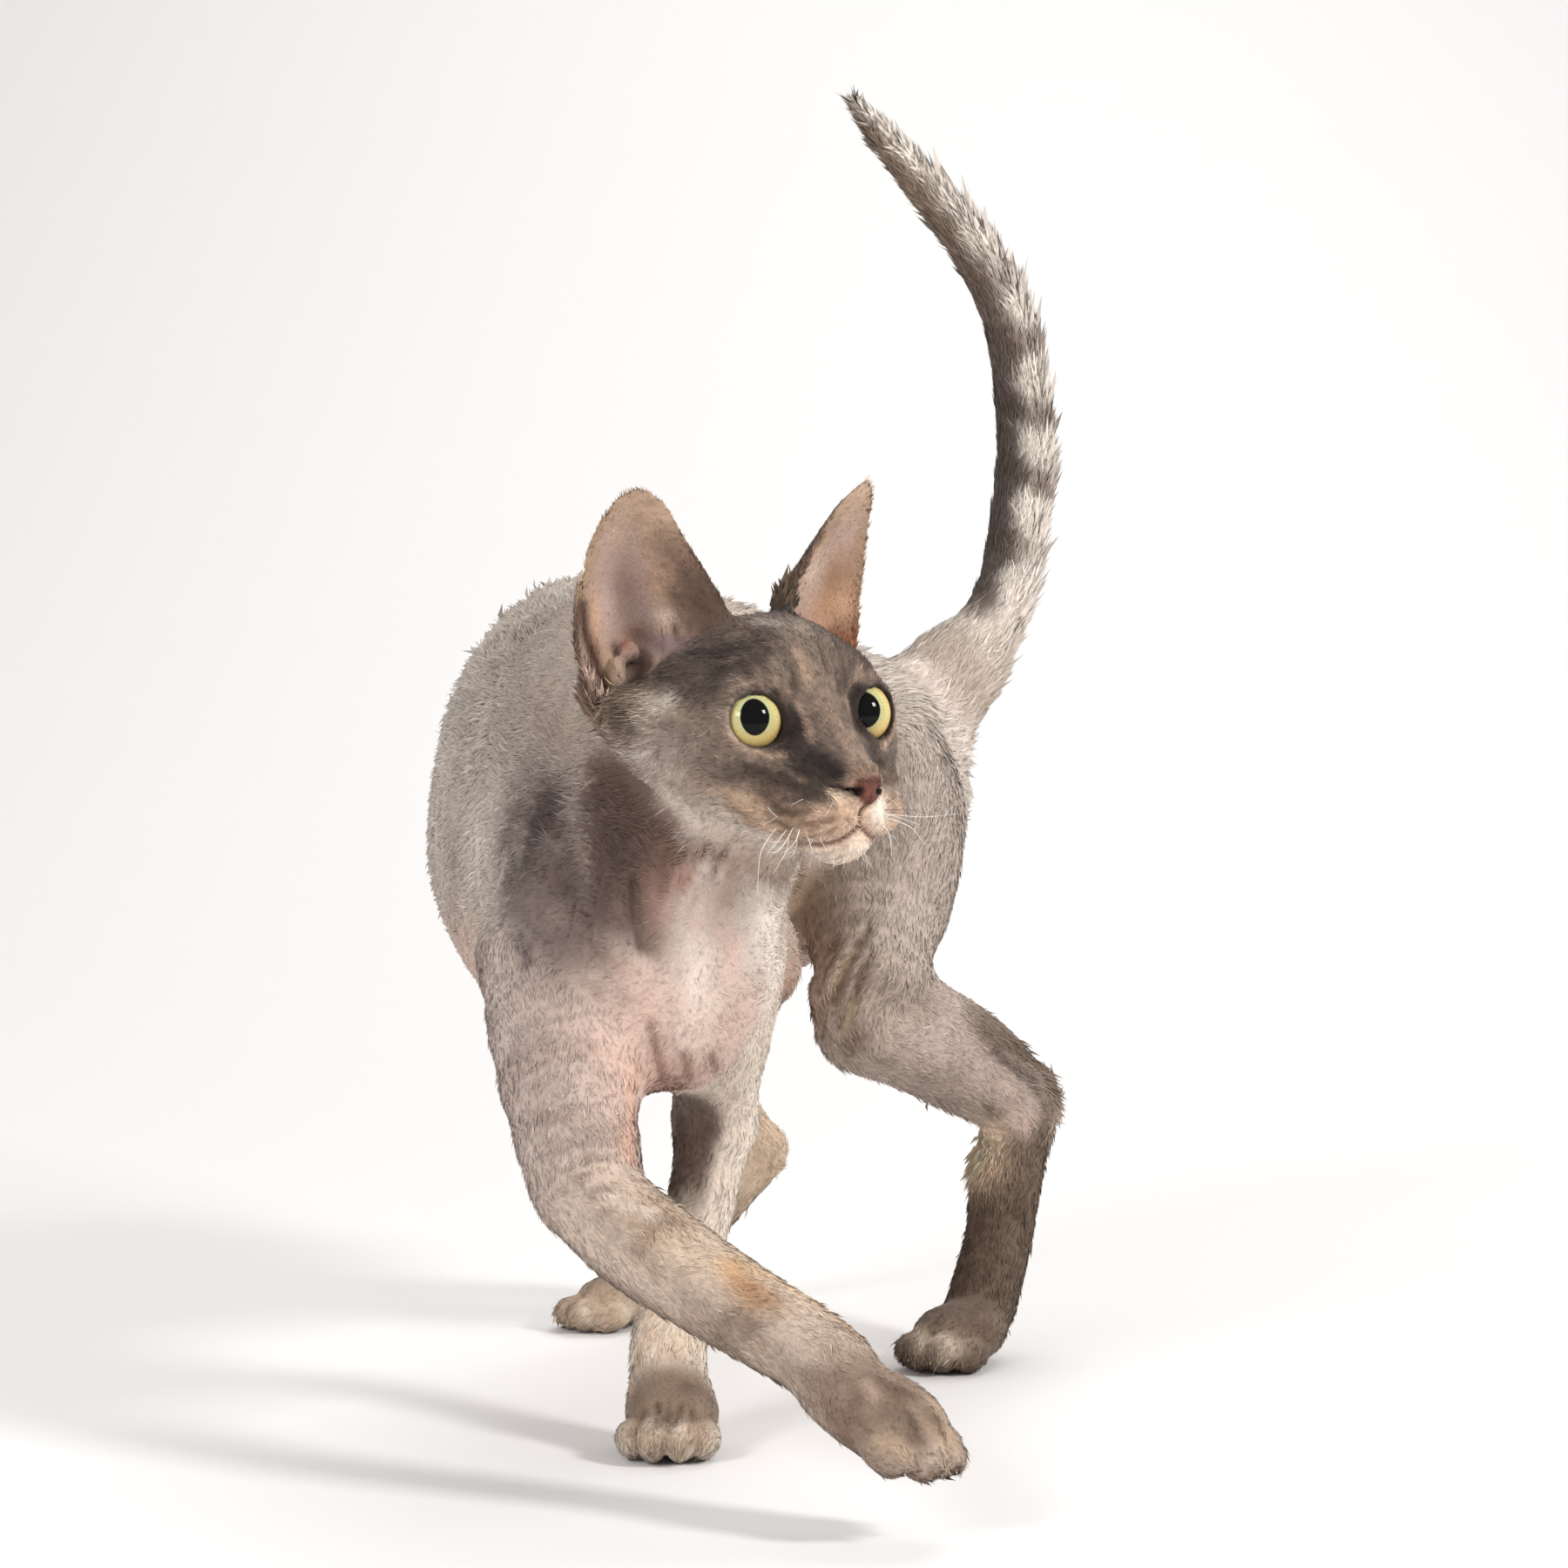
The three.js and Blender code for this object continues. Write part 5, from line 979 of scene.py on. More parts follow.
    ((66, 54, 46), 0.8, 0.85, [(-76.0, 219.1, 10.2), (-73.6, 217.1, 3.6)]),
    ((66, 54, 46), 0.8, 0.85, [(-62.0, 219.0, 10.2), (-61.4, 217.4, 3.5)]),
    ((182, 164, 146), 6.0, 0.6, [(45, 139, 13), (53, 128, 11), (59, 132, 11)]),
    ((206, 190, 172), 2.2, 0.8, [(46, 145, 14), (48, 131, 10)]),
    ((210, 194, 176), 2.8, 0.8, [(53, 132, 13), (58, 129, 9)]),
    ((160, 144, 128), 1.6, 0.6, [(46.7, 131.1, 5.6), (48.9, 132.4, 3.6)]),
    # painted shade in the gap between the toes
    ((54, 44, 38), 0.8, 0.85, [(48.2, 135.6, 13.0), (49.6, 129.3, 6.2)]),
    ((152, 132, 112), 8.0, 0.8, [(4, 170, 167), (2, 176, 156)]),
    # the flank's folds: painted shade along each crease, then painted light on the ridges beside them
    ((142, 112, 97), 2.4, 0.8, [(3, 129, 145), (1, 124, 137), (-1, 130, 130)]),
    ((106, 80, 68), 1.3, 0.9, [(12.5, 156.0, 138.3), (10.7, 155.2, 132.8)]),
    ((128, 102, 87), 2.2, 0.8, [(10, 153, 129), (11, 152, 123), (11, 150, 120)]),
    ((104, 84, 72), 1.1, 0.8, [(18.8, 153.2, 148.1), (15.2, 154.8, 143.3), (13.1, 154.2, 138.8), (11.4, 153.8, 134.6)]),
    ((108, 90, 76), 1.2, 0.8, [(17.7, 142.5, 132.9), (13.7, 144.7, 127.6), (12.7, 146.1, 120.9), (13.8, 145.0, 117.3)]),
    ((112, 94, 80), 1.1, 0.8, [(29.6, 151.6, 152.6), (25.6, 148.3, 146.8), (21.5, 144.0, 140.1), (18.7, 141.6, 132.3), (17.0, 141.4, 127.9)]),
    ((108, 92, 78), 1.2, 0.85, [(30.1, 145.1, 143.8), (26.9, 141.3, 138.5), (24.3, 139.1, 132.1), (20.9, 138.8, 126.5), (19.0, 139.2, 120.3)]),
    ((200, 182, 156), 1.9, 0.8, [(25.2, 138.1, 129.1), (22.6, 137.8, 122.5), (21.2, 138.4, 117.6)]),
    ((174, 152, 128), 1.7, 0.7, [(23.3, 145.4, 143.0), (19.6, 143.2, 137.0), (16.8, 142.7, 131.5)]),
    ((178, 158, 136), 1.6, 0.6, [(16.9, 148.5, 140.6), (13.9, 147.3, 134.7)]),
    ((110, 88, 78), 2.4, 0.7, [(25, 137, 117), (22, 140, 112)]),
    ((118, 100, 88), 1.6, 0.7, [(29.5, 141.5, 108.9), (34.1, 145.0, 107.2), (39.1, 146.2, 109.1)]),
    ((152, 136, 124), 5.0, 0.5, [(33, 140, 135), (42, 145, 130), (48, 151, 127)]),
    ((150, 134, 124), 4.5, 0.45, [(46, 155, 102), (58, 164, 100)]),
    ((184, 166, 158), 6.5, 0.6, [(48, 151, 114), (56, 158, 112), (57, 160, 117)]),
    ((112, 96, 84), 3.4, 0.9, [(68, 173, 115), (74, 180, 111), (83, 193, 106), (90, 203, 99)]),
    ((84, 70, 62), 2.0, 0.9, [(72, 175, 108), (78, 182, 103), (85, 192, 97), (89, 195, 91)]),
    ((96, 80, 70), 2.5, 0.85, [(93, 198, 86), (92, 198, 77), (92, 198, 68)]),
    ((178, 156, 146), 2.8, 0.8, [(75, 180, 97), (81, 187, 91), (85, 193, 83), (87, 194, 77)]),
    ((76, 62, 54), 2.0, 0.85, [(71, 181, 88), (77, 191, 81), (81, 192, 74), (82, 190, 68)]),
    ((222, 194, 164), 6.0, 0.98, [(71, 199, 70), (71, 193, 64)]),
    ((78, 62, 52), 2.6, 0.6, [(83, 185, 55), (84, 182, 47)]),
    ((184, 162, 144), 3.0, 0.8, [(74, 189, 82), (76, 194, 76), (76, 193, 72)]),
    ((120, 102, 90), 3.0, 0.7, [(-43, -45, 166), (-40, -45, 161)]),
    # painted shade: a dark spot in the crease between breast and flank
    ((96, 70, 60), 2.4, 0.9, [(11, 153, 126), (11.1, 153, 126)]),
]
REAR_MARKS = 114                    # from here on: painted shade in the flank's folds and painted light on their ridges, and the left hock's hair, laid on once more at the end


def head_colour(F):
    P, h = F['P'], F['h']
    x, y, z = h.T
    ax = np.abs(x)
    n1, n2, n3, n4 = rough(P, 9), rough(P, 4, 5), rough(P, 18, 9), rough(P * [1, 1, 0.4], 2.2, 3)
    n5 = rough(h * [1, 0.3, 1], 1.7, 13)
    n6 = noise(h * [1, 0.25, 1], 0.9, 23) * step(-30, -20, y)
    C = Paint(len(P), (95, 81, 72))
    C.coat((122, 105, 93), 0.28 + 0.55 * n3 + 0.25 * n5)
    C.coat((80, 68, 61), np.clip(n2 + 0.5 * n5 - 0.10, 0, 1) * 0.9)
    # pale cheeks, jaw and throat under a line from the ear's foot to the whisker pads
    line = np.interp(y, [-30, -14, -7, 0, 5, 13, 20, 27, 33, 38, 44], [4, 2, -6, -9.5, -14, -19.5, -24.5, -26.5, -23.5, -21.5, -21])
    below = step(3.2, -3.2, z - line + 3.0 * n2)
    C.coat((150, 124, 104), bump(z - line, 3, 5) * step(2, 14, y) * 0.65)
    C.coat((214, 202, 190), below)
    C.coat((200, 168, 145), below * step(12, 28, y) * 0.85)
    C.coat((168, 142, 126), below * step(-10, -24, z) * step(16, -6, y) * 0.55)
    C.coat((152, 132, 118), below * np.clip(n2 * 1.1, 0, 0.55))
    # the brown foot of the ear
    C.coat((104, 88, 76), blob(h * [0, 1, 1], (0, 5.5, 2), (1, 3, 6)) * step(33, 37, ax) * 0.5)
    C.coat((114, 94, 74), bump(y, -15, 10) * bump(z, 2, 13) * step(35, 40, ax) * (0.9 + 0.4 * n2))
    C.coat((70, 54, 42), blob(h * [0, 1, 1], (0, -9, 2), (1, 2.8, 7)) * step(38, 42, ax) * 0.9)
    # forehead: faint stripes beside the middle, the bolder ones are in the list of marks
    spread = 1 + np.clip(z - 8, 0, 30) / 55
    w = ax / spread
    up = step(1, 8, z) * step(8, 18, y + z * 0.25) * step(36, 26, z)
    C.coat((132, 115, 102), up * bump(w, 3, 5) * 0.35)
    C.coat((74, 62, 55), bump(w, 16.8, 2.2) * up * step(10, 16, z) * 0.5)
    C.coat((126, 114, 106), bump(ax, 9, 9) * step(26, 31, z) * step(-12, 4, y) * 0.6)
    # temples: dark fur before the ear and a bare mauve patch at its root
    C.coat((86, 72, 64), bump(y, 4, 11) * bump(z, 18, 10) * step(13, 21, ax) * 0.7)
    C.coat((92, 77, 68), bump(y, 14, 9) * bump(z, 2, 14) * step(28, 33, ax) * 0.5)
    C.coat((140, 117, 116), blob(h * [0, 1, 1], (0, -14, 25.5), (1, 9, 2.6)) * step(10, 14, ax) * 0.9)
    # the nose's bridge, and the dark band from the inner corner of the eye down to the nostril
    C.coat((140, 119, 104), bump(ax, 0, 5.5) * step(24, 34, y) * step(-21, -12, z) * 0.75)
    C.coat((116, 88, 74), bump(ax, 0, 4.5) * step(43, 46.5, y) * bump(z, -15.4, 2.0) * 0.7)
    pad = step(-20.5, -23.5, z + 0.12 * ax) * step(26, 33, y) * step(-34, -32, z) * step(1, 3, ax)
    C.coat((170, 141, 120), pad * 0.8)
    C.coat((98, 80, 70), pad * step(14, 19, ax) * 0.35)
    C.coat((226, 208, 190), step(-36, -38, z) * step(22, 30, y) * 0.8)
    # round the eyes: a thin dark edge, wide at the inner corner, and wider and darker over the upper half as painted
    # shade under the upper lid; a pale line below and one beside the corner
    for s in (1, -1):
        r, u, v, t = eye_place(P, s)
        on = step(3, 6, t)
        C.coat((132, 112, 98), bump(r, 1.5, 0.4) * on * 0.30)
        C.coat((96, 78, 68), bump(r, 1.22, 0.22) * on * step(-2, 4, v) * 0.5)
        C.coat((182, 156, 138), bump(r, 1.17, 0.07) * on * step(5, 8, u) * 0.6)
    far = 1 - 0.6 * step(-1, -4, x) * step(0, -5, z)          # the left side is greyer beside the nose
    for colour, half, much, both, line in FACE_MARKS:
        d, _ = near_line(np.stack([ax if both else x, y, z], 1), line)
        pale = far if both and sum(colour) < 260 else 1.0
        C.coat(colour, np.exp(-(d * (1 + 0.28 * n5) / half) ** 2) * (much + 0.25 * n2) * pale)
    # the dark lid edge, widened over the upper half as painted shade under the upper lid
    for s in (1, -1):
        r, u, v, t = eye_place(P, s)
        on = step(3, 6, t)
        C.coat((44, 34, 30), step(1.14, 1.06, r - 0.09 * step(1, 5, v) - 0.05 * step(-3, -7, u)) * on)
        corner = np.exp(-((u + 10.8) / 2.6) ** 2 - ((v + 1.2) / 6.0) ** 2)
        C.coat((48, 38, 35), np.clip(corner * 1.35, 0, 1) * on * step(-5, -7.4, u))
    # the lips' own dark along the mouth's line, with painted shade in that line and in the groove over it
    C.coat((80, 54, 46), mouth(h) * (0.95 - 0.35 * step(4, 9, ax)))
    # the nose's leather; the nostrils, their slits and the groove down its middle carry painted shade
    k = leather(h)
    C.coat((112, 69, 57), k)
    C.coat((78, 50, 43), k * bump(z, -17.2, 1.2) * 0.8)
    # painted shade: the nostrils and their slits near black inside the openings
    C.coat((34, 21, 18), step(2.5, 1.3, np.sqrt((ax - 4.0) ** 2 + ((z + 20.8) * 1.2) ** 2)) * step(43, 45, y))
    C.coat((44, 30, 26), stroke(np.stack([ax, y, z], 1), [(4.2, -20.4), (6.4, -19.9), (9.2, -18.6)], 0.95) * step(40, 42.5, y))
    C.coat((88, 52, 44), bump(ax, 0, 0.45) * k * step(-20, -22, z))
    C.shade(1 + 0.13 * n2 + 0.05 * n1 + 0.32 * n5 + 0.28 * n6)
    # the darkest hair is deeper still
    C.shade(0.76 + 0.24 * step(0.03, 0.17, C.c.mean(1)))
    return C.c


def ear_colour(F):
    P = F['P']
    n2, n3 = rough(P, 5, 5), rough(P, 2.2, 9)
    C = Paint(len(P), (112, 96, 86))
    for s, (a, b, c) in zip((1, -1), F['ear']):
        here = F['h'][:, 0] * s > 8
        inner = step(-0.5, 0.5, c) * here
        left = s < 0
        E = Paint(len(P), (180, 154, 140))
        # the cup: lilac-brown in the middle, darker and redder towards the canal, where the darkening is painted shade
        # of the cup's depth
        E.coat((146, 120, 112), bump(a, 0.22, 0.30) * bump(b, 25, 11) * (0.25 if left else 0.85))
        E.coat((192, 168, 160), bump(a, 0.50, 0.12) * bump(b, 20, 8) * 0.8)
        E.coat((164, 142, 136), bump(a, -0.02, 0.12) * bump(b, 17, 5) * 0.6)
        E.coat((196, 164, 142), bump(a, 0.62, 0.20) * bump(b, 24, 9) * (0.8 if left else 0.0))
        # short hair over the inner part and the tip
        edge = np.interp(b, [-20, 0, 12, 18, 29, 39, 49, 55], [-0.5, -0.35, -0.20, -0.12, -0.20, -0.14, 0.1, 0.9])
        if left:
            edge = edge + 0.28 * step(10, 20, b)
        hair_ = step(0.12, -0.08, a - edge + 0.20 * n2)
        E.coat((172, 143, 121), hair_ * (0.92 + 0.2 * n3))
        E.coat((130, 105, 89), hair_ * step(-0.08, -0.42, a - edge + 0.2 * n3) * step(52, 30, b) * 0.9)
        E.coat((96, 78, 68), hair_ * step(-0.18, -0.52, a - edge + 0.2 * n2) * step(38, 22, b) * 0.85)
        E.coat((188, 160, 137), step(38, 50, b + 6 * n2) * (0.8 + 0.2 * n3))
        E.coat((208, 184, 168), blob(np.stack([a, b, 0 * a], 1), (-0.26, 15, 0), (0.12, 4.5, 1)) * (0.8 + 0.5 * n2))
        # the outer rim, the dark slit of the pocket painted as shade in its fold, the tan column before it
        E.coat((168, 140, 116), step(0.66, 0.84, a) * step(14, 22, b) * (0.85 + 0.3 * n3))
        E.coat((204, 164, 136), bump(a, 0.66, 0.10) * bump(b, 17, 8) * 0.8)
        E.coat((150, 96, 64), bump(a, 0.72, 0.08) * bump(b, 6, 5) * 0.8)
        d, _ = near_line(np.stack([a * 14, b, 0 * a], 1), [(12.0, 21, 0), (11.5, 12, 0), (10.0, 3, 0), (9.2, -4, 0)])
        slit_ = np.exp(-(d / 1.3) ** 2)
        E.coat((100, 78, 64), step(0.88, 0.95, a) * step(21, 17, b) * 0.85)
        E.coat((176, 147, 121), bump(a, 0.55, 0.11) * step(10, 5, b) * (0.85 + 0.4 * n3))
        E.coat((72, 49, 38), slit_ * 0.95)
        E.coat((196, 152, 122), bump(a, 0.7, 0.3) * bump(b, 16, 7) * (0.85 if left else 0.0))
        E.coat((150, 98, 68), bump(a, 0.9, 0.25) * bump(b, 4, 6) * (0.8 if left else 0.0))
        # the bare lilac skin, the canal and the knob before it; the canal's near-black is painted shade in its hole
        E.coat((142, 120, 124), bump(a, -0.25, 0.28) * bump(b, 7.5, 3.0) * 0.9)
        E.coat((88, 56, 47), bump(a, 0.10, 0.20) * bump(b, 11, 3.6) * 0.75)
        E.coat((140, 98, 79), bump(a, 0.28, 0.09) * bump(b, 8, 2.6) * 0.9)
        E.coat((50, 32, 26), bump(a, 0.42, 0.06) * bump(b, 7, 2.6) * 0.9)
        E.coat((36, 21, 16), bump(a, 0.20, 0.17) * bump(b, 2.4, 2.8) * 0.98)
        E.coat((92, 60, 50), bump(a, 0.14, 0.2) * bump(b, -3, 4) * 0.7)
        E.coat((172, 146, 128), bump(a, -0.04, 0.07) * bump(b, 1, 3) * 0.7)
        B = Paint(len(P), (80, 66, 57))
        B.coat((138, 114, 96), step(30, 52, b) * 0.55)
        B.coat((150, 122, 98), step(0.84, 1.0, np.abs(a)) * 0.5)
        B.shade(1 + 0.18 * n2)
        if left:
            E.coat((146, 108, 82), blob(F['h'], (-44, -21, 43), (5, 6, 10)) * 0.8)
            E.coat((212, 172, 142), blob(F['h'], (-49, -23, 35), (4, 6, 6)) * 0.8)
            E.coat((218, 192, 174), blob(F['h'], (-34.5, -21, 45), (4.5, 5, 8)) * 0.85)
            E.coat((150, 98, 66), blob(F['h'], (-52, -22, 22), (5, 6, 7)) * 0.7)
        E.shade(1 + 0.07 * n2 + 0.22 * n3 * hair_ + 0.05 * n3)
        k = inner[:, None]
        C.c = np.where(here[:, None], B.c * (1 - k) + E.c * k, C.c)
    return C.c


def trunk_colour(F):
    P, N, T = F['P'], F['N'], F['trunk']
    x, y, z = P.T
    n1, n2, n3 = rough(P, 26), rough(P, 9, 5), rough(P * [1, 0.45, 1], 14, 9)
    C = Paint(len(P), (197, 186, 176))
    C.coat((173, 158, 147), 0.45 + 0.6 * n1)
    # faint tabby bands that run down the sides
    C.coat((148, 131, 120), step(0.15, 0.9, np.sin(T.s * 44 + 1.4 * n1 + T.up * 1.2)) * 0.30)
    # a warmer, darker line of back, paler beside it at the loin
    C.coat((160, 144, 132), step(0.75, 0.97, T.up) * 0.4)
    C.coat((196, 183, 170), step(0.3, 0.8, T.up) * step(0.45, 0.6, T.s) * 0.5)
    # shoulder blades: brown-grey above, mottled below, on both sides
    C.coat((152, 136, 126), blob(P, (-72, 10, 222), (26, 40, 22)) * 0.6)
    C.coat((148, 132, 122), blob(P, (-16, 40, 216), (22, 34, 24)) * 0.55)
    sl = np.exp(-(((x + 12) / 18) ** 2 + ((y - 30) / 30) ** 2 + ((z - 190) / 36) ** 2))
    C.coat((128, 110, 100), step(0.3, 0.9, sl + 0.4 * n2) * 0.7)
    # warm haunches
    C.coat((206, 194, 184), step(0.66, 0.9, T.s) * (0.5 + 0.3 * n1))
    # breast and belly: thin coat over pink skin
    low = step(-0.25, -0.75, T.up)
    C.coat((200, 168, 154), low * (0.6 + 0.3 * n1))
    C.shade(1 + 0.11 * n2)
    return C.c


def neck_colour(F):
    P, N, T = F['P'], F['N'], F['neck']
    n1, n2 = rough(P, 16), rough(P, 6, 5)
    C = Paint(len(P), (150, 133, 122))
    C.coat((184, 170, 158), step(0.2, 0.8, T.up) * 0.6)
    C.shade(1 + 0.10 * n2)
    return C.c


def tail_colour(F):
    P, N, T = F['P'], F['N'], F['tail']
    n1, n2 = rough(P, 12), rough(P, 5, 5)
    mm = T.s * T.length
    C = Paint(len(P), (226, 215, 205))
    C.coat((196, 181, 168), 0.3 + 0.5 * n1)
    away = -N[:, 0] * 0.86 - N[:, 1] * 0.45
    bands = step(0.1, 0.75, np.sin(mm * 2 * np.pi / 28 + 0.8 + 0.8 * n2 - 1.2 * away)) * step(0.24, 0.34, T.s) * step(0.97, 0.9, T.s)
    C.coat((118, 101, 91), bands * (0.75 + 0.3 * n2) * step(0.8, 0.6, T.s))
    # the dark line runs up the side away from the light fringe
    C.coat((76, 64, 58), step(0.03, 0.62, away + 0.26 * n2 + 0.12 * np.sin(mm * 2 * np.pi / 28 + 0.8)) * step(0.10, 0.22, T.s) * step(1.0, 0.5, T.s) * 0.95)
    C.coat((104, 88, 77), step(-0.15, 0.5, away + 0.22 * n2) * step(0.5, 0.7, T.s) * 0.95)
    C.coat((144, 125, 110), step(0.62, 0.85, T.s) * step(0.85, 0.1, N[:, 0]) * 0.8)
    C.coat((178, 160, 144), step(0.26, 0.05, T.s) * 0.8)
    C.shade(1 + 0.10 * n2)
    return C.c


def leg_colours(F):
    P, N = F['P'], F['N']
    x, y, z = P.T
    n1, n2, n3 = rough(P, 14), rough(P, 5, 5), rough(P, 9, 21)
    out = {}
    # right foreleg: grey-beige with darker ripples, a warm top edge, a grey-brown underside painted as shade, a brown
    # paw
    T = F['foreleg_right']
    C = Paint(len(P), (190, 173, 163))
    C.coat((166, 147, 138), step(0.62, 0.45, T.s) * (0.4 + 0.5 * n1))
    C.coat((138, 118, 108), step(0.35, 0.95, np.sin(T.s * 52 + 2.2 * n1 + T.turn * 0.8)) * step(0.62, 0.42, T.s) * step(-0.1, 0.35, n3) * 0.5)
    C.coat((206, 158, 140), step(0.1, 0.7, N[:, 0]) * step(0.36, 0.16, T.s) * 0.7)
    C.coat((194, 174, 158), step(0.36, 0.62, T.s + 0.05 * n1) * 0.9)
    C.coat((214, 188, 160), step(0.1, 0.7, N[:, 2]) * step(0.44, 0.66, T.s) * step(0.98, 0.8, T.s) * (0.35 + 0.4 * n3))
    C.coat((146, 119, 97), step(0.0, 0.45, n3) * step(0.45, 0.62, T.s) * 0.55)
    # painted shade: the underside greyer and darker
    C.coat((142, 122, 108), step(-0.35, -0.85, N[:, 2]) * step(0.4, 0.6, T.s) * 0.75)
    C.coat((120, 98, 81), step(12, -6, F['foreleg_right_paw']) * 0.85)
    out['foreleg_right'] = C
    # left foreleg: cream outside, dark brown within; the brown is the leg's own and also painted shade on the side
    # turned from the light
    T = F['foreleg_left']
    C = Paint(len(P), (220, 205, 190))
    C.coat((96, 79, 69), step(0.22, -0.40, N[:, 0] + 0.25 * N[:, 1] + 0.12 * n1) * step(0.1, 0.22, T.s) * step(0.72, 0.55, T.s) * 0.95)
    C.coat((214, 198, 182), step(0.6, 0.8, T.s) * 0.8)
    C.coat((222, 196, 168), bump(T.s, 0.84, 0.07) * (0.5 + 0.4 * n2))
    C.coat((110, 90, 74), step(4, -5, F['foreleg_left_paw']) * 0.9)
    out['foreleg_left'] = C
    # left hind leg: pale thigh, greyer shank, dark hair over the hock, dark foot
    T = F['hindleg_left']
    C = Paint(len(P), (187, 172, 161))
    C.coat((166, 147, 134), step(0.2, 0.36, T.s) * 0.5)
    C.coat((176, 158, 148), step(0.36, 0.44, T.s) * 0.6)
    C.coat((150, 130, 118), step(0.15, 0.7, n3) * step(0.34, 0.44, T.s) * 0.6)
    C.coat((100, 83, 70), step(0.66, 0.76, T.s + 0.03 * n2) * 0.95)
    C.coat((76, 61, 51), step(0.0, 0.7, n2) * step(0.66, 0.76, T.s) * 0.6)
    C.coat((112, 94, 81), np.clip(1.3 * stroke(P, [(66, 120), (81, 112), (95, 98), (99, 84), (95, 64)], 5.0), 0, 1) * step(0.44, 0.52, T.s) * (0.8 + 0.3 * n2))
    C.coat((116, 99, 86), step(4, -5, F['hindleg_left_paw']) * 0.9)
    out['hindleg_left'] = C
    # right hind leg: warm beige, a brown back to the foot
    T = F['hindleg_right']
    C = Paint(len(P), (220, 196, 172))
    C.coat((210, 178, 152), bump(T.s, 0.5, 0.14) * 0.6)
    C.coat((140, 119, 102), step(0.76, 0.86, T.s) * 0.75)
    C.coat((162, 143, 125), step(4, -5, F['hindleg_right_paw']) * 0.8)
    out['hindleg_right'] = C
    for name, c, yw, pt, sc, r in PAWS:
        n = name[:-4]
        A = turned(yw, pt)
        q = (P - np.array(c, float)) @ A.T / sc
        C = out[n]
        on = step(5, -3, F[n + '_paw'])
        # paler hair on the toes, painted shade in the gaps between them, dark pads
        C.coat((150, 128, 108), on * step(4, 11, q[:, 1]) * step(-5, 1, q[:, 2]) * (0.35 + 0.5 * n2))
        C.coat((84, 67, 55), on * np.clip(0.1 + 0.8 * n2 + 0.7 * n3, 0, 0.75))
        for g in (-7.3, 0, 7.3):
            C.coat((58, 46, 39), on * bump(q[:, 0], g, 1.1) * step(5, 10, q[:, 1]) * 0.85)
        C.coat((76, 58, 52), on * step(-0.45, -0.8, (N @ A.T)[:, 2]) * step(-6.5, -8.5, q[:, 2]))
        C.shade(1 + 0.12 * n2)
    return {n: c.c for n, c in out.items()}


def over_all(F, C):
    """the markings that cross from one part to another, with painted shade in the folds and painted light where parts
    lie in shade
    """
    P, N = F['P'], F['N']
    x, y, z = P.T
    n1, n2, n3 = rough(P, 14), rough(P, 6, 5), rough(P * [1, 0.6, 0.8], 8, 9)
    K = Paint(1, (0, 0, 0))
    K.c = C
    body_ = F['W'][:, 2] + F['W'][:, 3] + F['W'][:, 5]
    fore = step(34, 12, y) * body_
    # the right shoulder and the neck: brown-black mottling with grey between
    sh = blob(P, (-72, -8, 190), (17, 40, 26))
    K.coat((124, 108, 101), step(0.15, 0.6, sh + 0.1 * n1) * fore * 0.8)
    K.coat((92, 78, 72), step(0.45, 1.0, sh + 0.75 * n3) * fore * 0.7)
    nk = blob(P, (-46, -42, 193), (17, 28, 30))
    K.coat((104, 84, 75), step(0.22, 0.55, nk + 0.10 * n2) * fore)
    K.coat((82, 65, 58), step(0.6, 1.2, nk + 0.6 * n3) * fore * 0.45)
    K.coat((132, 112, 103), blob(P, (-62, -28, 166), (16, 30, 12)) * fore * (0.7 + 0.4 * n2))
    # breast: pink under a thin coat, white down the middle and along the left side
    fr = step(-0.1, -0.6, N[:, 1]) * fore
    K.coat((203, 176, 162), blob(P * [1, 0, 1], (-36, 0, 134), (30, 1, 26)) * fr * 0.8)
    n4 = rough(P * [0.35, 1, 1], 2.6, 13)
    off_head = 1 - 0.9 * F['W'][:, 0]
    for colour, half, much, line in BODY_MARKS:
        d, _ = near_line(P, line)
        K.coat(colour, np.exp(-(d * (1 + 0.30 * n4 + 0.12 * n2) / half) ** 2) * (much + 0.22 * n2) * off_head)
    # armpits, and painted shade along the folds between the forelegs
    K.coat((198, 150, 136), blob(P, (-36, -20, 114), (8, 18, 14)) * 0.7 * body_)
    for line in ([(-40, 137), (-38, 126), (-36, 118)], [(-30, 127), (-29, 119)], [(-22, 126), (-20, 119)]):
        K.coat((112, 82, 72), stroke(P, line, 1.6) * fr * 0.75)
    # the flank before the left thigh: a fan of folds, painted dark in the creases as shade and pale tan on the ridges
    # as painted light
    rear = step(92, 108, y) * step(200, 185, y) * step(-14, -4, x) * step(42, 34, x) * step(0.35, -0.2, N[:, 1])
    K.coat((158, 136, 119), blob(P * [1, 0, 1], (8, 0, 146), (20, 1, 30)) * rear * 0.65)
    for colour, half, much, line in BODY_MARKS[REAR_MARKS:]:
        d, _ = near_line(P, line)
        K.coat(colour, np.exp(-(d * (1 + 0.25 * n4) / half) ** 2) * much * 0.8)
    # the pale tan curls before the hock, painted brighter than their own tan as painted light where they lie in shade
    K.coat((250, 222, 194), np.minimum(blob(P, (70, 197, 71), (9, 13, 13)) * 1.3, 0.95))
    K.coat((62, 49, 42), blob(F['h'], (-8, 1, 34), (7, 8, 4)) * 0.9)
    K.shade(1 + 0.07 * n4)
    # painted light: the hair is brightened where the loin's inner side lies in shade and never sees the lamps
    K.shade(1 + 0.8 * blob(P, (8, 152, 132), (10, 26, 22)))
    return K.c


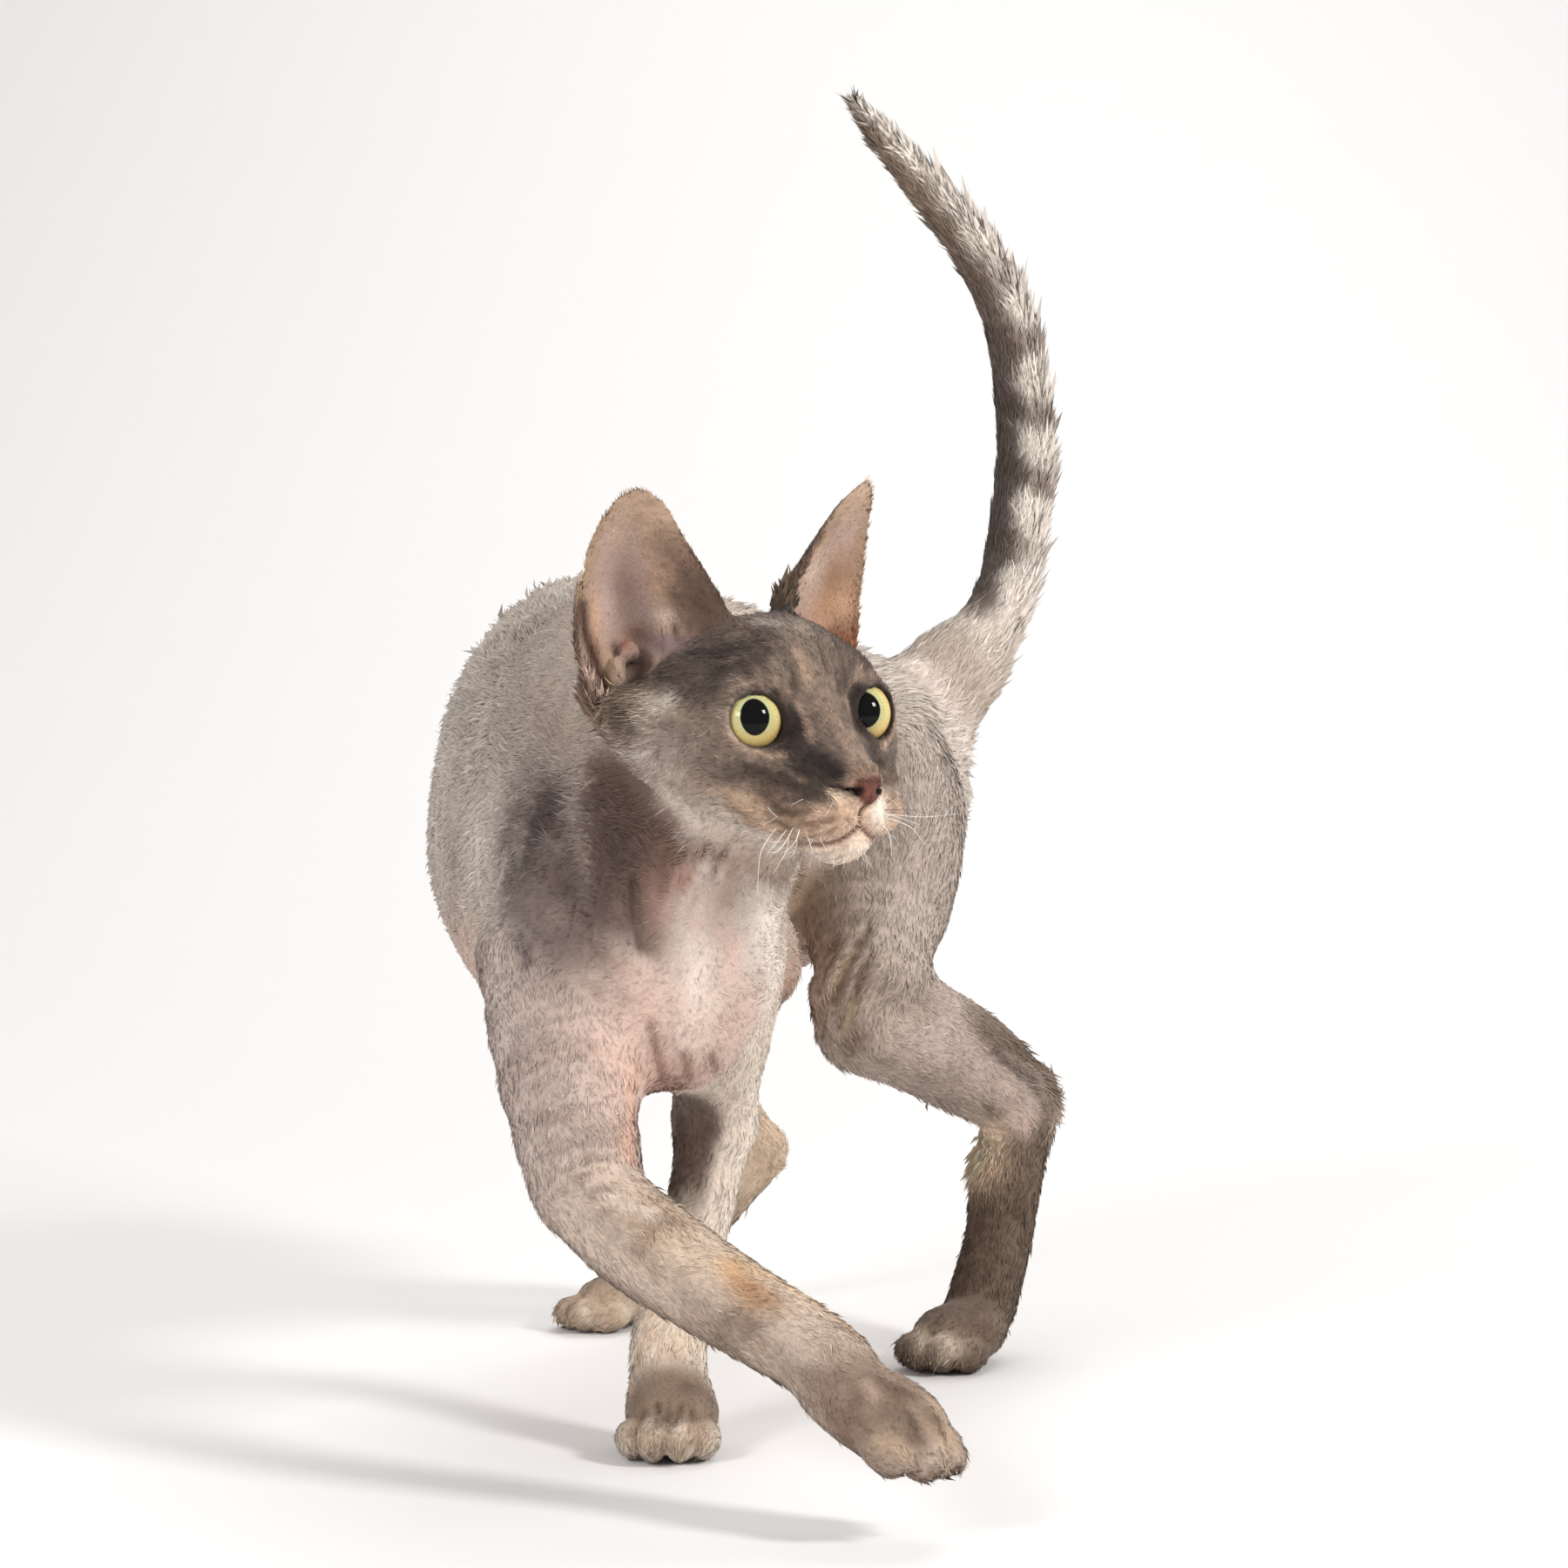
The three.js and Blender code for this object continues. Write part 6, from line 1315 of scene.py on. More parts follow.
# folds as (x, z) places seen from the front, half their width (mm) and how dark they are
FOLD_LINES = [([(-15.5, 192), (-18.7, 187), (-21.5, 180.6)], 1.1, 0.9), ([(-22.2, 191), (-26, 184), (-29.9, 176.7)], 1.0, 0.9),
              ([(-33.4, 192), (-35.5, 187), (-36.3, 183)], 1.3, 0.7), ([(-33.9, 182.5), (-35.8, 179), (-36.9, 175.4)], 1.0, 0.6),
              ([(-28, 184), (-31, 178), (-33, 172)], 1.0, 0.5)]
SLIT = [(-45.6, 179.7), (-45.6, 172.6), (-44.6, 166.4), (-43.1, 160.8)]
FLANK_LINES = [[(3, 145), (1, 137), (-1, 130)], [(12.5, 138), (10.7, 132.8), (11, 120)], [(18.8, 148), (15.2, 143.3), (11.4, 134.6)],
               [(17.7, 132.9), (13.7, 127.6), (12.7, 120.9), (13.8, 117.3)], [(29.6, 152.6), (25.6, 146.8), (21.5, 140.1), (17, 127.9)],
               [(30.1, 143.8), (26.9, 138.5), (24.3, 132.1), (19, 120.3)]]


def colours(F):
    """the one set of markings, with painted light and shade among them, that skin and coat share"""
    legs = leg_colours(F)
    K = {'head': head_colour(F), 'ears': ear_colour(F), 'neck': neck_colour(F), 'trunk': trunk_colour(F), 'tail': tail_colour(F), **legs}
    return over_all(F, sum(K[n] * F['W'][:, i:i + 1] for i, n in enumerate(REGIONS)))


def lie(F):
    """the way the coat lies at each point, along the skin"""
    P, N, h = F['P'], F['N'], F['h']
    D = {}
    # over the head: from the nose back, parting over the brow and down the cheeks
    q = np.stack([h[:, 0] * 0.035, np.full(len(P), -1.0), np.where(h[:, 1] > 20, 0.45, 0.05) - 0.012 * np.clip(-h[:, 2], 0, 40)], 1)
    D['head'] = q @ HA
    D['ears'] = np.tile(ear_axes(1)[2] * 0.9, (len(P), 1)) + np.sign(h[:, :1]) * (HA[0] * 0.25)
    D['neck'] = -F['neck'].T + np.array([0, 0, -0.25])
    D['trunk'] = F['trunk'].T + np.array([0, 0, -0.35]) * (1 - np.abs(F['trunk'].up))[:, None]
    D['tail'] = F['tail'].T
    for n in REGIONS[5:]:
        D[n] = F[n].T
    for name, c, yw, pt, sc, r in PAWS:
        n = name[:-4]
        w = step(8, -4, F[n + '_paw'])[:, None]
        D[n] = D[n] * (1 - w) + (turned(yw, pt)[1] + np.array([0, 0, -0.3])) * w
    d = sum(D[n] * F['W'][:, i:i + 1] for i, n in enumerate(REGIONS))
    d -= (d * N).sum(1)[:, None] * N
    return d / (np.linalg.norm(d, axis=1)[:, None] + 1e-9)


def coat(F):
    """at each point: how long the tufts are, how wide, how far they stand off, how thick they grow"""
    P, N, h = F['P'], F['N'], F['h']
    x, y, z = P.T
    ax = np.abs(h[:, 0])
    n = len(P)
    #              length width  stand  growth
    V = {
        'head': (2.6, 0.22, 0.24, 3.4),
        'ears': (1.8, 0.18, 0.26, 3.2),
        'neck': (3.2, 0.24, 0.22, 2.4),
        'trunk': (4.8, 0.27, 0.22, 1.25),
        'tail': (6.0, 0.23, 0.16, 2.5),
        'foreleg_right': (3.4, 0.24, 0.20, 2.0),
        'foreleg_left': (3.4, 0.24, 0.20, 1.8),
        'hindleg_left': (3.8, 0.25, 0.21, 1.7),
        'hindleg_right': (3.6, 0.25, 0.21, 1.5),
    }
    L, W, S, G = (sum(V[r][k] * F['W'][:, i] for i, r in enumerate(REGIONS)) for k in range(4))
    # the face is the shortest of all, the nose and the lids are bare
    face = step(12, 30, h[:, 1]) * F['W'][:, 0]
    L = L * (1 - 0.20 * face)
    W = W * (1 - 0.14 * face)
    G = G * (1 - leather(h)) * (1 - 0.95 * np.clip(1.3 * mouth(h), 0, 1))
    for s in (1, -1):
        r, u, v, t = eye_place(P, s)
        G = G * (1 - step(1.16, 1.08, r) * step(2, 5, t))
    # long hair at the ear's foot, none in its cup's depth
    foot = np.exp(-((ax - 44) / 8) ** 2 - ((h[:, 1] + 18) / 12) ** 2 - ((h[:, 2] - 8) / 12) ** 2)
    L = L + 4.2 * foot
    S = S + 0.18 * foot
    for s, (a, b, c) in zip((1, -1), F['ear']):
        inn = (h[:, 0] * s > 8) * step(-0.5, 0.8, c) * F['W'][:, 1]
        lo = -0.2 + (0.45 * step(10, 20, b) if s < 0 else 0.0)
        bare = step(lo, lo + 0.25, a) * step(0.9, 0.6, a) * step(46, 36, b)
        G = G * (1 - inn * bare * 0.85)
        edge = step(0.85, 1.0, np.abs(a)) * (h[:, 0] * s > 8) * F['W'][:, 1]
        L = L + 0.5 * edge
        S = S + 0.12 * edge
        G = G * (1 + 1.6 * edge)
        if s < 0:
            mane = step(-0.72, -0.92, a) * bump(b, 15, 12) * step(1.2, -0.2, c) * F['W'][:, 1] * (h[:, 0] < -8)
            L = L + 3.4 * mane
            S = S + 0.24 * mane
            G = G * (1 + 1.5 * mane)
    flare = blob(h, (-9, 0, 34), (5, 6, 4))
    L = L + 2.8 * flare
    S = S + 0.26 * flare
    G = G * (1 + 0.8 * flare)
    # the back's coat is the longest, the breast, the belly and the armpits are thin
    T = F['trunk']
    wt = F['W'][:, 3]
    L = L + wt * step(0.2, 0.95, T.up) * 1.8
    S = S + wt * step(0.4, 0.95, T.up) * 0.10
    rump = blob(P, (76, 200, 214), (26, 60, 46)) * wt * step(0.1, 0.6, N[:, 0])
    L = L + 3.4 * rump
    S = S + 0.16 * rump
    thin = step(-0.3, -0.8, T.up) * wt
    breast = step(-0.35, -0.8, N[:, 1]) * step(40, 0, y) * step(196, 176, z) * (wt + F['W'][:, 2])
    thin = np.clip(thin + breast, 0, 1)
    G = G * (1 - 0.35 * thin)
    L = L * (1 - 0.35 * thin)
    throat = np.exp(-(((x + 22) / 20) ** 2 + ((y + 44) / 20) ** 2 + ((z - 178) / 24) ** 2))
    G = G * (1 - 0.55 * throat)
    L = L * (1 - 0.35 * throat)
    # the tail's fringe, its base, its tip
    T = F['tail']
    wl = F['W'][:, 4]
    fringe = step(0.0, 0.8, N[:, 0] * 0.8 + N[:, 1] * 0.35)
    L = L + wl * fringe * 4.6 * step(0.05, 0.2, T.s) * step(1.0, 0.75, T.s)
    S = S + wl * fringe * 0.16
    L = L + wl * step(0.5, 0.8, T.s) * 1.6
    S = S + wl * step(0.45, 0.85, T.s) * 0.10
    W = W * (1 - 0.3 * wl * fringe)
    G = G * (1 + 0.7 * wl * fringe)
    # hock and elbow tufts, short hair on the paws
    T = F['hindleg_left']
    hock = np.exp(-((T.s - 0.66) / 0.07) ** 2) * step(-0.4, 0.5, N[:, 1] + 0.5 * N[:, 0]) * F['W'][:, 7]
    L = L + 4.5 * hock
    S = S + 0.12 * hock
    # curly tan tufts before the hock and ruffles down the front of the shin
    curl = blob(P, (71, 196, 68), (8, 16, 9)) + 0.5 * blob(P, (60, 168, 90), (12, 20, 5)) * step(0, -0.7, N[:, 2])
    L = L + 3.4 * curl
    S = S + 0.32 * curl
    for name, c, yw, pt, sc, r in PAWS:
        k = step(6, -4, F[name[:-4] + '_paw'])
        L = L * (1 - 0.38 * k)
        W = W * (1 - 0.15 * k)
        down = (N @ turned(yw, pt).T)[:, 2]
        G = G * (1 - k * step(-0.5, -0.85, down))
    G = G * step(0.2, 1.2, z)
    return L, W, S, G


def folds(F):
    """how far the skin rises or sinks (mm): throat folds, flank and brow wrinkles, the mouth"""
    P, N, h = F['P'], F['N'], F['h']
    x, y, z = P.T
    n1 = rough(P, 16)
    D = np.zeros(len(P))
    fr = step(0.1, -0.5, N[:, 1]) * step(34, 12, y) * (F['W'][:, 2] + F['W'][:, 3] + F['W'][:, 5])
    for line, wide, dark in FOLD_LINES:
        D -= stroke(P, line, wide * 1.2) * fr * dark * 1.1
        D += stroke(P, [(a + 3.2, b + 1.2) for a, b in line], wide * 1.4) * fr * dark * 0.6
    D -= 2.0 * stroke(P, SLIT, 2.0) * fr
    rear = step(92, 108, y) * step(200, 185, y) * step(-14, -4, x) * step(42, 34, x) * step(0.35, -0.2, N[:, 1])
    for line in FLANK_LINES:
        D -= stroke(P, line, 1.9) * rear * 1.5
        D += stroke(P, [(a + 3.4, b - 1.6) for a, b in line], 2.2) * rear * 0.7
    T = F['foreleg_right']
    D += 0.35 * np.sin(T.s * 52 + 2.2 * n1 + T.turn * 0.8) * F['W'][:, 5] * step(0.6, 0.4, T.s)
    # soft waves of the coat over the back and the sides
    T = F['trunk']
    D += F['W'][:, 3] * 0.45 * np.sin(T.s * 88 + 2.4 * n1 + T.turn * 1.5)
    D += F['W'][:, 4] * 0.12 * np.sin(F['tail'].s * F['tail'].length * 2 * np.pi / 17)
    D -= 1.1 * mouth(h) * F['W'][:, 0]
    # brow wrinkles
    up = step(3, 9, h[:, 2]) * step(10, 18, h[:, 1]) * F['W'][:, 0]
    D += 0.28 * up * np.cos(np.abs(h[:, 0]) * 1.5)
    # the bridge's left side falls in towards the corner of the eye
    D -= 2.9 * np.exp(-((h[:, 0] + 9.6) / 3.6) ** 2 - ((h[:, 1] - 34) / 7) ** 2 - ((h[:, 2] + 2.2) / 6.5) ** 2) * F['W'][:, 0]
    return D

# ---------------------------------------------------------------- from arrays to Blender pieces
ORI = np.array(ORIGIN, float)


def metres(P):
    return (np.asarray(P, float) - ORI) * 0.001


def piece(name, P, F, material, colour=None, uv=None, normal=None, smooth=True):
    """a mesh from points in mm and faces all of one size, riding on the body"""
    me = bpy.data.meshes.new(name)
    F = np.ascontiguousarray(F, np.int32)
    me.vertices.add(len(P))
    me.vertices.foreach_set('co', metres(P).astype(f32).ravel())
    me.loops.add(F.size)
    me.loops.foreach_set('vertex_index', F.ravel())
    me.polygons.add(len(F))
    me.polygons.foreach_set('loop_start', np.arange(0, F.size, F.shape[1], dtype=np.int32))
    me.update(calc_edges=True)
    me.polygons.foreach_set('use_smooth', np.full(len(F), smooth))
    if colour is not None:
        a = me.color_attributes.new(name='Col', type='FLOAT_COLOR', domain='POINT')
        a.data.foreach_set('color', np.c_[np.clip(colour, 0, 1), np.ones(len(P))].astype(f32).ravel())
    if uv is not None:
        u = me.uv_layers.new(name='OFBake')
        u.data.foreach_set('uv', uv[F.ravel()].astype(f32).ravel())
    if normal is not None:
        me.normals_split_custom_set_from_vertices(normal.astype(f32))
    o = bpy.data.objects.new(name, me)
    bpy.context.scene.collection.objects.link(o)
    me.materials.append(material)
    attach(o, "root")
    return o


def material(name, rough_=0.7, sheen=0.0, spec=0.4, coat_=0.0, sub=0.0, grain=0.0, grain_size=900.0, depth=0.0, colour=None, speck=0.0):
    """colour from the painted markings and painted light and shade, broken up by fine grain, with a little relief"""
    m = bpy.data.materials.new(name)
    m.use_nodes = True
    nt = m.node_tree
    b = nt.nodes['Principled BSDF']
    b.inputs['Roughness'].default_value = rough_
    b.inputs['Specular IOR Level'].default_value = spec
    b.inputs['Sheen Weight'].default_value = sheen
    b.inputs['Sheen Roughness'].default_value = 0.5
    b.inputs['Coat Weight'].default_value = coat_
    b.inputs['Coat Roughness'].default_value = 0.03
    if sub:
        b.inputs['Subsurface Weight'].default_value = sub
        b.inputs['Subsurface Radius'].default_value = (1.0, 0.45, 0.3)
        b.inputs['Subsurface Scale'].default_value = 0.0022
    tc = nt.nodes.new('ShaderNodeTexCoord')
    n = nt.nodes.new('ShaderNodeTexNoise')
    n.inputs['Scale'].default_value = grain_size
    n.inputs['Detail'].default_value = 3.0
    nt.links.new(tc.outputs['Object'], n.inputs['Vector'])
    if colour is None:
        src = nt.nodes.new('ShaderNodeVertexColor')
        src.layer_name = 'Col'
        out = src.outputs['Color']
    else:
        src = nt.nodes.new('ShaderNodeMix')
        src.data_type = 'RGBA'
        src.inputs['A'].default_value = (*rgb(*colour[0]), 1)
        src.inputs['B'].default_value = (*rgb(*colour[1]), 1)
        n2 = nt.nodes.new('ShaderNodeTexNoise')
        n2.inputs['Scale'].default_value = speck or 300.0
        nt.links.new(tc.outputs['Object'], n2.inputs['Vector'])
        nt.links.new(n2.outputs['Fac'], src.inputs['Factor'])
        out = src.outputs['Result']
    if grain:
        r = nt.nodes.new('ShaderNodeMapRange')
        r.inputs['From Min'].default_value = 0.25
        r.inputs['From Max'].default_value = 0.75
        r.inputs['To Min'].default_value = 1 - grain
        r.inputs['To Max'].default_value = 1 + grain
        nt.links.new(n.outputs['Fac'], r.inputs['Value'])
        v = nt.nodes.new('ShaderNodeVectorMath')
        v.operation = 'MULTIPLY'
        nt.links.new(out, v.inputs[0])
        nt.links.new(r.outputs['Result'], v.inputs[1])
        out = v.outputs['Vector']
    nt.links.new(out, b.inputs['Base Color'])
    if depth:
        h = nt.nodes.new('ShaderNodeBump')
        h.inputs['Strength'].default_value = 0.6
        h.inputs['Distance'].default_value = depth
        nt.links.new(n.outputs['Fac'], h.inputs['Height'])
        nt.links.new(h.outputs['Normal'], b.inputs['Normal'])
    return m


SKIN = material('skin_with_down', 0.75, 0.06, 0.16, sub=0.08, grain=0.14, grain_size=1100.0, depth=0.0004)
FUR = material('coat_hair', 0.8, 0.05, 0.10, grain=0.05, grain_size=1600.0)
EYE_M = material('eye_wet', 0.5, 0.0, 0.0, coat_=0.30, grain=0.03, grain_size=2500.0)
HORN = material('claw_horn', 0.3, 0.0, 0.5, grain=0.06, grain_size=900.0, depth=0.0001, colour=((214, 198, 178), (236, 226, 212)), speck=500.0)
WHISKER = material('whisker_hair', 0.35, 0.0, 0.5, grain=0.03, colour=((232, 228, 222), (250, 248, 244)), speck=200.0)
DARK_WHISKER = material('dark_whisker_hair', 0.4, 0.0, 0.5, grain=0.03, colour=((70, 58, 52), (110, 96, 88)), speck=200.0)

# ---------------------------------------------------------------- the skin
P, Q = skin_mesh([marks(*a) for a in AXES])
P = eased_mesh(P, Q, 2, 0.4)
FINE = body(0.0, 1.5)
d = at_points(FINE, P)
for _ in range(6):
    P2 = P - np.clip(d, -1.0, 1.0)[:, None] * normals(P, Q) * 0.85
    d2 = at_points(FINE, P2)
    better = np.abs(d2) < np.abs(d)
    P[better] = P2[better]
    d = np.where(better, d2, d)
# the ears' thin rims are evened out once more
F = {'h': to_head(P), 'ear': [ear_shape(s, P) for s in (1, -1)]}
rim = np.zeros(len(P))
for s, (a, b, c) in zip((1, -1), F['ear']):
    near = (F['h'][:, 0] * s > 8) & (np.abs(c) < 5) & (b > -12)
    rim = np.maximum(rim, near * np.maximum(step(0.72, 0.9, np.abs(a)), step(46, 50, b)))
for _ in range(12):
    P = P + (eased_mesh(P, Q, 1, 0.5) - P) * rim[:, None]
N = normals(P, Q)
F = fields(P, N)
P = P + N * folds(F)[:, None]
P[:, 2] = np.maximum(P[:, 2], 0.05)
N = normals(P, Q)
F = fields(P, N)
COL = colours(F)
LIE = lie(F)
LONG, WIDE, STAND, GROW = coat(F)
FLESH = [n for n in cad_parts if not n.startswith('eye_')]
skin = piece('skin', P, Q, SKIN, colour=COL)
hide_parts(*FLESH)

# ---------------------------------------------------------------- an unwrap of the skin, on which each tuft has its patch
CHARTS = [('head', 190, 92), ('ear_r_in', 52, 88), ('ear_r_out', 52, 88), ('ear_l_in', 52, 88), ('ear_l_out', 52, 88),
          ('neck', 210, 90), ('trunk', 420, 300), ('tail', 76, 320), ('foreleg_right', 110, 230), ('foreleg_left', 90, 200),
          ('hindleg_left', 110, 270), ('hindleg_right', 100, 240)] + [(p[0] + s, 44, 56) for p in PAWS for s in ('_top', '_sole')]
ROOM = {}
side_ = 620.0
cx = cy = row = 0.0
for n, w, h_ in sorted(CHARTS, key=lambda c: -c[2]):
    if cx + w > side_:
        cx, cy, row = 0.0, cy + row + 4, 0.0
    ROOM[n] = (cx, cy, w, h_)
    cx += w + 4
    row = max(row, h_)
TALL = max(side_, cy + row + 4)


def unwrap(F):
    uv = np.zeros((len(F['P']), 2))

    def put(n, u, v, m):
        x0, y0, w, h_ = ROOM[n]
        uv[m, 0] = ((x0 + np.clip(u, 0.01, 0.99) * w) / TALL)[m]
        uv[m, 1] = ((y0 + np.clip(v, 0.01, 0.99) * h_) / TALL)[m]
    h = F['h']
    put('head', np.arctan2(h[:, 0], h[:, 1] - 4) / 6.2832 + 0.5, (h[:, 2] + 46) / 92, F['region'] == 0)
    for s, t, (a, b, c) in zip((1, -1), 'rl', F['ear']):
        for k, f in (('in', c > 0), ('out', c <= 0)):
            put(f'ear_{t}_{k}', a / 2.4 + 0.5, (b + 30) / 88, (F['region'] == 1) & f & (h[:, 0] * s > 0))
    for i, n in enumerate(REGIONS[2:], 2):
        put(n, F[n].turn / 6.2832 + 0.5, F[n].s, F['region'] == i)
    for name, c, yw, pt, sc, r in PAWS:
        A = turned(yw, pt)
        q = (F['P'] - np.array(c, float)) @ A.T
        m = (F['region'] == REGIONS.index(name[:-4])) & (F[name[:-4] + '_paw'] < 4)
        up = (F['N'] @ A.T)[:, 2] > 0
        put(name + '_top', q[:, 0] / 44 + 0.5, q[:, 1] / 56 + 0.45, m & up)
        put(name + '_sole', q[:, 0] / 44 + 0.5, q[:, 1] / 56 + 0.45, m & ~up)
    return uv


# ---------------------------------------------------------------- the coat
AREA = 0.5 * np.linalg.norm(np.cross(P[Q[:, 2]] - P[Q[:, 0]], P[Q[:, 3]] - P[Q[:, 1]]), axis=1)
QREG = F['region'][Q[:, 0]]
TRI = np.array([[0, 2, 1], [3, 1, 2], [0, 1, 3], [0, 3, 2]])


def tufts(name, quads, count, seed):
    R = np.random.RandomState(seed)
    g = AREA[quads] * GROW[Q[quads]].mean(1)
    pick = quads[R.choice(len(quads), count, p=g / g.sum())]
    a, b = R.rand(count), R.rand(count)
    w = np.stack([(1 - a) * (1 - b), a * (1 - b), a * b, (1 - a) * b], 1)

    def at(V):
        return np.einsum('ij,ij...->i...', w, V[Q[pick]])
    p, n, c, d = at(P), at(N), at(COL), at(LIE)
    n /= np.linalg.norm(n, axis=1)[:, None]
    L = at(LONG) * np.exp(R.randn(count) * 0.20)
    W = at(WIDE) * np.exp(R.randn(count) * 0.18)
    S = np.clip(at(STAND) * np.exp(R.randn(count) * 0.22), 0.06, 0.92)
    # waves: the lie turns to and fro in smooth patches, and each tuft a little more
    wavy = 0.35 if name in ('coat_head', 'coat_ears') else 0.35 if 'tail' in name else 0.9
    turn = wavy * (0.50 * noise(p, 8.5, 3) + 0.30 * noise(p, 3.6, 11)) + R.randn(count) * 0.12
    d -= (d * n).sum(1)[:, None] * n
    d /= np.linalg.norm(d, axis=1)[:, None] + 1e-9
    s = np.cross(n, d)
    d = d * np.cos(turn)[:, None] + s * np.sin(turn)[:, None]
    s = np.cross(n, d)
    fly = R.rand(count) < (0.0 if 'tail' in name else 0.03)
    S = np.where(fly, np.clip(S * 1.5, 0, 0.95), S)
    L = np.where(fly, L * 1.15, L)
    W = np.where(fly, W * 0.7, W)
    a1, a2 = np.arcsin(np.clip(S * 1.2, 0, 0.97))[:, None], np.arcsin(S * 0.55)[:, None]
    curl = (R.randn(count) * 0.20)[:, None]
    L1 = (L * 0.5)[:, None]
    root = p - n * 0.4
    mid = root + (d * np.cos(a1) + n * np.sin(a1)) * L1
    tip = mid + (d * np.cos(a2) + n * np.sin(a2) + s * curl) * L1
    top = n * np.cos(a1) - d * np.sin(a1)
    hw = (W * 0.5)[:, None]
    mid = mid + top * hw * 0.4
    X = np.stack([root, mid + s * hw, mid - s * hw, tip], 1).reshape(-1, 3)
    X[:, 0] = np.clip(X[:, 0], SIDES[0], SIDES[1])
    X[:, 2] = np.maximum(X[:, 2], 0.02)
    nn = np.stack([n, n * 0.85 + s * 0.35, n * 0.85 - s * 0.35, n * 0.85 + d * 0.25], 1).reshape(-1, 3)
    nn /= np.linalg.norm(nn, axis=1)[:, None]
    vary = 0.28 if name == 'coat_head' else 0.28 if name == 'coat_ears' else 0.14
    k = np.exp(R.randn(count) * vary)[:, None]
    c = np.minimum(c * k, 0.9)
    cc = np.stack([c * 0.80, c, c, np.minimum(c * 1.10 + 0.003, 0.95)], 1).reshape(-1, 3)
    G = fields(p, n)
    o = unwrap(G)
    e = 0.0015
    uv = np.stack([o + [-e, 0], o + [0, e], o + [0, -e], o + [e, 0]], 1).reshape(-1, 2)
    faces = (TRI[None] + np.arange(count)[:, None, None] * 4).reshape(-1, 3)
    return piece(name, X, faces, FUR, colour=cc, uv=uv, normal=nn)


thin = 1.0
WEIGHT = AREA * GROW[Q].mean(1)
s_ = F['trunk'].s[Q[:, 0]]
SETS = {n: QREG == REGIONS.index(n) for n in REGIONS if n != 'trunk'}
SETS['trunk_front'] = (QREG == 3) & (s_ < 0.38)
SETS['trunk_middle'] = (QREG == 3) & (s_ >= 0.38) & (s_ < 0.64)
SETS['trunk_rear'] = (QREG == 3) & (s_ >= 0.64)
# one share of tufts for each bit of skin, so that no piece ends in a step
share = min(TUFTS_ALL / WEIGHT.sum(), TUFTS_MOST / max(WEIGHT[m].sum() for m in SETS.values()))
for i, (n, m) in enumerate(SETS.items()):
    tufts('coat_' + n, np.nonzero(m)[0], int(WEIGHT[m].sum() * share * thin), 100 + i)

# ---------------------------------------------------------------- the eyes
for side, name in ((1, 'eye_right'), (-1, 'eye_left')):
    c, A = eye_axes(side)
    R0 = EYE[3] - 0.25
    rings, spokes = 110, 128
    th = np.r_[0, np.linspace(0.006, 1.0, rings - 30), np.linspace(1.04, np.pi, 30)]
    ph = np.arange(spokes) / spokes * 2 * np.pi
    TH, PH = np.meshgrid(th[1:-1], ph, indexing='ij')
    dirs_ = np.stack([np.sin(TH) * np.cos(PH), np.cos(TH), np.sin(TH) * np.sin(PH)], -1).reshape(-1, 3)
    dirs_ = np.vstack([[0, 1, 0], dirs_, [0, -1, 0]])
    tt = np.arccos(np.clip(dirs_[:, 1], -1, 1))
    r = R0 + 0.55 * step(0.95, 0.1, tt)
    X = c + (dirs_ * r[:, None]) @ A
    n_ = rings - 2 + 1
    idx = 1 + np.arange((len(th) - 2) * spokes).reshape(-1, spokes)
    q = np.stack([idx[:-1], idx[1:], np.roll(idx[1:], -1, 1), np.roll(idx[:-1], -1, 1)], -1).reshape(-1, 4)
    cap0 = np.stack([np.zeros(spokes, int), idx[0], np.roll(idx[0], -1), np.roll(idx[0], -1)], 1)
    cap1 = np.stack([np.full(spokes, len(X) - 1), np.roll(idx[-1], -1), idx[-1], idx[-1]], 1)
    tri = np.vstack([q[:, [0, 1, 2]], q[:, [0, 2, 3]], cap0[:, :3], cap1[:, :3]])
    if np.linalg.det(np.array([X[tri[0, 1]] - X[tri[0, 0]], X[tri[0, 2]] - X[tri[0, 0]], X[tri[0, 0]] - c])) < 0:
        tri = tri[:, ::-1]
    # the way the eye looks, the pupil an upright oval, the iris wide
    G = turned(GAZE[name][0], GAZE[name][1])
    g = (X - c) @ G.T
    g /= np.linalg.norm(g, axis=1)[:, None]
    u, v = g[:, 0] * R0, g[:, 2] * R0
    th_ = np.degrees(np.arccos(np.clip(g[:, 1], -1, 1)))
    ang = np.arctan2(v, u)
    front = g[:, 1] > 0.1
    pup = np.sqrt((u / 4.25) ** 2 + (v / (5.35 - 0.35 * np.cos(ang) ** 2)) ** 2)
    fibre = noise(np.stack([np.cos(ang) * 30, np.sin(ang) * 30, th_ * 0.1], 1), 1.3) + 0.6 * noise(np.stack([np.cos(ang) * 60, np.sin(ang) * 60, th_ * 0.15], 1), 1.3, 9)
    C = Paint(len(X), (198, 180, 116))
    C.coat((206, 192, 132), bump(th_, 40, 9) * 0.8)
    C.coat((172, 178, 132), step(1.6, 1.04, pup) * 0.8)
    C.coat((208, 166, 96), step(-1, -7, v) * 0.45)
    C.shade(1 + 0.10 * fibre)
    C.coat((196, 158, 96), step(46, 54, th_) * 0.6)
    C.coat((70, 56, 36), step(57, 63, th_) * 0.85)
    C.coat((8, 7, 7), step(1.035, 0.975, pup) * front)
    C.coat((60, 42, 34), (~front).astype(float))
    o = piece(name + '_globe', X, tri, EYE_M, colour=C.c)
    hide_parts(name)

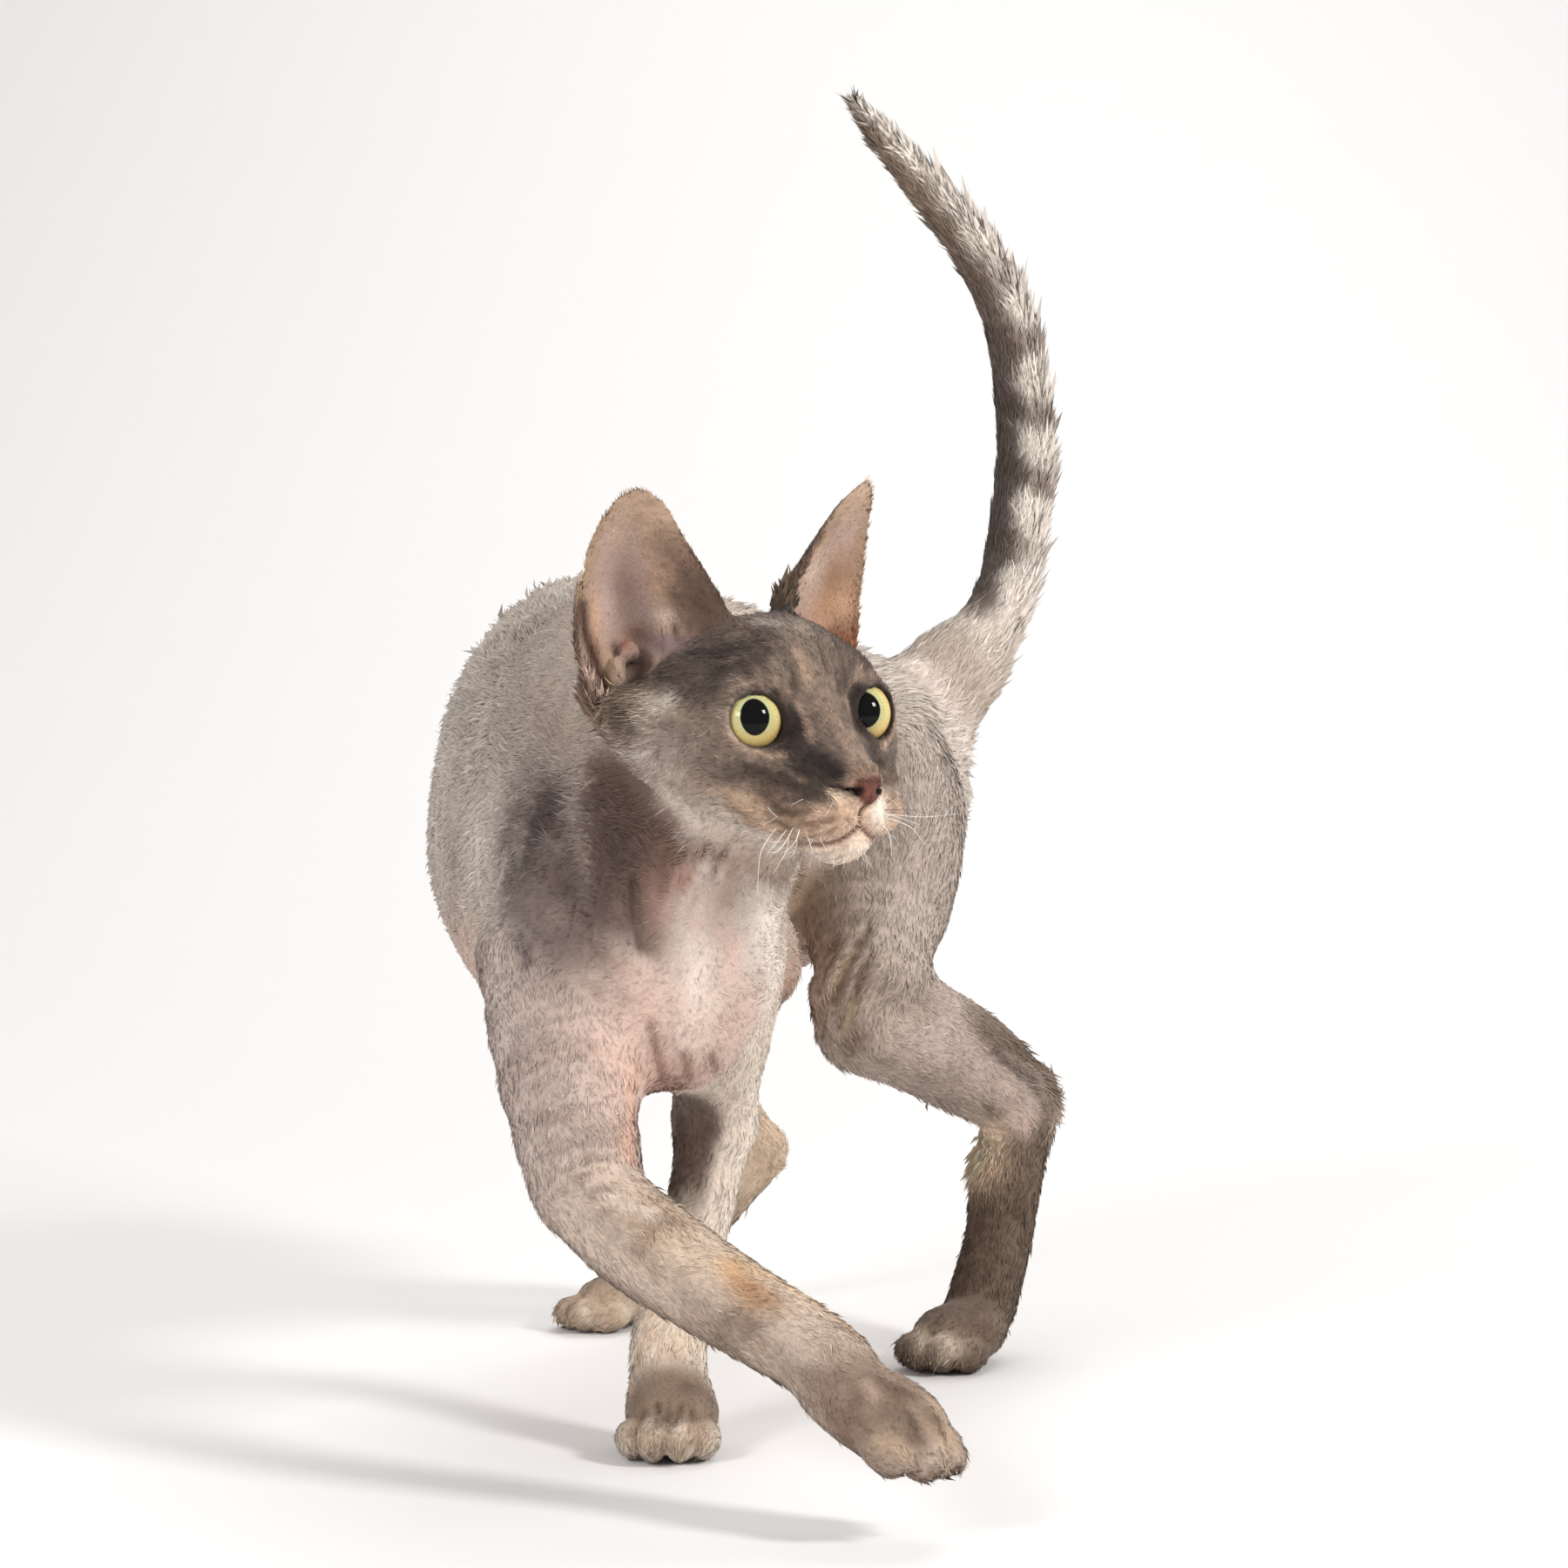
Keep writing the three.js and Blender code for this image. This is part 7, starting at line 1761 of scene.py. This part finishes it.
# ---------------------------------------------------------------- rods: whiskers, lashes of the lids, claws
def rods(name, runs, material_, sides=5):
    """each run is points with a radius at every point (mm); all joined in one mesh, closed at both ends"""
    V, T, base = [], [], 0
    for pts, rad in runs:
        pts, rad = np.asarray(pts, float), np.asarray(rad, float)
        t = np.gradient(pts, axis=0)
        t /= np.linalg.norm(t, axis=1)[:, None] + 1e-9
        a = np.cross(t, [0.31, 0.52, 0.79])
        a /= np.linalg.norm(a, axis=1)[:, None] + 1e-9
        b = np.cross(t, a)
        k = np.arange(sides) / sides * 2 * np.pi
        ring = pts[:, None] + rad[:, None, None] * (a[:, None] * np.cos(k)[None, :, None] + b[:, None] * np.sin(k)[None, :, None])
        m = len(pts)
        V.append(ring.reshape(-1, 3))
        V.append(pts[[0, -1]])
        i = base + np.arange(m * sides).reshape(m, sides)
        j = np.roll(i, -1, 1)
        T.append(np.stack([i[:-1], j[:-1], j[1:]], -1).reshape(-1, 3))
        T.append(np.stack([i[:-1], j[1:], i[1:]], -1).reshape(-1, 3))
        T.append(np.stack([np.full(sides, base + m * sides), j[0], i[0]], 1))
        T.append(np.stack([np.full(sides, base + m * sides + 1), i[-1], j[-1]], 1))
        base += m * sides + 2
    return piece(name, np.vstack(V), np.vstack(T), material_)


def hair(root, way, length, droop, curl, R, r0=0.16, n=14):
    """a bent hair: a root, a direction, its length, how it sags and waves"""
    way = unit(way)
    s = unit(np.cross(way, [0, 0, 1.0]) + 1e-6)
    u = np.cross(s, way)
    t = np.linspace(0, 1, n)
    ph, ph2 = R.rand() * 6, R.rand() * 6
    p = np.asarray(root)[None] + np.outer(t * length, way) + np.outer(-droop * length * t ** 2, [0, 0, 1.0])
    p = p + np.outer(curl * length * 0.10 * np.sin(t * 7 + ph) * t, s) + np.outer(curl * length * 0.08 * np.sin(t * 9 + ph2) * t, u)
    return p, r0 * (1 - t * 0.75)


def onto_skin(p):
    """the skin's point nearest to a place"""
    i = np.argmin(((P - p) ** 2).sum(1))
    return P[i]


# the whiskers as they lie: dark or pale, the radius at the root, the run of places
LONG_HAIRS = [
    (0, 0.15, [(-1.8, -72.7, 197.6), (-5.1, -74.7, 193.2), (-7.1, -75.7, 188.4), (-7.9, -75.7, 176.9)]),
    (0, 0.15, [(1.2, -75, 197.2), (-1.8, -77, 193.3), (-5.1, -79, 189.6)]),
    (0, 0.14, [(3, -76.8, 197.8), (0.5, -78.8, 193.4), (-1.8, -79.8, 190.6), (-4.8, -79.8, 190.1)]),
    (0, 0.14, [(4.8, -77.8, 197.8), (3.3, -79.8, 193.4), (0, -81.8, 190.2)]),
    (0, 0.15, [(1.3, -71.8, 195.1), (0.8, -73.8, 190.6), (-3.3, -75.8, 183.5)]),
    (0, 0.13, [(6.4, -76.7, 195.7), (7.4, -77.7, 193.3), (8.6, -78.7, 189.5)]),
    (0, 0.12, [(-0.5, -75.9, 206.6), (1.5, -76.9, 203.5), (4.6, -77.9, 201.7)]),
    (0, 0.12, [(-5.2, -75, 204.2), (-4.1, -76, 202.4), (-1.8, -77, 200.2)]),
    (0, 0.12, [(3.8, -74.3, 195.1), (3.6, -75.3, 191.7), (2, -76.3, 188.7)]),
    (0, 0.1, [(10.3, -76.5, 195.2), (11.2, -77.5, 192.8), (12.7, -78.5, 190.3)]),
    (0, 0.13, [(28.6, -67.8, 201.1), (31.8, -68.8, 200.8), (41, -68.8, 200.1), (50.8, -66.8, 201)]),
    (0, 0.15, [(29.3, -67.3, 200), (34.3, -68.3, 198.5), (37.9, -68.3, 196.5), (41.6, -67.3, 191.8)]),
    (0, 0.14, [(29.3, -67.5, 201.1), (33.3, -68.5, 200.1), (40, -67.5, 197.7)]),
    (0, 0.13, [(28.8, -66.6, 198.1), (30.8, -67.6, 195.4), (31.5, -67.6, 191.8), (31.8, -67.6, 187.7)]),
    (1, 0.1, [(28.6, -67.8, 202.1), (37.2, -67.8, 202.1), (43.6, -66.8, 200.8), (49.3, -66.8, 200)]),
    (1, 0.1, [(29.2, -67.1, 203.7), (34.6, -67.1, 206.7), (39.5, -66.1, 207.7)]),
]
R = np.random.RandomState(41)
pale, dark = [], []
for d_, r0, pts in LONG_HAIRS:
    run = spline(pts, 6)
    (dark if d_ else pale).append((run, r0 * (1 - 0.75 * np.linspace(0, 1, len(run)))))
# a few short ones on the chin and the lips of both sides
for side in (1, -1):
    for i in range(4):
        root = onto_skin(H(side * (3 + i * 2.4), 40 - i * 3.0, -40 + 0.4 * i))
        pale.append(hair(root, np.array([side * 0.35, 0.30, -0.9]) @ HA, 3.5 + 2 * R.rand(), 0.1, 0.8, R, 0.07))
    for i in range(5):
        root = onto_skin(H(side * (9 + i * 2.2), 41 - i * 2.6, -25 - (i % 2) * 3))
        way = np.array([side * (0.7 + 0.1 * i), 0.35 - 0.16 * i, -0.35]) + R.randn(3) * 0.12
        pale.append(hair(root, way @ HA, 4 + 3 * R.rand(), 0.2, 0.8, R, 0.08))
rods('whiskers', pale, WHISKER)
rods('whiskers_dark', dark, DARK_WHISKER)

# claws, mostly sheathed: a short hooked cone at each toe's end
runs = []
for name, c, yw, pt, sc, r in PAWS:
    A = turned(yw, pt)
    for x, y, z, rr in TOES:
        t = np.linspace(0, 1, 7)
        y0 = y + rr + 1.7
        loc = np.stack([np.full(7, x + 1.2), y0 - 3.2 + t * 3.3, z - 0.4 - 2.4 * t ** 1.8], 1) * sc
        w = np.array(c, float) + loc @ A
        w[:, 2] = np.maximum(w[:, 2], 0.9)
        runs.append((w, np.array([0.8, 0.8, 0.75, 0.66, 0.5, 0.32, 0.08])))
rods('claws', runs, HORN, 8)

# ---------------------------------------------------------------- floor, light, camera
stage_m = bpy.data.materials.new('pale_paper')
stage_m.use_nodes = True
nt = stage_m.node_tree
bs = nt.nodes['Principled BSDF']
bs.inputs['Roughness'].default_value = 0.85
bs.inputs['Specular IOR Level'].default_value = 0.15
tn = nt.nodes.new('ShaderNodeTexNoise')
tn.inputs['Scale'].default_value = 3.0
mx = nt.nodes.new('ShaderNodeMix')
mx.data_type = 'RGBA'
mx.inputs['A'].default_value = (0.82, 0.81, 0.805, 1)
mx.inputs['B'].default_value = (0.84, 0.83, 0.825, 1)
nt.links.new(tn.outputs['Fac'], mx.inputs['Factor'])
nt.links.new(mx.outputs['Result'], bs.inputs['Base Color'])
ys = np.r_[-4.0, 1.6, 1.6 + np.sin(np.linspace(0, np.pi / 2, 14)) * 1.4, 3.0]
zs = np.r_[0.0, 0.0, (1 - np.cos(np.linspace(0, np.pi / 2, 14))) * 1.4, 6.0]
V = [(x, y, z) for y, z in zip(ys, zs) for x in (-5.0, 5.0)]
Fc = [(2 * i, 2 * i + 1, 2 * i + 3, 2 * i + 2) for i in range(len(ys) - 1)]
me = bpy.data.meshes.new('floor')
me.from_pydata(V, [], Fc)
me.polygons.foreach_set('use_smooth', [True] * len(Fc))
me.update()
floor = bpy.data.objects.new('floor', me)
bpy.context.scene.collection.objects.link(floor)
me.materials.append(stage_m)

w = bpy.data.worlds.new('studio')
bpy.context.scene.world = w
w.use_nodes = True
w.node_tree.nodes['Background'].inputs['Color'].default_value = (1.0, 0.995, 0.99, 1)
w.node_tree.nodes['Background'].inputs['Strength'].default_value = WORLD_LIGHT


def lamp(name, at, to, size, watts, colour):
    L = bpy.data.lights.new(name, 'AREA')
    L.shape = 'SQUARE'
    L.size = size
    L.energy = watts
    L.color = colour
    o = bpy.data.objects.new(name, L)
    from mathutils import Vector
    o.location = at
    o.rotation_euler = (Vector(to) - Vector(at)).to_track_quat('-Z', 'Y').to_euler()
    bpy.context.scene.collection.objects.link(o)


lamp('key', (1.30, -0.80, 1.05), (0.0, 0.0, 0.22), 0.32, KEY_LIGHT, (1.0, 0.985, 0.965))
lamp('fill', (-0.90, -1.32, 0.85), (0.0, 0.0, 0.22), 0.42, FILL_LIGHT, (0.98, 0.99, 1.0))
lamp('back', (0.5, 2.0, 2.3), (0.0, 0.4, 0.2), 1.8, BACK_LIGHT, (1.0, 1.0, 1.0))

cam = bpy.data.cameras.new('camera')
cam.lens = 96.2
cam.sensor_width = 36
cam.clip_end = 50
co = bpy.data.objects.new('camera', cam)
co.location = (0.0088, -1.3819, 0.250)
co.rotation_euler = (np.radians(90 - 1.87), 0, 0)
bpy.context.scene.collection.objects.link(co)
bpy.context.scene.camera = co
bpy.context.scene.view_settings.view_transform = 'Standard'
